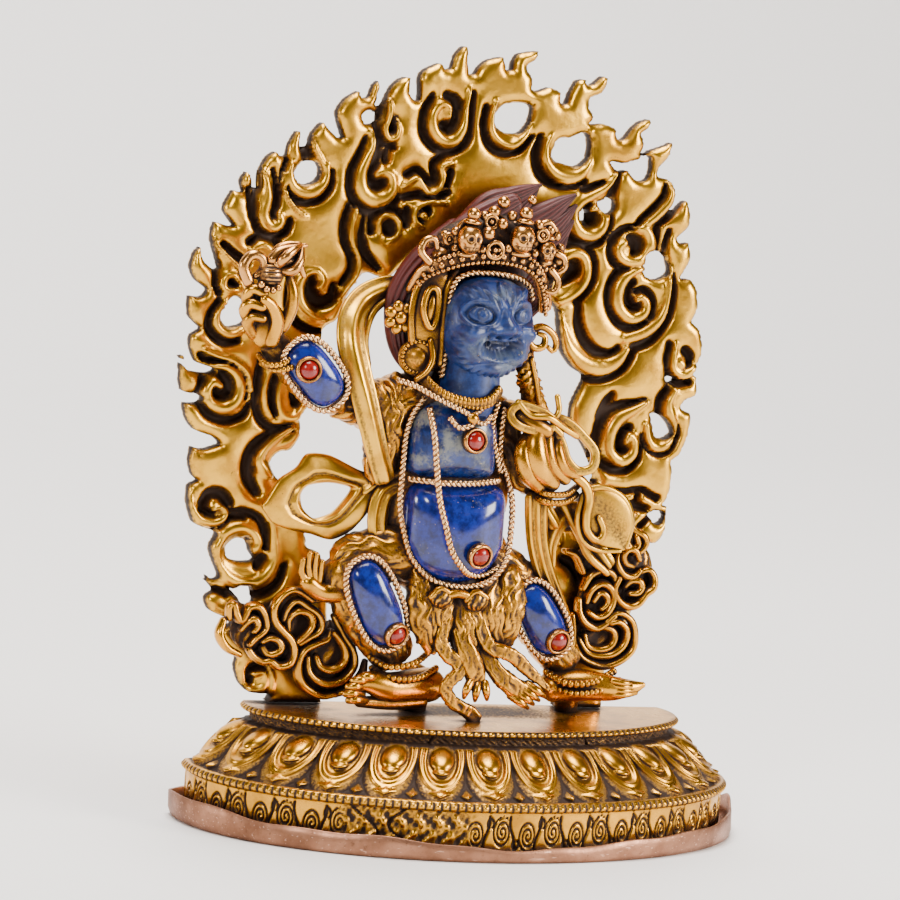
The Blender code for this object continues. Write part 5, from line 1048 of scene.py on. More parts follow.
# rings at each station, pushed out by the relief of their kind and joined from the foot to the top
def lotusBase():
    b = base
    rimWidth, rimDepth = b["wallWidth"] + b["rimProud"], b["wallDepth"] + b["rimProud"]
    foot = 1.5
    petalWidth, petalDepth = rimWidth - foot, rimDepth - foot
    waistWidth, waistDepth = b["topWidth"] - 1.5, b["topDepth"] - 1.5
    stations = []  # z, half width, half depth, kind, share along that kind
    for t in np.linspace(0, 1, 27):
        stations.append((b["footZ"] + t * (b["wallTop"] - b["footZ"]), b["wallWidth"], b["wallDepth"],
            "wall", t))
    for t in np.linspace(0.08, 1, 10):
        stations.append((b["wallTop"] + t * 1.15, b["wallWidth"], b["wallDepth"], "rim", t))
    stations.append((b["ledge"], rimWidth - 0.6, rimDepth - 0.6, "ledge", 0))
    for t in np.linspace(0, 1, 46):
        inset = b["petalInset"] * (t**0.9)
        z = b["ledge"] + 0.05 + t * (b["petalTop"] - b["ledge"])
        stations.append((z, petalWidth - inset, petalDepth - inset, "petals", t))
    for t in np.linspace(0.1, 1, 9):
        stations.append((b["petalTop"] + t * 1.25, waistWidth, waistDepth, "waist", t))
    for t in np.linspace(0.08, 1, 9):
        stations.append((b["topZ"] - 1.0 + t * 0.95, b["topWidth"] - 0.9, b["topDepth"] - 0.9, "topRim", t))
    for t in (0.985, 0.965, 0.93, 0.85, 0.72, 0.58, 0.44, 0.3, 0.16, 0.05):
        stations.append((b["topZ"], b["topWidth"] * t, b["topDepth"] * t, "top", t))
    rings, dirtAndShadeRings = [], []
    for z, width, depth, kind, t in stations:
        back = b["backY"] * (0.9 * t + 0.1 * (t > 0.9) if kind == "top" else 1)
        ring, outward, length = ovalRing(width, depth, min(back, depth * 0.98), b["columns"])
        columns = len(ring)
        s = np.append(np.linspace(0, length, b["columns"] + 1), np.full(b["backColumns"], -99.0))
        front = s > -90
        share = np.where(front, s / length, 0)
        offset = np.zeros(columns)
        dirtAndShade = np.zeros(columns)
        ends = np.where(front, softStep(0, 0.012, share) * softStep(0, 0.012, 1 - share), 0)
        if kind == "wall":
            curl = wallCurls(s, np.full(columns, t)) * softStep(0.04, 0.14,
                t) * (1 - softStep(0.90, 0.97, t))
            repair = softStep(0.265, 0.285, share) * (1 - softStep(0.425, 0.445, share))
            knobs = 0.5 + 0.5 * np.sin(s * 2.3 + 1.5 * math.sin(t * 9)) * math.cos(t * 8 + 0.4)
            knobs = knobs + 0.25 * np.sin(s * 4.9 - t * 7) * math.sin(t * 17)
            relief = -0.5 * curl * (1 - repair) - 0.45 * (1 - knobs) * repair
            relief = relief - 0.35 * (t < 0.06)
            crack = np.exp(-(((share - 0.30 - 0.02 * math.sin(t * 4)) / 0.0016) ** 2))
            crack = np.maximum(crack,
                np.exp(-(((share - 0.345 - 0.012 * math.sin(t * 6 + 1)) / 0.0016) ** 2)))
            relief = relief - 0.5 * crack * repair
            offset = relief * ends
            # darker in the cut curls and in the low spots of the patched stretch, dirt with painted shade;
            # the cracks dark of themselves
            dirtAndShade = np.clip(curl * (1 - repair) * 1.1 + repair * np.clip(0.8 - knobs, 0, 1) + crack * repair,
                0, 1) * ends
        elif kind == "rim":
            roll = math.sin(math.pi * t) ** 0.5 if t < 1 else 0.5
            bead = 0.5 + 0.5 * np.cos(2 * math.pi * s / b["beadPitch"])
            offset = b["rimProud"] * roll * np.where(front, 0.62 + 0.38 * bead**0.6, 1)
            # darker between the beads: painted shade and dirt
            dirtAndShade = 0.75 * (1 - bead) ** 2 * front
        elif kind == "petals":
            turns = share * b["petals"]
            u = turns - np.floor(turns) - 0.5
            relief, lowDirtAndShade = petalRelief(u, np.full(columns, t))
            lump = 1 + 0.08 * np.sin(np.floor(turns) * 2.4 + 1)
            offset = relief * lump * ends
            dirtAndShade = np.where(front, np.clip(lowDirtAndShade, 0, 1), 0.3)
        elif kind == "waist":
            grain = np.sin(s * 3.1 + 4 * math.sin(t * 3)) * np.sin(t * 9 + np.sin(s * 1.7))
            grain = grain + 0.6 * np.sin(s * 6.7 + t * 11)
            cracks = np.exp(-(((share - 0.372 - 0.008 * t) / 0.0015) ** 2))
            cracks = cracks + np.exp(-(((share - 0.66 + 0.006 * t) / 0.0015) ** 2))
            offset = (0.11 * grain - 0.4 * cracks) * ends
            # darker in the grain's lows and along the foot next to the petals, dirt with painted shade; the
            # cracks dark of themselves
            dirtAndShade = np.clip(0.22 - 0.25 * grain + 1.0 * cracks + 0.5 * (t < 0.2), 0, 1)
            dirtAndShade = dirtAndShade * front + 0.3 * (~front)
        elif kind == "topRim":
            roll = math.sin(math.pi * t) ** 0.5 if t < 1 else 0.55
            bead = 0.5 + 0.5 * np.cos(2 * math.pi * s / 1.05)
            offset = 0.9 * roll * np.where(front, 0.74 + 0.26 * bead**0.6, 1)
            # darker between the beads: painted shade and dirt
            dirtAndShade = 0.7 * (1 - bead) ** 2 * front
        place = ring + outward * offset[:, None]
        place[:, 1] = np.minimum(place[:, 1], b["backY"])
        level = np.full(columns, z)
        if kind == "top":
            # a darker patch on the top in front of the middle, under the figure
            patch = np.exp(-(((place[:, 0] - 1.0) / 13.0) ** 4) - ((place[:, 1] + 2.4) / 5.0) ** 4)
            level = level - 0.04
            dirtAndShade = 0.62 * patch
        rings.append(np.column_stack([place, level]))
        dirtAndShadeRings.append(dirtAndShade)
    rings = np.stack(rings)
    first, last = rings[0].mean(0), rings[-1].mean(0)
    return closedRings(rings, first, last, np.stack(dirtAndShadeRings))


makePiece("lotus_base_cast", [lotusBase()], gilt["gilt_base"], ["lotus_base"])

sheet = {"halfWidth": 41.9, "halfDepth": 27.8, "back": 4.25, "thickness": 0.45, "edge": 3.0, "wave": 0.75,
    "columns": 260}


# the copper sheet: an oval floor turned up round the wall, its edge wavy and higher at the right end
def copperTray():
    t = sheet
    rings = []
    levels = ((0.9, 0.0), (0.25, 0.05), (0.0, 0.3), (0.0, 0.65), (0.0, 1.0), (0.12, 1.03),
        (t["thickness"], 1.0), (t["thickness"], 0.5), (t["thickness"] + 0.5, 0.16), (6, 0.15))
    for inset, rise in levels:
        ring, outward, length = ovalRing(t["halfWidth"] - inset, t["halfDepth"] - inset,
            t["back"] - inset * 0.5, t["columns"])
        share = np.append(np.linspace(0, 1, t["columns"] + 1),
            np.linspace(1, 0, base["backColumns"] + 2)[1:-1])
        edge = t["edge"] + t["wave"] * np.sin(9.4 * share + 0.6) * 0.8
        edge = edge + 0.35 * np.sin(23 * share) + 0.12 * np.sin(61 * share)
        edge = edge + 1.6 * np.exp(-(((share - 0.955) / 0.03) ** 2))
        edge = edge - 0.9 * np.exp(-(((share - 0.60) / 0.10) ** 2))
        bend = 0.35 * np.sin(17 * share + 1) + 0.22 * np.sin(41 * share)
        bend = bend + 0.8 * np.exp(-(((share - 0.955) / 0.025) ** 2))
        out = outward * (bend * (rise > 0.2) * rise * 0.6)[:, None]
        rings.append(np.column_stack([ring + out, edge * rise]))
    rings = np.stack(rings)
    return closedRings(rings, (0, -6, 0), (0, -6, 0.45), 0.0)


makePiece("copper_tray", [copperTray()], copper, ["bottom_plate"])
print("aureole and base ready")


# Stones, corals, bezels and wires, on the places that the solids give them

# centre, half width, half length, half depth, tilt
stones = {
    "chest_stone": ((-8.0, -6.5, 55.4), 6.4, 4.5, 4.6, 0),
    "belly_stone": ((-6.7, -7.0, 43.2), 7.3, 6.4, 5.4, 0),
    "forearm_stone": ((-28.9, -7.0, 64.3), 3.0, 4.9, 2.4, -42),
    "right_shin_stone": ((-17.3, -7.2, 32.6), 3.0, 6.4, 2.7, -27),
    "left_shin_stone": ((7.9, -6.6, 30.8), 2.9, 5.4, 2.6, -32),
}
corals = {
    "chest": ("chest_stone", -5.8, 56.3),
    "belly": ("belly_stone", -4.0, 40.3),
    "forearm": ("forearm_stone", -30.4, 65.0),
    "right_shin": ("right_shin_stone", -14.4, 28.4),
    "left_shin": ("left_shin_stone", 10.1, 28.0),
}
setting = {"bezelRadius": 1.85, "coralRadius": 1.38, "wireRadius": 0.46, "strandRadius": 0.27, "strands": 2,
    "sides": 7, "twist": 1.5}


stonePower = 2.6


# the front of a stone at x, z and the way out of it there; the stone is |x/a|^p + |y/b|^p + |z/c|^p = 1
def stoneFront(name, x, z):
    centre, wide, tall, deep, tilt = stones[name]
    a = math.radians(tilt)
    right = math.cos(a) * (x - centre[0]) - math.sin(a) * (z - centre[2])
    up = math.sin(a) * (x - centre[0]) + math.cos(a) * (z - centre[2])
    rest = max(0.02, 1 - (abs(right) / wide) ** stonePower - (abs(up) / tall) ** stonePower)
    depth = deep * rest ** (1 / stonePower)
    fall = stonePower - 1
    slopes = [(abs(k) / r) ** fall / r * math.copysign(1, k) for k, r in ((right, wide), (up, tall))]
    out = Vector((
        math.cos(a) * slopes[0] + math.sin(a) * slopes[1],
        -((depth / deep) ** fall) / deep,
        -math.sin(a) * slopes[0] + math.cos(a) * slopes[1],
    ))
    return Vector((x, centre[1] - depth, z)), out.normalized()


# cut square where stones meet: the outline's power in XZ goes from lower to upper as z rises, its middle
# bulges 2.4
def cutStone(centre, radii, lower, upper, tilt=0.0, taper=0.0):
    part = blob((0, 0, 0), (1, 1, 1), rows=56, columns=90)
    d = part[0]
    power = lower + (upper - lower) * softStep(-0.35, 0.35, d[:, 2])
    outline = (np.abs(d[:, 0]) ** power + np.abs(d[:, 2]) ** power) ** (2.4 / power)
    full = d / (outline + np.abs(d[:, 1]) ** 2.4)[:, None] ** (1 / 2.4)
    full[:, 0] *= 1 - taper * full[:, 2]
    full = full * np.array(radii)
    return full @ tiltTurn(tilt) + np.array(centre), part[1], part[2], part[3]


# centre, half sizes, powers of the lower and upper outline, tilt, taper
stoneCuts = {
    "chest_stone": ((-7.4, -6.0, 55.9), (6.5, 4.6, 5.5), 6.0, 3.0, 0, 0.05),
    "belly_stone": ((-6.3, -6.3, 42.7), (7.3, 5.2, 7.3), 2.1, 6.0, 0, 0.0),
    "forearm_stone": ((-28.9, -6.9, 64.3), (3.1, 2.6, 5.1), 2.8, 2.8, -42, 0),
    "right_shin_stone": ((-17.3, -7.1, 32.6), (3.1, 2.8, 6.5), 2.5, 2.9, -27, 0.08),
    "left_shin_stone": ((7.9, -6.5, 30.8), (3.0, 2.7, 5.5), 2.5, 2.9, -32, 0.08),
}
for name, cut in stoneCuts.items():
    makePiece(name + "_cut", [cutStone(*cut)], lapisPale if name == "chest_stone" else lapis,
        [name])

for name, (stone, x, z) in corals.items():
    place, out = stoneFront(stone, x, z)
    radius, inner = setting["bezelRadius"], setting["coralRadius"]
    ring = [(radius, -0.4), (radius, 0.35), (radius - 0.12, 0.62), (radius - 0.3, 0.7), (inner + 0.02, 0.5),
        (inner + 0.02, -0.3)]
    makePiece(name + "_setting", [turned(place, out, ring, 40, 0.15)], gilt["rose_gilt"],
        [name + "_bezel"])
    domeLine = [(inner * math.cos(a), 0.1 + 1.0 * math.sin(a))
        for a in np.radians([0, 12, 25, 38, 50, 62, 74, 84])]
    makePiece(name + "_cabochon", [turned(place, out, [(inner, -0.25)] + domeLine, 32)], coral,
        [name + "_coral"])


# strands wound about a route: each runs at a small radius from it and turns once in each pitch
def twistedWire(route, closed=False, size=1.0):
    path = evenPath(smoothPath(route, 8, closed), 0.17, closed)
    run = np.append(0, np.cumsum(np.linalg.norm(np.diff(path, axis=0), axis=1)))
    pitch = setting["twist"] * size
    if closed:
        whole = run[-1] + np.linalg.norm(path[0] - path[-1])
        pitch = whole / max(1, round(whole / pitch))
    tangent, side, lift = pathFrames(path, closed)
    offset = (setting["wireRadius"] - setting["strandRadius"]) * size + 0.04
    parts = []
    for k in range(setting["strands"]):
        phase = 2 * math.pi * (run / pitch + k / setting["strands"])
        centre = path + offset * (np.cos(phase)[:, None] * side + np.sin(phase)[:, None] * lift)
        _, across, out = pathFrames(centre, closed)
        turn = fullTurn(setting["sides"])
        radius = setting["strandRadius"] * size
        rings = centre[:,
            None] + radius * (np.cos(turn)[:, None] * across[:, None] + np.sin(turn)[:, None] * out[:, None])
        if closed:
            parts.append((rings.reshape(-1, 3), gridFaces(len(rings), setting["sides"], True, True),
                noTriangles, np.zeros(rings.size // 3)))
        else:
            parts.append(closedRings(rings, centre[0], centre[-1]))
    return parts


# the rim of a stone in its own plane, proud mm outside it and a little in front of its middle
def rimRoute(name, proud):
    centre, wide, tall, _, tilt = stones[name]
    angle = fullTurn(24)
    reach = (np.abs(np.cos(angle)) ** stonePower + np.abs(np.sin(angle)) ** stonePower) ** (-1 / stonePower)
    right, up = np.cos(angle) * (reach * wide + proud), np.sin(angle) * (reach * tall + proud)
    a = math.radians(tilt)
    x = centre[0] + math.cos(a) * right + math.sin(a) * up
    z = centre[2] - math.sin(a) * right + math.cos(a) * up
    return np.column_stack([x, np.full(24, centre[1] - 1.1), z])


# how far the camera's rays go to the side and down for each mm of depth; the fall grows below the middle
# level
sight = {"sideways": 0.384, "fall": 0.13, "fallBelow": 0.0015, "middle": 55}


# places (x, z) read on an upright plane, slid along the camera's rays to the depths y, which are spread
# along them
def seen(pairs, y, plane=-8.0):
    pairs = np.array(pairs, float)
    rows = np.column_stack([pairs[:, 0], spreadOver(len(pairs), y), pairs[:, 1]])
    away = rows[:, 1] - plane
    rows[:, 2] -= (sight["fall"] + sight["fallBelow"] * (sight["middle"] - rows[:, 2])) * away
    rows[:, 0] += sight["sideways"] * away
    return rows


torsoLine = [
    (-12.6, 61.7), (-14.2, 59.2), (-14.9, 56.4), (-15, 53.2), (-15, 49.7), (-14.9, 46.2), (-14.1, 43),
    (-12.7, 39.4), (-10.4, 36.9),
    (-7.9, 35.6), (-4.7, 35.2), (-1.6, 35.7), (0.5, 37.3), (1.7, 39.8), (1.9, 43), (1.8, 47), (0.9, 50.6),
    (-0.6, 54), (-0.8, 57.2), (-0.6, 60.6),
]
faceLine = [
    (-10.4, 64.6), (-10.1, 68), (-10.0, 71.3), (-10.1, 74.6), (-9.9, 76.9), (-9.1, 78.5), (-7.4, 79.3),
    (-5.4, 79.5),
    (-3.4, 79.5), (-1, 79.2), (0.6, 78.7), (1.8, 77.8), (2.2, 76.2),
]
ropeLine = [
    (-12.1, 60.4), (-11.9, 57), (-11.4, 52.8), (-10.6, 48.4), (-9.8, 44.6), (-8.6, 41), (-6.4, 38.4),
    (-4.2, 37.2),
    (-1.9, 37.2), (0.2, 38.4),
]
waistLine = [(-13.9, -7.6, 50.2), (-12.2, -9.2, 50.2), (-9.2, -10.4, 50.1), (-5.2, -10.4, 50.2),
    (-1.8, -9.2, 50.4), (-0.4, -7.6, 50.4)]
ropeRoute = []
for x, z in ropeLine:
    front = min(stoneFront("chest_stone", x, z)[0].y, stoneFront("belly_stone", x, z)[0].y)
    front = min(front, -10.9) if abs(z - 50.2) < 3 else front
    ropeRoute.append((x, front - 0.75, z))
wires = {
    "torso_wire": twistedWire(seen(torsoLine, (-7.2, -7.4, -7.9, -10.0, -9.2, -7.6, -7.4))),
    "face_wire": twistedWire(seen(faceLine, (-6.8, -7.2, -8.2, -8.4, -6.4))),
    "hanging_rope": twistedWire(ropeRoute),
    "waist_wire": twistedWire(waistLine),
}
for name in ("forearm", "right_shin", "left_shin"):
    wires[name + "_wire"] = twistedWire(rimRoute(name + "_stone", 0.6), True)
for name, parts in wires.items():
    makePiece(name + "_strands", parts, gilt["wire_gilt"], [name])

head = {"centre": (-4.1, -6.4, 71.9), "half": (6.4, 5.4, 7.2), "turn": 10.0}


# carving of the head over x and z of the unit direction: brows, three eyes, nose, cheeks, open mouth and
# beard
def faceRelief(d):
    x, z = d[:, 0], d[:, 2]
    side = np.abs(x)
    front = np.clip(-d[:, 1] * 2.2 - 0.35, 0, 1)

    def bump(middle, level, wide, tall, across=x):
        return np.exp(-(((across - middle) / wide) ** 2) - ((z - level) / tall) ** 2)

    def ring(middle, level, wide, tall, thick, across=side):
        reach = np.hypot((across - middle) / wide, (z - level) / tall)
        return np.exp(-(((reach - 1) / thick) ** 2))

    browZ = 0.40 + 0.50 * side - 0.5 * (side - 0.3) ** 2
    brow = np.exp(-(((z - browZ) / 0.10) ** 2)) * softStep(0.07, 0.16,
        side) * (1 - softStep(0.74, 0.86, side))
    strokes = 0.5 + 0.5 * np.cos((side * 0.9 - (z - browZ) * 0.9) * 46)
    rise = brow * (0.09 + 0.08 * strokes) + 0.04 * bump(0.42, 0.42, 0.30, 0.10, side)
    # nose with broad wings, eyeballs under thick lids, cheeks
    rise += 0.50 * bump(0, 0.03, 0.17, 0.14) + 0.22 * bump(0, 0.28, 0.11, 0.20)
    rise += 0.28 * bump(0.24, -0.01, 0.11, 0.09, side) - 0.16 * bump(0.14, -0.105, 0.05, 0.035, side)
    eye = np.hypot((side - 0.49) / 0.235, (z - 0.26) / 0.135)
    rise += 0.10 * dome(np.clip(eye, 0, 1)) - 0.07 * ring(0.49, 0.26, 0.25, 0.15, 0.12)
    rise += 0.065 * ring(0.49, 0.265, 0.315, 0.205, 0.13)
    pupil = np.hypot(side - 0.47, z - 0.255)
    rise -= 0.03 * np.exp(-(((pupil - 0.085) / 0.016) ** 2)) + 0.03 * np.exp(-((pupil / 0.025) ** 2))
    third = np.abs(x) / (0.085 * np.clip(1 - ((z - 0.70) / 0.17) ** 2, 0.05, 1))
    open3 = np.abs(z - 0.70) < 0.16
    rise += (0.06 * dome(np.clip(third, 0, 1)) - 0.06 * np.exp(-(((third - 1.05) / 0.25) ** 2))) * open3
    rise += 0.24 * bump(0.60, -0.06, 0.20, 0.15, side) + 0.10 * bump(0.58, -0.42, 0.22, 0.2, side)
    fold = np.exp(-(((side - 0.29 - 0.45 * (-0.02 - z)) / 0.04) ** 2)) * softStep(-0.42, -0.3,
        z) * (1 - softStep(-0.08, 0.02, z))
    rise -= 0.07 * fold
    # open mouth under a raised upper lip, with a row of teeth, two fangs and the tongue
    mouthZ = -0.38 + 0.16 * side
    mouth = (np.abs(x / 0.43) ** 2.6 + np.abs((z - mouthZ) / 0.175) ** 2.6) ** (1 / 2.6)
    hollow = 1 - softStep(0.80, 1.0, mouth)
    rise -= 0.28 * hollow
    teeth = hollow * np.exp(-(((z - mouthZ - 0.115) / 0.035) ** 2)) * (0.3 + 0.7 * np.abs(np.sin(x * 27)))
    fangs = hollow * bump(0.25, -0.30, 0.035, 0.09, side)
    lower = hollow * np.exp(-(((z - mouthZ + 0.135) / 0.03) ** 2)) * (0.3 + 0.7 * np.abs(np.sin(x * 27)))
    tongue = hollow * bump(0, -0.43, 0.18, 0.04)
    inside = np.maximum.reduce([teeth, fangs, 0.6 * lower, 0.6 * tongue])
    rise += 0.20 * inside + 0.09 * np.exp(-(((mouth - 1.12) / 0.08) ** 2))
    rise -= 0.07 * bump(0, -0.64, 0.45, 0.035)
    # chin and a ridge of short beard strokes along the jaw
    jaw = np.hypot(x * 0.92, (z + 0.12) * 1.05)
    ridge = np.exp(-(((jaw - 0.79) / 0.085) ** 2)) * (1 - softStep(-0.16, 0.06, z))
    curls = np.cos(np.arctan2(x, -(z + 0.12)) * 34 + 9 * jaw)
    rise += 0.09 * bump(0, -0.72, 0.25, 0.11) + ridge * (0.045 + 0.03 * curls)
    rise *= front
    # dark in the open mouth, the eye rings, pupils, folds, brow and beard gaps, nostrils and round the third
    # eye: painted shade and dirt in the carved hollows
    dirtAndShade = 1.2 * hollow * (1 - 0.8 * inside) + 0.8 * np.exp(-(((pupil - 0.085) / 0.02) ** 2))
    dirtAndShade += 0.9 * ring(0.49, 0.26, 0.25, 0.15,
        0.12) + 0.7 * fold + 0.7 * brow * (1 - strokes) + 0.5 * ridge * (curls < -0.3)
    dirtAndShade += 0.8 * bump(0.13, -0.10, 0.06, 0.04, side) + 0.7 * np.exp(-(((third - 1.1) / 0.3) ** 2)) * open3
    return rise, np.clip(dirtAndShade * front, 0, 1)


headStone = blob(head["centre"], head["half"], 0, 2.4, rows=130, columns=220, relief=faceRelief,
    turnZ=head["turn"])
neck = sweep(solidRows([(-5.6, -6.2, 61), (-5.4, -6.2, 64), (-5.0, -6.2, 70)], [4.4, 4.3, 3.6],
    [3.7, 3.7, 3.2]), sides=40)
makePiece("face_carving", [headStone, neck], lapisFace, ["face_stone"])
print("stones, settings and wires ready")


# Figure casting, in several pieces that stand together for the one solid


# a strip seen in the photograph at places on an upright plane, set at the depth y
def strip(pairs, y, widths, depths=None, plane=-8.0, **more):
    return sweep(solidRows(seen(pairs, y, plane), widths, depths), **more)


# rows of short cut strokes on a full form, as on hide and fur
def furRelief(across, along, depth, slant=0.0):
    def relief(d):
        angle = np.arctan2(d[:, 0], -d[:, 1]) * across
        level = d[:, 2] * along + slant * angle
        row = np.floor(level)
        wave = np.cos(2 * math.pi * (angle + 0.5 * np.mod(row, 2))) * np.sin(math.pi * (level - row))
        # the low parts of the strokes darker: dirt and painted shade
        return depth * wave, np.clip(0.35 - 0.9 * wave, 0, 1)

    return relief


figureParts = []
add = figureParts.append
# torso behind the stones, shoulders, hips, all covered with strands of hide
add(stranded(blob((-6.6, -3.2, 48), (9.4, 4.0, 14.5), rows=76, columns=110), 0.22, 1.3, (-0.1, 0, 1)))
add(stranded(blob((-6.3, -3.6, 39.2), (9.6, 4.6, 6.2), rows=50, columns=110), 0.22, 1.3, (-0.2, 0, 1)))
shoulders = [(-18.5, -3.4, 59.5), (-13, -3.2, 60.8), (-7, -3, 61), (-1, -3.2, 59)]
add(stranded(sweep(solidRows(shoulders, [3.6, 3.9, 3.6, 3.4]), sides=72, spacing=0.3), 0.25, 1.2,
    (0.5, 0, 1)))
add(stranded(blob((-16.7, -4.4, 56.6), (2.9, 3.2, 8.0), 7, rows=90, columns=80), 0.3, 1.1, (-0.25, 0, 1)))
add(sweep(solidRows([(-5.5, -3.0, 60), (-5.2, -3.0, 69)], [5.0, 5.0], [3.0, 3.0]), sides=24))
collar = seen([(-13.2, 64.6), (-11.8, 63.2), (-9.6, 61.9), (-6, 61.1), (-3.2, 61.5), (-1.9, 63)],
    (-6.6, -9.6, -10.4, -9.0))
add(sweep(solidRows(collar, 0.85), sides=14, grimeAndShade=0.4))
collarRun = evenPath(smoothPath(collar, 8), 0.62)
add(beads(collarRun + np.array([0, -0.55, 0.3]), 0.40, squash=1.7))
add(beads(collarRun + np.array([0, -0.50, -0.5]), 0.38))

# throat rope with its knot, and the small rope beside it
ropes = []
ropes += twistedWire(seen([(-16.8, 64), (-14, 63.2), (-11, 61.8), (-8, 60.5), (-6, 59.6), (-5, 58.4),
    (-7, 57.6), (-8.6, 59)], (-8.2, -11.3, -11.6)), size=0.9)
ropes += twistedWire(seen([(-2.3, 61.8), (-4.2, 60.2), (-5.2, 59.2), (-3.5, 58.3), (-2.4, 59.6)],
    (-9.4, -11.2, -10.4)), size=0.8)
ropes += twistedWire(seen([(-1.6, 61.6), (-2.2, 58), (-1.4, 54.6), (-0.4, 51.6)], (-8.8, -9.0, -8.4)),
    size=0.9)
add(blob(seen([(-5.2, 59)], -11.4)[0], (0.9, 0.7, 0.8), 30))

# ears: a broad panel with a framed leaf, flower discs, earrings, the curl and the hanging strip at the right
add(strip([(-12.4, 67.5), (-12.9, 71), (-12.9, 75), (-12.2, 78.6)], -5.4, (2.4, 3.0, 3.1, 2.5), 1.7,
    sides=36))
add(strip([(-12.9, 71.6), (-13.9, 74), (-13.3, 76.8), (-12.0, 76.8), (-11.7, 74.2), (-12.1, 71.8)], -7.5,
    0.5, sides=12, closed=True))
add(blob(seen([(-12.8, 74.2)], -7.2)[0], (0.7, 0.5, 2.0), 6, rows=14, columns=20))
add(strip([(-15.2, 69.6), (-15.6, 73), (-15.0, 77), (-13.0, 79.4)], -6.2, 0.6, 0.6, sides=12))
add(strip([(-10.9, 66.6), (-10.8, 70), (-10.9, 74), (-10.7, 77), (-9.6, 79.4)], -7.0, 0.5, 0.6, sides=12))
flower = seen([(-17.3, 72.7)], -5.6)[0]
for k in range(7):
    a = 2 * math.pi * k / 7
    add(blob(flower + 1.5 * np.array([math.cos(a), -0.05, math.sin(a)]), (0.95, 0.6, 0.8), -math.degrees(a),
        rows=10, columns=14))
add(blob(flower + np.array([0, -0.5, 0]), (0.9, 0.6, 0.9), rows=10, columns=16))
# a dark disc behind the petals: painted shade between them
add(blob(flower + np.array([0, 0.5, 0]), (2.1, 0.6, 2.1), grimeAndShade=0.8, rows=10, columns=20))
earring = seen([(-14.2, 67.3)], -6.4)[0]
add(turned(earring, (-0.25, -1, 0.1),
    [(2.6, -0.6), (2.7, 0.0), (2.4, 0.4), (1.9, 0.2), (1.5, 0.25), (1.1, 0.6), (0.5, 0.8), (0.1, 0.85)], 40,
    0.2))
a = np.linspace(0, 2 * math.pi, 25)[:-1]
add(beads(earring + np.column_stack([2.2 * np.cos(a), -0.45 + 0 * a - 0.5 * np.cos(a), 2.2 * np.sin(a)]),
    0.30))
add(strip([(-12.4, 69.6), (-11.9, 67.4), (-12.6, 65.4), (-14, 64.2)], (-7.4, -8, -7.6), 0.45, sides=10))
add(strip([(1.8, 70.6), (3.0, 69.4), (4.4, 69.6), (4.6, 71.0), (3.6, 71.4)], -6.4, (0.6, 0.55, 0.35),
    sides=12))
add(strip([(2.4, 71.8), (4.0, 72.4), (5.6, 71.6), (6.4, 70.2), (6.0, 69.0), (5.2, 69.6)], -5.2,
    (0.6, 0.5, 0.35), sides=12))
add(roughened(strip([(1.6, 69.2), (2.3, 66), (3.4, 62.8), (4.8, 59.8)], -5.0, (1.3, 1.5, 1.7), 1.0,
    sides=24, spacing=0.3), 0.28, 1.3))
add(strip([(2.9, 67.8), (3.9, 64.6), (4.6, 61)], -6.0, 0.4, sides=8))

# raised right arm
add(stranded(blob((-20.6, -3.4, 60.2), (5.0, 3.2, 3.2), -4, rows=60, columns=80), 0.25, 1.2, (1, 0, 0.6)))
forearm = [(-21.5, -3.8, 61), (-26.4, -4.3, 61.3), (-30.0, -4.8, 64.2), (-34, -5.2, 67.4)]
add(stranded(sweep(solidRows(forearm, [2.4, 2.8, 2.9, 2.2]), sides=60, spacing=0.35), 0.18, 1.5,
    (-1, 0, 0.8), 0.5))
for shift in (0.0, 1.15):
    cuff = seen([(-37.4 + shift * 0.5, 66.6 - shift), (-36 + shift, 65.3 - shift * 0.6),
        (-33.4 + shift, 65.6 - shift * 0.4), (-31.9 + shift * 0.4, 67.9 - shift)], (-5.6, -8.4, -8.6, -6.0))
    add(beadRow(cuff, 0.62, 0.44))
    add(sweep(solidRows(cuff + np.array([0, 0.25, 0]), 0.42), sides=10))
palm = seen([(-36.4, 70.6)], -6.6)[0]
add(blob(palm, (2.5, 1.5, 3.2), 12, rows=20, columns=28))
fingers = {
    "first": ([(-34.4, 70.6), (-33.2, 73), (-33.1, 75.4), (-33.8, 77.4)], (-7.4, -8.6, -8.2),
        (1.0, 0.85, 0.6)),
    "second": ([(-38.6, 72.6), (-39.6, 74.2), (-38.9, 75.6), (-37.2, 75)], (-6.6, -8.4, -9.2),
        (0.95, 0.9, 0.7)),
    "third": ([(-38.8, 71), (-39.8, 72.6), (-39, 73.6), (-37.3, 73.2)], (-6.6, -8.4, -9.2),
        (0.95, 0.9, 0.7)),
    "little": ([(-38.4, 69.4), (-39.3, 70.8), (-38.6, 71.8), (-37.1, 71.6)], (-6.6, -8.2, -8.8),
        (0.85, 0.8, 0.6)),
    "thumb": ([(-35.6, 68.6), (-35, 71.4), (-36, 73.4), (-37, 74.2)], (-7.6, -9.0, -9.6), (1.05, 0.95, 0.7)),
}
for route, y, widths in fingers.values():
    add(strip(route, y, widths, sides=14))

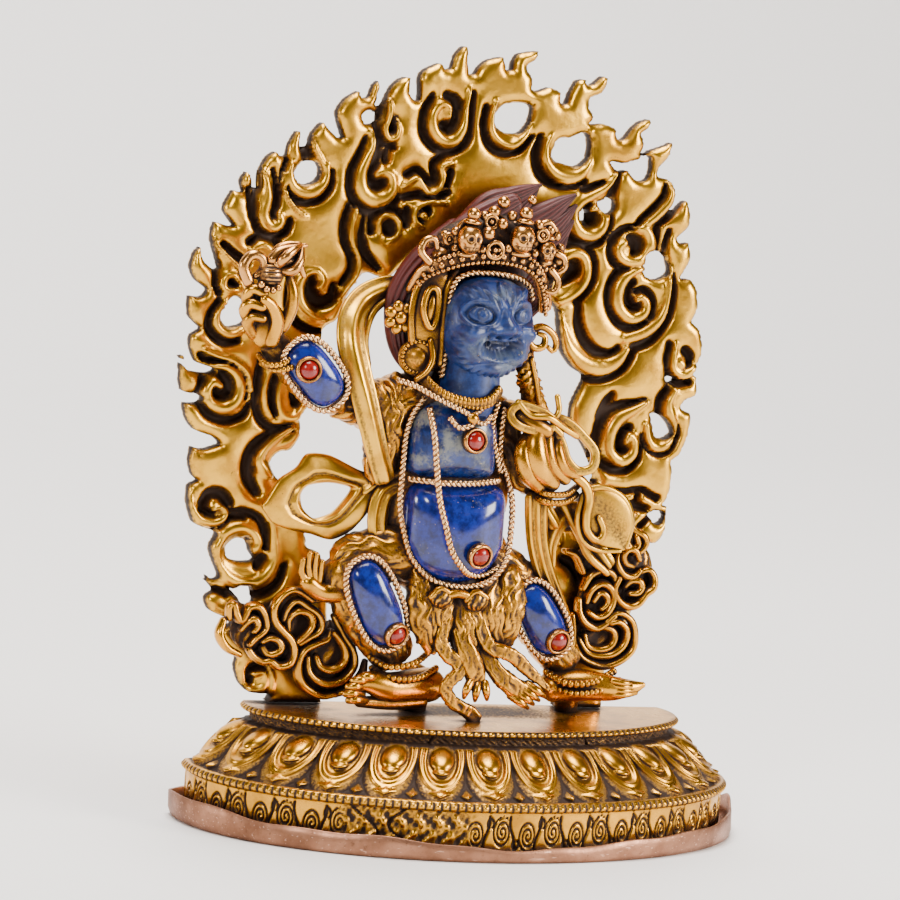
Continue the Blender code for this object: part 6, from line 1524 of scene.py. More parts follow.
# lowered left arm and hand
leftArm = [(-0.8, -3.4, 58.4), (1.8, -3.6, 54.6), (4.0, -4.0, 51.4), (6.2, -5.2, 50.2)]
add(stranded(sweep(solidRows(leftArm, [3.3, 3.0, 2.7, 2.2]), sides=64, spacing=0.3), 0.25, 1.2,
    (0.7, 0, -1)))
add(strip([(0.2, 60.4), (1.8, 59.6), (4.0, 58.6), (5.8, 57.8)], (-6, -8.6, -9.2), (1.6, 1.6, 1.2), sides=18))
shell = [
    ([(4.8, 58.6), (4.4, 55.8), (5.2, 52.6), (7.4, 50.4)], (1.0, 1.7, 1.9, 1.3)),
    ([(6.4, 58), (6.3, 55.6), (7.2, 52.8), (9.4, 51)], (0.7, 1.0, 1.1, 0.9)),
    ([(7.8, 56.8), (8.0, 54.8), (9.2, 52.4), (11.2, 51.6)], (0.6, 0.9, 0.9, 0.7)),
    ([(3.2, 57), (2.6, 54.4), (3.6, 51.6), (5.6, 49.8)], (0.8, 1.2, 1.3, 1.0)),
]
for route, widths in shell:
    add(strip(route, (-8.4, -9.6, -8.6), widths, sides=16, steps=5))
for lift in (0, 1.1):
    cuff = seen([(4.6, 50 - lift), (6.6, 48.8 - lift), (9.6, 48.8 - lift), (11.4, 50 - lift)],
        (-6.4, -9.4, -9.0, -6.6))
    add(sweep(solidRows(cuff, 0.5), sides=10))
    add(beadRow(cuff + np.array([0, -0.3, 0.1]), 0.6, 0.36))

# noose: two loops of flat cord
noose = []
noose.append(strip([(0.3, 60), (1.6, 61.3), (3.8, 60.8), (5.6, 60.2), (7.2, 58.8), (5.4, 57.6), (3.0, 57.9),
    (1.2, 58.6)], (-9.4, -9.8), 0.62, sides=12, closed=True, ridges=(1, 0.4)))
noose.append(strip([(7.4, 59.6), (9.6, 58.8), (11.8, 57), (13.6, 55), (13.4, 52.8), (11.4, 52.2),
    (9.6, 53.6), (8.6, 55.8), (7.6, 57.8)], (-8.6, -9.2, -8.6), 0.68, sides=12, closed=True,
    ridges=(1, 0.4)))
noose.append(strip([(1.4, 61.6), (3.4, 59.8), (6.2, 59.6), (8.6, 58.2), (10.6, 57.2)], (-9.4, -10.2, -9),
    0.5, sides=10))
noose.append(strip([(7.2, 62.6), (7.6, 60.6), (6.8, 58.8), (8.2, 57.4)], (-9.2, -9.8), 0.45, sides=10))

# the broad leaf and its curling stem
leafRows = [(13.2, 49.2), (14.6, 47.8), (16.4, 45.8), (18.2, 43.4), (19.4, 41.6)]
leaf = [strip(leafRows, -7.4, (0.9, 3.1, 4.1, 3.1, 0.8), (0.5, 0.8, 0.9, 0.8, 0.4), sides=40,
    ridges=(1, 0.25), spacing=0.25)]
leaf.append(strip([(10.8, 51.6), (12.6, 50.2), (13.4, 48.4), (13.2, 46), (13.6, 43.6), (15.2, 42.4),
    (16, 43.8), (15.2, 45.6)], -8.4, (0.8, 0.6, 0.5), sides=12))
leaf.append(strip([(12.6, 49.6), (15.6, 50), (18.6, 48.6), (20.2, 45.6), (19.8, 41.6)], -7.6,
    (0.5, 0.42, 0.3), sides=10))
leaf.append(strip([(12.4, 48.8), (11.9, 45.4), (12.9, 42.4), (15.4, 41), (18.8, 41)], -7.6,
    (0.5, 0.42, 0.3), sides=10))

# thighs, knees and shins
limbs = [
    ([(-8, -4, 38.5), (-14.5, -4.2, 39.2), (-20.0, -4.2, 37.2)], (4.4, 4.0, 4.4), (4.0, 3.6, 3.0),
        (1, 0, 0.1)),
    ([(-20.4, -4.2, 36.6), (-17.4, -4.4, 31.2), (-13.2, -4.0, 25.4)], (4.6, 4.2, 3.4), (3.0, 2.8, 2.6),
        (-0.5, 0, 1)),
    ([(-2, -4, 38), (3.0, -4.2, 37), (6.0, -4.4, 34.8)], (4.2, 3.4, 3.1), None, (1, 0, -0.3)),
    ([(6.0, -4.2, 34.6), (8.6, -4.2, 30), (12.6, -3.8, 25.2)], (3.4, 3.6, 3.1), (3.0, 3.0, 2.8),
        (-0.5, 0, 1)),
]
for route, widths, depths, along in limbs:
    add(stranded(sweep(solidRows(route, widths, depths), sides=66, spacing=0.36), 0.25, 1.3, along))

# anklets of two rows of beads, feet and the posts under them
anklets = [
    ([(-17.6, 25), (-14.6, 23.6), (-11, 24.2), (-8.6, 26)], 0.5),
    ([(-17.2, 23.4), (-13.6, 22.0), (-10, 22.2), (-7.6, 23.6)], 0.5),
    ([(9.2, 23.4), (12.4, 21.8), (16.4, 22), (19.6, 23.6)], 0.55),
    ([(9.6, 21.8), (13.2, 20.4), (17.6, 20.8), (20.6, 22.4)], 0.5),
]
for route, radius in anklets:
    ring = seen(route, (-5.2, -8.2, -8.0, -5.4))
    add(beadRow(ring, radius * 1.55, radius))
    add(sweep(solidRows(ring + np.array([0, 0.3, 0]), radius * 0.8), sides=10))
add(strip([(-8.6, 21.2), (-11.4, 21.0), (-14.4, 20.8), (-17.2, 21.4), (-19.0, 21.2)], (-4.2, -6.4, -7.4),
    (2.5, 2.3, 2.1, 1.7, 0.9), sides=32))
add(strip([(-9.6, 19.0), (-14.2, 18.6), (-18.6, 18.6)], (-5.0, -6.6), (1.2, 1.1, 0.8), sides=20))
for x, z, radius in ((-18.6, 22.2, 0.75), (-19.7, 21.7, 0.7), (-20.4, 20.8, 0.68), (-20.7, 19.8, 0.66),
    (-20.2, 18.9, 0.66)):
    add(strip([(x + 2.4, z - 0.1), (x + 1.0, z), (x, z - 0.1)], (-7.0, -8.2, -7.8),
        (0.6, radius, radius * 0.8), sides=14))
add(sweep(solidRows([(-8.2, -1.6, 17.0), (-8.4, -1.8, 21)], [2.0, 2.3]), sides=20, ridges=(5, 0.06)))
add(strip([(10.6, 21.4), (15, 21.6), (19.6, 21.2), (22.6, 21.4), (24.2, 21.8)], (-4.6, -6.8, -7.4),
    (2.4, 2.3, 1.8, 1.1, 0.45), (2.3, 2.2, 1.7, 1, 0.4), sides=26))
for k in range(4):
    add(strip([(19.4, 20.4 + 0.62 * k), (21.4, 20.3 + 0.55 * k), (23.2 - 0.3 * k, 20.6 + 0.5 * k)],
        (-7.8, -8.2, -7.6), (0.5, 0.5, 0.36), sides=10))
add(sweep(solidRows([(15.6, -0.8, 17.0), (15.2, -1.4, 21)], [1.7, 2.2], [1.5, 2.0]), sides=18))

# hide skirt: strips of strands, two bows with their knot, and the hanging tails with paws
skirt = [
    ([(-10.4, 37.2), (-10.4, 33), (-9.6, 29), (-8.6, 26.2)], (2.4, 2.4, 2.0, 1.0)),
    ([(-7.6, 36.4), (-7.8, 32), (-7.2, 28)], (2.2, 2.2, 1.6)),
    ([(-4.6, 36), (-4.2, 31), (-3.2, 26.4), (-2.4, 24)], (2.4, 2.6, 2.2, 1.2)),
    ([(-1.4, 36.2), (-0.2, 31.6), (0.8, 28.2)], (2.4, 2.4, 1.8)),
    ([(1.8, 37.2), (2.6, 33.6), (2.6, 30), (2.6, 27.6)], (2.2, 2.4, 2.0, 1.2)),
]
for k, (route, widths) in enumerate(skirt):
    part = strip(route, (-7.2, -8.6, -8.2), widths, np.array(widths) * 0.7, sides=48, spacing=0.3)
    add(stranded(part, 0.28, 1.15, (-0.25 + 0.12 * k, 0, 1)))
for x, z, tilt in ((-7.7, 33.6, 14), (-2.4, 33.3, -10)):
    bow = seen([(x, z)], -10.0)[0]
    add(blob(bow, (1.75, 1.0, 1.35), tilt, rows=22, columns=30, relief=furRelief(2, 1.6, 0.16, 0.6)))
    add(strip([(x - 1.5, z + 0.1), (x - 0.2, z + 1.35), (x + 1.5, z + 0.5)], -10.4, 0.42, sides=10))
add(strip([(-6.4, 34.1), (-5.2, 34.3), (-3.8, 34)], -10.2, (0.7, 0.6), sides=14))
tails = [
    ([(-7.2, 32.6), (-6.9, 30), (-7.2, 27.4), (-6.2, 25.7), (-4.6, 24.6), (-4.0, 23.2), (-5.2, 22),
        (-5.9, 20.6), (-4.8, 18.9), (-3.2, 18), (-1.9, 17.3), (-1.2, 16.6)],
        (0.9, 1.0, 1.1, 1.0, 0.95, 1.0, 1.2)),
    ([(-3.0, 32.4), (-1.6, 30), (-0.8, 28.2), (0.4, 26.6), (2.4, 26.1), (4.2, 25.3), (6.2, 23.6), (8, 22.2),
        (9.8, 20.8)], (0.9, 1.1, 1.1, 1.05, 1.1, 0.85, 0.3)),
    ([(-4.6, 29), (-3.4, 26.4), (-2.0, 23.6), (-1.3, 21.4)], (1.2, 1.5, 1.6, 1.3)),
    ([(-0.6, 26), (1.4, 23.4), (3.7, 21.5), (6.4, 20.2)], (1.2, 1.3, 1.5, 1.4)),
]
for route, widths in tails:
    part = strip(route, (-9.2, -10.2, -9.8), widths, np.array(widths) * 0.8, sides=30, ridges=(1, 0.3),
        spacing=0.28, sink=0.3)
    add(stranded(part, 0.10, 1.0, (-0.2, 0, 1), 0.35))
for x, z, lean in ((-2.3, 21.0, -0.5), (-1.2, 20.6, -0.1), (-0.1, 20.8, 0.35)):
    add(strip([(x, z + 0.7), (x + lean, z - 0.5), (x + 1.5 * lean, z - 1.5)], (-10.6, -11.2, -10.6),
        (0.66, 0.6, 0.3), sides=12))
for k in range(4):
    x, z = 5.6 + 0.8 * k, 18.9 + 0.55 * k
    add(strip([(x - 1.6, z + 1.0), (x, z), (x + 1.1, z - 0.7)], (-10.0, -10.8, -10.2), (0.65, 0.6, 0.3),
        sides=12))

# small hand above the left scrolls
add(strip([(-22.4, 34.2), (-25.4, 34), (-27.6, 35.2)], (-5, -5.4), (1.9, 1.4, 1.3), sides=18))
for k, tip in enumerate([(-28.6, 38.4), (-27.7, 39.3), (-26.7, 39.2), (-25.8, 38.2)]):
    add(strip([(-27.9 + 0.6 * k, 35.6), (tip[0] - 0.1, tip[1] - 1.8), tip], (-5.6, -6.0), (0.65, 0.5, 0.4),
        sides=10))
makePiece("figure_body", figureParts, gilt["gilt_figure"], ["deity_figure"])
makePiece("noose_and_leaf", noose + leaf, gilt["gilt_aureole"], ["deity_figure"])
makePiece("throat_ropes", ropes, gilt["wire_gilt"], ["deity_figure"])

# thunderbolt in the raised hand
vajra = []
heart = seen([(-36.6, 77.6)], -8.2)[0]
vajra.append(blob(heart, (1.9, 1.7, 1.9), rows=24, columns=36, relief=furRelief(6, 6, 0.05)))
vajra.append(sweep(solidRows([heart + np.array([-1.6, 0.4, -3.4]), heart, heart + np.array([3.0, 0, 2.6])],
    [0.8, 0.9, 0.8]), sides=16))
for k in range(5):
    a = 2 * math.pi * k / 5 + 0.4
    spread = np.array([math.cos(a) * 0.6, math.sin(a), -math.cos(a) * 0.7])
    root = heart + np.array([1.0, 0, 1.0])
    prong = [root + spread * 0.6, root + spread * 2.0 + np.array([0.9, 0, 0.8]),
        root + spread * 1.7 + np.array([2.1, 0, 2.0]), root + spread * 0.4 + np.array([3.1, 0, 3.2])]
    vajra.append(sweep(solidRows(prong, (0.6, 0.72, 0.6, 0.35)), sides=12))
vajra.append(strip([(-39.6, 76.6), (-40.4, 78.6), (-39.4, 80.2), (-37.8, 79.8), (-37.6, 78.2),
    (-38.6, 77.4)], -8.4, (0.8, 0.7, 0.5), sides=12))
vajra.append(strip([(-36.4, 79.8), (-35.4, 80.9), (-33.6, 81.4), (-31.8, 81.9)], (-8.8, -8.4),
    (0.8, 0.7, 0.35), sides=12))
vajra.append(strip([(-35.6, 79.2), (-34.2, 79.6), (-32.6, 79.2), (-31.7, 77.8)], (-9.0, -8.4),
    (0.75, 0.7, 0.4), sides=12))
vajra.append(beads(seen([(-37.6, 76.2), (-36.8, 75.6), (-35.9, 75.5), (-35.1, 75.9)], -9.8), 0.5))
makePiece("thunderbolt", vajra, gilt["rose_gilt"], ["deity_figure"])
print("body ready")


# a skull from the front: round brow, two sockets, nose hole, cheek bones and a toothed jaw
def skullRelief(d):
    x, z = d[:, 0], d[:, 2]
    front = np.clip(-d[:, 1] * 3 - 0.3, 0, 1)
    socket = np.exp(-((np.hypot((np.abs(x) - 0.36) / 0.23, (z - 0.05) / 0.22)) ** 4))
    nose = np.exp(-((np.hypot(x / 0.10, (z + 0.30) / 0.13)) ** 4))
    teeth = np.exp(-(((z + 0.62) / 0.10) ** 4)) * (0.5 + 0.5 * np.cos(x * 26)) * (np.abs(x) < 0.5)
    cheek = np.exp(-(((np.abs(x) - 0.85) / 0.22) ** 2) - ((z + 0.5) / 0.3) ** 2)
    rise = -0.30 * socket - 0.2 * nose + 0.07 * teeth - 0.16 * cheek
    # dark in the sockets, the nose hole and between the teeth: painted shade and dirt
    dirtAndShade = (socket + nose + 0.5 * (1 - teeth) * (np.abs(z + 0.62) < 0.12)) * front
    return rise * front, np.clip(dirtAndShade, 0, 1)


crownParts = []
add = crownParts.append
# places read on the plane y = -8, with the depth and size of each skull
skullPlaces = [(-11.8, 81.4, -7.4, 1.45), (-7.8, 84.0, -10.0, 1.85), (-0.1, 84.5, -10.4, 1.85),
    (3.7, 83.0, -8.6, 1.4)]
for x, z, y, radius in skullPlaces:
    place = seen([(x, z)], y)[0]
    add(blob(place, (radius * 0.98, radius * 0.9, radius * 1.12), rows=36, columns=48, relief=skullRelief,
        turnZ=8))
    top = place + np.array([0.2, 0.2, radius * 1.2])
    add(turned(top, (0.1, 0, 1),
        [(0.1, -0.2), (radius * 0.62, -0.1), (radius * 0.75, 0.2), (radius * 0.5, 0.5),
        (radius * 0.34, 0.8), (0.1, 1.0)], 20))
    add(blob(top + np.array([0.12, 0, 1.25]), (radius * 0.52,) * 3, rows=14, columns=20))
    add(blob(place + np.array([0, 0.4, -radius * 1.15]), (radius * 0.9, 0.8, 0.6), rows=10, columns=18))
band = seen([(-15.8, 76.6), (-14.4, 79), (-12, 80.2), (-8.4, 81.4), (-4, 81.9), (0, 81.4), (2.6, 79.8),
    (3.8, 77.2), (4.2, 75)], (-5, -8.6, -9.6, -8.8, -5))
add(sweep(solidRows(band, 1.05, 0.7), sides=18, ridges=(1, 0.3)))
add(beadRow(band + np.array([0, -0.6, 0.9]), 0.72, 0.38))
add(beadRow(band + np.array([0, -0.6, -0.8]), 0.72, 0.34))
add(beads(evenPath(smoothPath(band, 6), 1.5) + np.array([0, -0.85, 0.05]), 0.46))
# balls, flowers, the ring ornament and the curls between the skulls
balls = [
    (-5.2, 85, -10.6, 0.95), (-4.6, 88, -9.4, 0.9), (-3.3, 89.4, -9, 0.9), (-3.2, 86.4, -10.2, 0.8),
    (-1.9, 87.6, -9.6, 0.75), (2.2, 86.6, -9, 0.7), (4.9, 85.2, -8, 0.75),
    (5.6, 81.8, -7.6, 0.95), (4.2, 79, -7, 0.9), (4.1, 76.2, -6.4, 0.8), (-9.9, 82.6, -8.8, 0.7),
    (-10, 85, -8.6, 0.7), (1.9, 82.6, -9.6, 0.6), (-5.9, 82.7, -10, 0.6), (-13.6, 83, -7, 0.6),
    (-6, 87.4, -9.4, 0.7), (0.9, 90, -9, 0.65), (5.7, 83.6, -7.6, 0.6), (-2.1, 83, -10.2, 0.6),
]
for x, z, y, radius in balls:
    add(blob(seen([(x, z)], y)[0], (radius, radius, radius), rows=12, columns=18))
for x, z, y, radius in ((-4.0, 82.7, -10.4, 1.15), (-4.9, 86.6, -9.8, 0.9), (2.9, 85.2, -9.2, 0.8),
    (-10.9, 83.9, -8.2, 0.7), (5.1, 80.2, -7.6, 0.8)):
    centre = seen([(x, z)], y)[0]
    a = np.linspace(0, 2 * math.pi, 13)[:-1]
    add(sweep(solidRows(centre + radius * np.column_stack([np.cos(a), 0 * a, np.sin(a)]), 0.34), sides=10,
        closed=True))
    add(blob(centre, (0.4, 0.4, 0.4), rows=8, columns=12))
for k in range(6):
    place = seen([(-12.6 - 0.55 * k, 81.6 - 0.75 * k)], -6.8 + 0.25 * k)[0]
    add(blob(place, (0.85, 0.55, 0.42), 35 + 6 * k, rows=10, columns=16))
curls = [
    [(-13.6, 80.6), (-14.9, 82), (-14.4, 83.6), (-13, 83.8), (-12.6, 82.6)],
    [(-9.8, 83.6), (-9.5, 85.6), (-8.4, 86.6), (-7.2, 86)],
    [(-6, 84), (-5.6, 86.4), (-4.2, 87.4), (-2.9, 86.8)],
    [(1.8, 84), (2.4, 86.4), (3.8, 87), (4.8, 86)], [(5.2, 82.8), (6.4, 82.2), (6.6, 80.8), (5.6, 80)],
    [(4.6, 80.4), (5.8, 79), (5.4, 77.4), (4.2, 77.4)],
]
for route in curls:
    add(strip(route, -8.4, (0.6, 0.5, 0.35), sides=10))
# the ground between them, filled with small balls that follow the crown's arch and shrink towards its top
ground = []
for row in range(5):
    for k in range(21 - 2 * row):
        x = -13.0 + 0.55 * row + k * 0.94 + 0.4 * math.sin(3.1 * k + 1.7 * row)
        arch = 82.2 - 0.021 * (x + 3.6) ** 2 + (0.10 if x < -3.6 else -0.06) * (x + 3.6)
        ground.append((x, arch + 1.05 * row + 0.3 * math.sin(2.3 * k + row),
            -8.9 + 0.012 * (x + 3.6) ** 2 + 0.22 * row))
for x, z, y in ground:
    add(blob(seen([(x, z)], y)[0], (0.62, 0.6, 0.55), 20 * math.sin(5 * x), rows=8, columns=12))
# a darkened mass behind the ornaments: painted shade between them
add(blob(seen([(-4.6, 84.2)], -6.8)[0], (8.4, 2.4, 3.4), -4, rows=20, columns=36, grimeAndShade=0.6))
makePiece("skull_crown", crownParts, gilt["rose_gilt"], ["deity_figure"])

# hair streaming up and back in combed locks
hairParts = []
locks = [
    ([(-15.2, 65.4), (-16.7, 68.2), (-17.5, 71.4), (-17.2, 75.2), (-15.4, 78.6), (-12.4, 81.6),
        (-9.2, 84.2)], -3.4, (0.8, 1.6, 2.0, 2.5, 2.9, 3.2, 3.2)),
    ([(-14.6, 77.4), (-11.6, 82), (-8, 85.6), (-4.4, 88), (-1.6, 89.6)], -4.4, (1.6, 2.4, 2.4, 2.2, 1.4)),
    ([(-9.6, 84.6), (-5.6, 88.6), (-2.4, 90.2), (-0.2, 91.2), (2.0, 92.2)], -3.0, (1.8, 2.2, 1.6, 1.1, 0.3)),
    ([(-8, 83.6), (-4.2, 87), (-1.6, 88.6), (0.2, 90.2), (1.6, 91.6)], -2.4, (2.6, 2.4, 1.8, 1.2, 0.3)),
    ([(-3, 83), (0.4, 86.4), (3.4, 88.4), (5.4, 89.8), (7.4, 91.1)], -2.4, (2.6, 2.4, 1.8, 1.2, 0.3)),
    ([(-1, 82.2), (2.6, 85.2), (5.0, 87), (7.6, 89.6)], -2.2, (2.6, 2.2, 1.7, 0.35)),
    ([(0.4, 80.8), (3.2, 83.2), (5.4, 85.2), (7.3, 87.4)], -2.4, (2.2, 2.0, 1.4, 0.35)),
    ([(1.0, 79), (3.6, 81.2), (5.2, 82.8), (6.6, 85.2)], -2.6, (2.0, 1.7, 1.2, 0.3)),
    ([(1.2, 77.4), (3.4, 79.4), (4.8, 80.9), (5.9, 83)], -2.8, (1.7, 1.5, 1.1, 0.3)),
    ([(1.4, 75.8), (3.2, 77.6), (4.4, 79), (5.3, 80.9)], -3.0, (1.4, 1.2, 0.9, 0.3)),
    ([(1.2, 74), (3.0, 75.6), (4.0, 76.8), (4.9, 78.6)], -3.2, (1.2, 1.0, 0.8, 0.3)),
]
for route, y, widths in locks:
    widths = np.array(widths)
    hairParts.append(strip(route, y, widths, widths * 0.5 + 0.2, sides=64, steps=6, ridges=(9, 0.16),
        spacing=0.35))
# a darkened mass behind the locks: painted shade between them
hairParts.append(blob(seen([(-5, 77)], -2.4)[0], (7.8, 2.2, 8.6), -8, rows=24, columns=30, grimeAndShade=0.5))
makePiece("combed_hair", hairParts, gilt["hair_red"], ["deity_figure"])
print("head ready")

# Scarves
scarfParts = []
add = scarfParts.append
# the band that comes from behind the head and falls in front of the raised arm
headBand = [(-17.6, 77.2), (-20.4, 76.6), (-23, 75), (-24.3, 72.4), (-24.2, 69.2), (-22.9, 65.1),
    (-21.4, 61), (-20, 56.9), (-18.8, 53.4), (-17.6, 50.2)]
add(strip(headBand, (-1.9, -2.4, -5.6, -7.6, -7.8, -6.4), (1.4, 1.9, 2.1, 2.1, 1.9, 1.7, 1.6),
    (0.7, 0.8, 0.8), sides=40, ridges=(2, 0.45), sink=0.6))
add(strip([(-19, 75.4), (-21.4, 73.2), (-22.2, 69.6), (-21.4, 66)], -3.0, (0.5, 0.6, 0.4), sides=10))
# the teardrop loop behind the hip, with a pointed end: its outer and its inner outline
outerLoop = [
    (-35.6, 45.8), (-35.0, 46.9), (-33.4, 49.6), (-30.8, 51.3), (-29.2, 53.2), (-25.8, 53.1), (-21.3, 51.2),
    (-17.2, 50.4), (-16.9, 49.2),
    (-19.0, 46.8), (-22.0, 42.8), (-24.8, 41.3), (-27.9, 42.0), (-30.8, 42.5), (-33.6, 43.4), (-35.0, 44.9),
]
innerLoop = [(-29.9, 47.5), (-29.0, 48.8), (-26.5, 49.3), (-24.6, 49.2), (-22.6, 48.6), (-23.8, 46.6),
    (-25.2, 45.1), (-27.6, 44.3), (-29.4, 45.6)]


# a flat ribbon between two outlines round one middle: at each angle a rounded section reaches from one to
# the other, with a raised rim beside the opening and a groove next to it
def ribbonLoop(outer, inner, middle, y, half):
    turn = np.linspace(-math.pi, math.pi, 161)[:-1]
    edges = []
    for outline in (outer, inner):
        path = seen(smoothPath(outline, 12, True, 0.4), y) - seen([middle], y)
        angle = np.arctan2(path[:, 2], path[:, 0])
        order = np.argsort(angle)
        reach = np.interp(turn, angle[order], np.hypot(path[order, 0], path[order, 2]), period=2 * math.pi)
        edges.append(np.column_stack([reach * np.cos(turn), 0 * turn, reach * np.sin(turn)]))
    around = fullTurn(40)
    share = 0.5 - 0.5 * np.cos(around)
    rim = 0.40 * np.exp(-(((share - 0.84) / 0.09) ** 2)) - 0.35 * np.exp(-(((share - 0.68) / 0.07) ** 2))
    level = -np.sign(np.sin(around)) * half * np.abs(np.sin(around)) ** 0.5 - rim * (np.sin(around) > 0)
    rings = edges[0][:, None] + (edges[1] - edges[0])[:, None] * share[:, None] + seen([middle], y)
    rings[..., 1] += level - 0.6 * (1 - share)[None] * np.cos(turn * 2)[:, None]
    # the groove beside the rim darkened: painted shade and dirt
    dirtAndShade = 0.7 * np.exp(-(((share - 0.68) / 0.06) ** 2)) * (np.sin(around) > 0)
    return rings.reshape(-1, 3), gridFaces(160, 40, True, True)[:, ::-1], noTriangles, np.tile(dirtAndShade, 160)


add(ribbonLoop(outerLoop, innerLoop, (-26.6, 47.0), -3.2, 0.8))
add(strip([(-14.6, 49.6), (-17.4, 48.2), (-18.2, 45), (-17.8, 42), (-16.8, 40)], -5.0, (1.2, 1.5, 1.5, 1.2),
    0.8, sides=30, ridges=(3, 0.4)))
add(strip([(-14.4, 51.4), (-17.6, 50.4), (-20.4, 48.4)], (-5, -3.4), (1.4, 1.6, 1.4), 0.8, sides=24,
    ridges=(2, 0.4)))
# the ribbed band that falls from the left hand, and the arching ribbon beside it
fall = [(5.4, 48.4), (5.6, 45.4), (6.2, 41.6), (7.6, 37.6), (9.4, 34), (11, 30.8), (12, 27.4)]
add(strip(fall, (-7.4, -6.4, -5.6), (1.8, 1.7, 1.6, 1.5, 1.4, 1.3), 0.8, sides=48, ridges=(4, 0.4)))
arch = [(8.0, 38.6), (7.8, 42), (9.2, 45.4), (11.6, 46.2), (13.4, 44), (15.2, 41.4), (17.2, 39)]
add(strip(arch, -4.6, (1.2, 1.6, 1.8, 1.7, 1.5, 1.3), 0.7, sides=36, ridges=(2, 0.4)))
add(strip([(9.6, 47.4), (12.4, 43.4), (14.2, 40.2), (17.2, 37.8)], -5.4, (0.8, 0.7, 0.5), sides=14))
add(strip([(6.2, 50), (6.6, 47), (8.4, 44.6)], -6.0, (1.6, 1.4, 1.0), 0.8, sides=24, ridges=(2, 0.4)))
makePiece("scarf_bands", scarfParts, gilt["gilt_aureole"], ["deity_figure"])

# rolled scarf ends, read on the plane y = 1.8: rims are the ribbon's raised edges
leftScrolls = [
    [(-35.2, 28.4), (-35.3, 30), (-34.7, 30.5), (-34.2, 29), (-33.5, 28), (-32.9, 29), (-32.4, 30),
        (-31, 30.1), (-30, 28.8), (-29.7, 27), (-31.2, 25.5), (-31.8, 24.7)],
    [(-33.3, 26.9), (-32.5, 28), (-31.5, 28.4), (-30.9, 27.5), (-31.3, 26.6)],
    [(-32, 24), (-31.2, 23), (-29.8, 22.3), (-28.8, 22.5), (-27.5, 21.7), (-26, 22), (-25.4, 23.2),
        (-25.4, 24.4), (-26, 25.6), (-27.3, 26.8), (-28.4, 28), (-28.8, 29.5), (-28.3, 31), (-27, 32.3),
        (-25.7, 32.6), (-24.5, 32.1), (-23.2, 31.2)],
    [(-30, 24.3), (-29.4, 23.5), (-28.3, 23.5), (-27.3, 24.3), (-27.7, 25.3), (-28.9, 25.7), (-30, 25.2)],
    [(-27.3, 28.4), (-26.8, 30), (-25.5, 31.2), (-23.8, 30.2), (-22.3, 29.3), (-21.6, 28), (-22, 26.7),
        (-23.2, 25.9), (-24.5, 25)],
    [(-26.5, 26.9), (-26.5, 28.5), (-25.5, 29.5), (-24.2, 29.6), (-23.1, 28.8), (-23, 27.5), (-23.8, 26.3),
        (-24.8, 25.3)],
    [(-20.2, 26.8), (-20.6, 25.7), (-22, 25.1), (-23.8, 24.2), (-24.5, 22.7), (-24.5, 21), (-23.8, 19.3),
        (-22.2, 18.1), (-20.5, 17.5), (-18.7, 17.8)],
    [(-23.3, 23), (-23, 21.2), (-22, 20), (-20.2, 19.3), (-18.2, 19.7), (-16.9, 20.8), (-16.2, 22.3),
        (-16.7, 24.3), (-18, 26), (-19, 27.7), (-19.8, 29)],
    [(-22, 23.1), (-21.3, 21.8), (-19.7, 21.3), (-18.2, 22), (-17.6, 23.5), (-18.2, 25), (-19.5, 26.6)],
    [(-18.7, 17.8), (-16.6, 18.8), (-15, 20.6), (-14.6, 22.6)],
    [(-36, 28), (-36.4, 26), (-35.2, 24.2), (-33.2, 23.2)], [(-23.4, 31.2), (-21.4, 31.6), (-19.6, 30.8)],
]
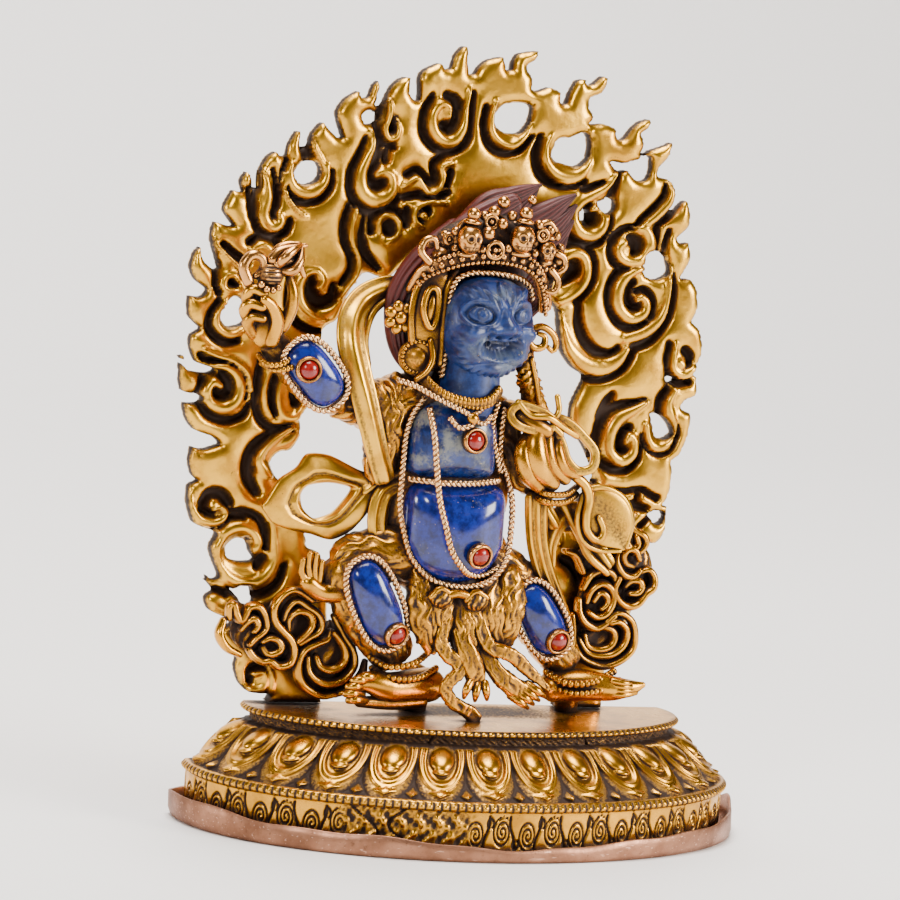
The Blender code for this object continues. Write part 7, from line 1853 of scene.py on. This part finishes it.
rightScrolls = [
    [(24, 43.5), (24.8, 42.5), (26, 42), (26.6, 41), (26, 39.8), (25, 39.2)],
    [(23.4, 41.8), (23.8, 40.5), (24.8, 40), (25.4, 40.8), (25, 41.8)],
    [(24.8, 37.4), (23.6, 37.9), (23.2, 39), (24, 39.9), (25.2, 39.6), (25.8, 38.4)],
    [(22.5, 39.6), (22.2, 38.2), (22.8, 36.9), (23.8, 36), (25.2, 35.9), (26.1, 36.8)],
    [(24, 34.5), (24.7, 35.3), (26, 35.3), (26.5, 34.4), (26, 33.5), (24.8, 33.4)],
    [(26, 36.6), (27.4, 37), (28.4, 35.8), (28.3, 34.3), (27.3, 33.5), (26.8, 32.7), (26, 31.8),
        (24.5, 31.5), (23, 32.5), (22.4, 34), (23, 35.5)],
    [(17.5, 34), (18.5, 36), (20.3, 36.8), (22, 36), (22.5, 34.5)],
    [(17, 32.3), (17.2, 30.5), (18.2, 29), (20, 28.2), (21.5, 29), (22.8, 30)],
    [(18.2, 32), (18.8, 33.8), (20.3, 34.8), (21.8, 34), (22.3, 32.5), (21.5, 30.5), (20, 29.8),
        (18.7, 30.5)], [(19.3, 32.2), (20.1, 33.5), (21.2, 32.9), (21.4, 31.8), (20.6, 31)],
    [(16.2, 30), (16.5, 28), (16.7, 26), (18, 24), (20, 23), (21.5, 22.7), (23, 23), (24.8, 24), (26, 25.5),
        (26.1, 27.5), (25.5, 29.3), (24, 30.4), (22.7, 30.4), (21.5, 29.2)],
    [(17.5, 26.5), (18.8, 24.8), (20.5, 24.2), (22.8, 24.5), (24.5, 26), (24.8, 28), (23.5, 29.2),
        (22.2, 29)], [(18.3, 27.2), (18.9, 25.6), (20.7, 25.1), (22.4, 25.7), (23, 27), (22.5, 28),
        (21.2, 28.4), (19.6, 28.4)],
    [(14, 42.6), (15.3, 42.7), (16.5, 41.2), (18.5, 39.5), (20.3, 38.5), (21.3, 37.3)],
    [(17.3, 36.4), (15.9, 38.8), (14.3, 39.3)], [(21.6, 42.6), (22.8, 44.2), (24.4, 45)],
    [(20.4, 40.4), (21.6, 41.4), (21.8, 42.8), (20.8, 43.6)],
]
scrollParts = []
scrolls = {"plane": 1.8, "rootY": -2.4, "coreY": -0.9}
for group in (leftScrolls, rightScrolls):
    for k, route in enumerate(group):
        depths = (scrolls["rootY"], scrolls["rootY"] - 0.5 - 0.25 * (k % 3))
        widths, heights = (0.5, 0.68, 0.64, 0.45), (0.9, 1.25, 1.1, 0.8)
        scrollParts.append(strip(route, depths, widths, heights, plane=scrolls["plane"], sides=14, steps=5))
# the full forms under them: x, z, half width, half height
scrollCores = [
    (-31.6, 27, 3.4, 3.2), (-26.6, 26.4, 4.6, 4.8), (-20.4, 23, 4.4, 5.0), (-28.6, 24.2, 3.2, 2.0),
    (20.8, 31.8, 4.0, 4.6), (21.2, 26.4, 4.6, 3.6), (24.8, 36.4, 3.2, 4.6), (19.4, 38, 3.4, 2.8),
]
for x, z, wide, tall in scrollCores:
    place = seen([(x, z)], scrolls["coreY"], scrolls["plane"])[0]
    scrollParts.append(blob(place, (wide, 1.5, tall), rows=24, columns=36,
        relief=furRelief(3, 2, 0.12, 0.8)))
makePiece("rolled_scarf_ends", scrollParts, gilt["gilt_figure"], ["deity_figure"])
print("scarves ready")
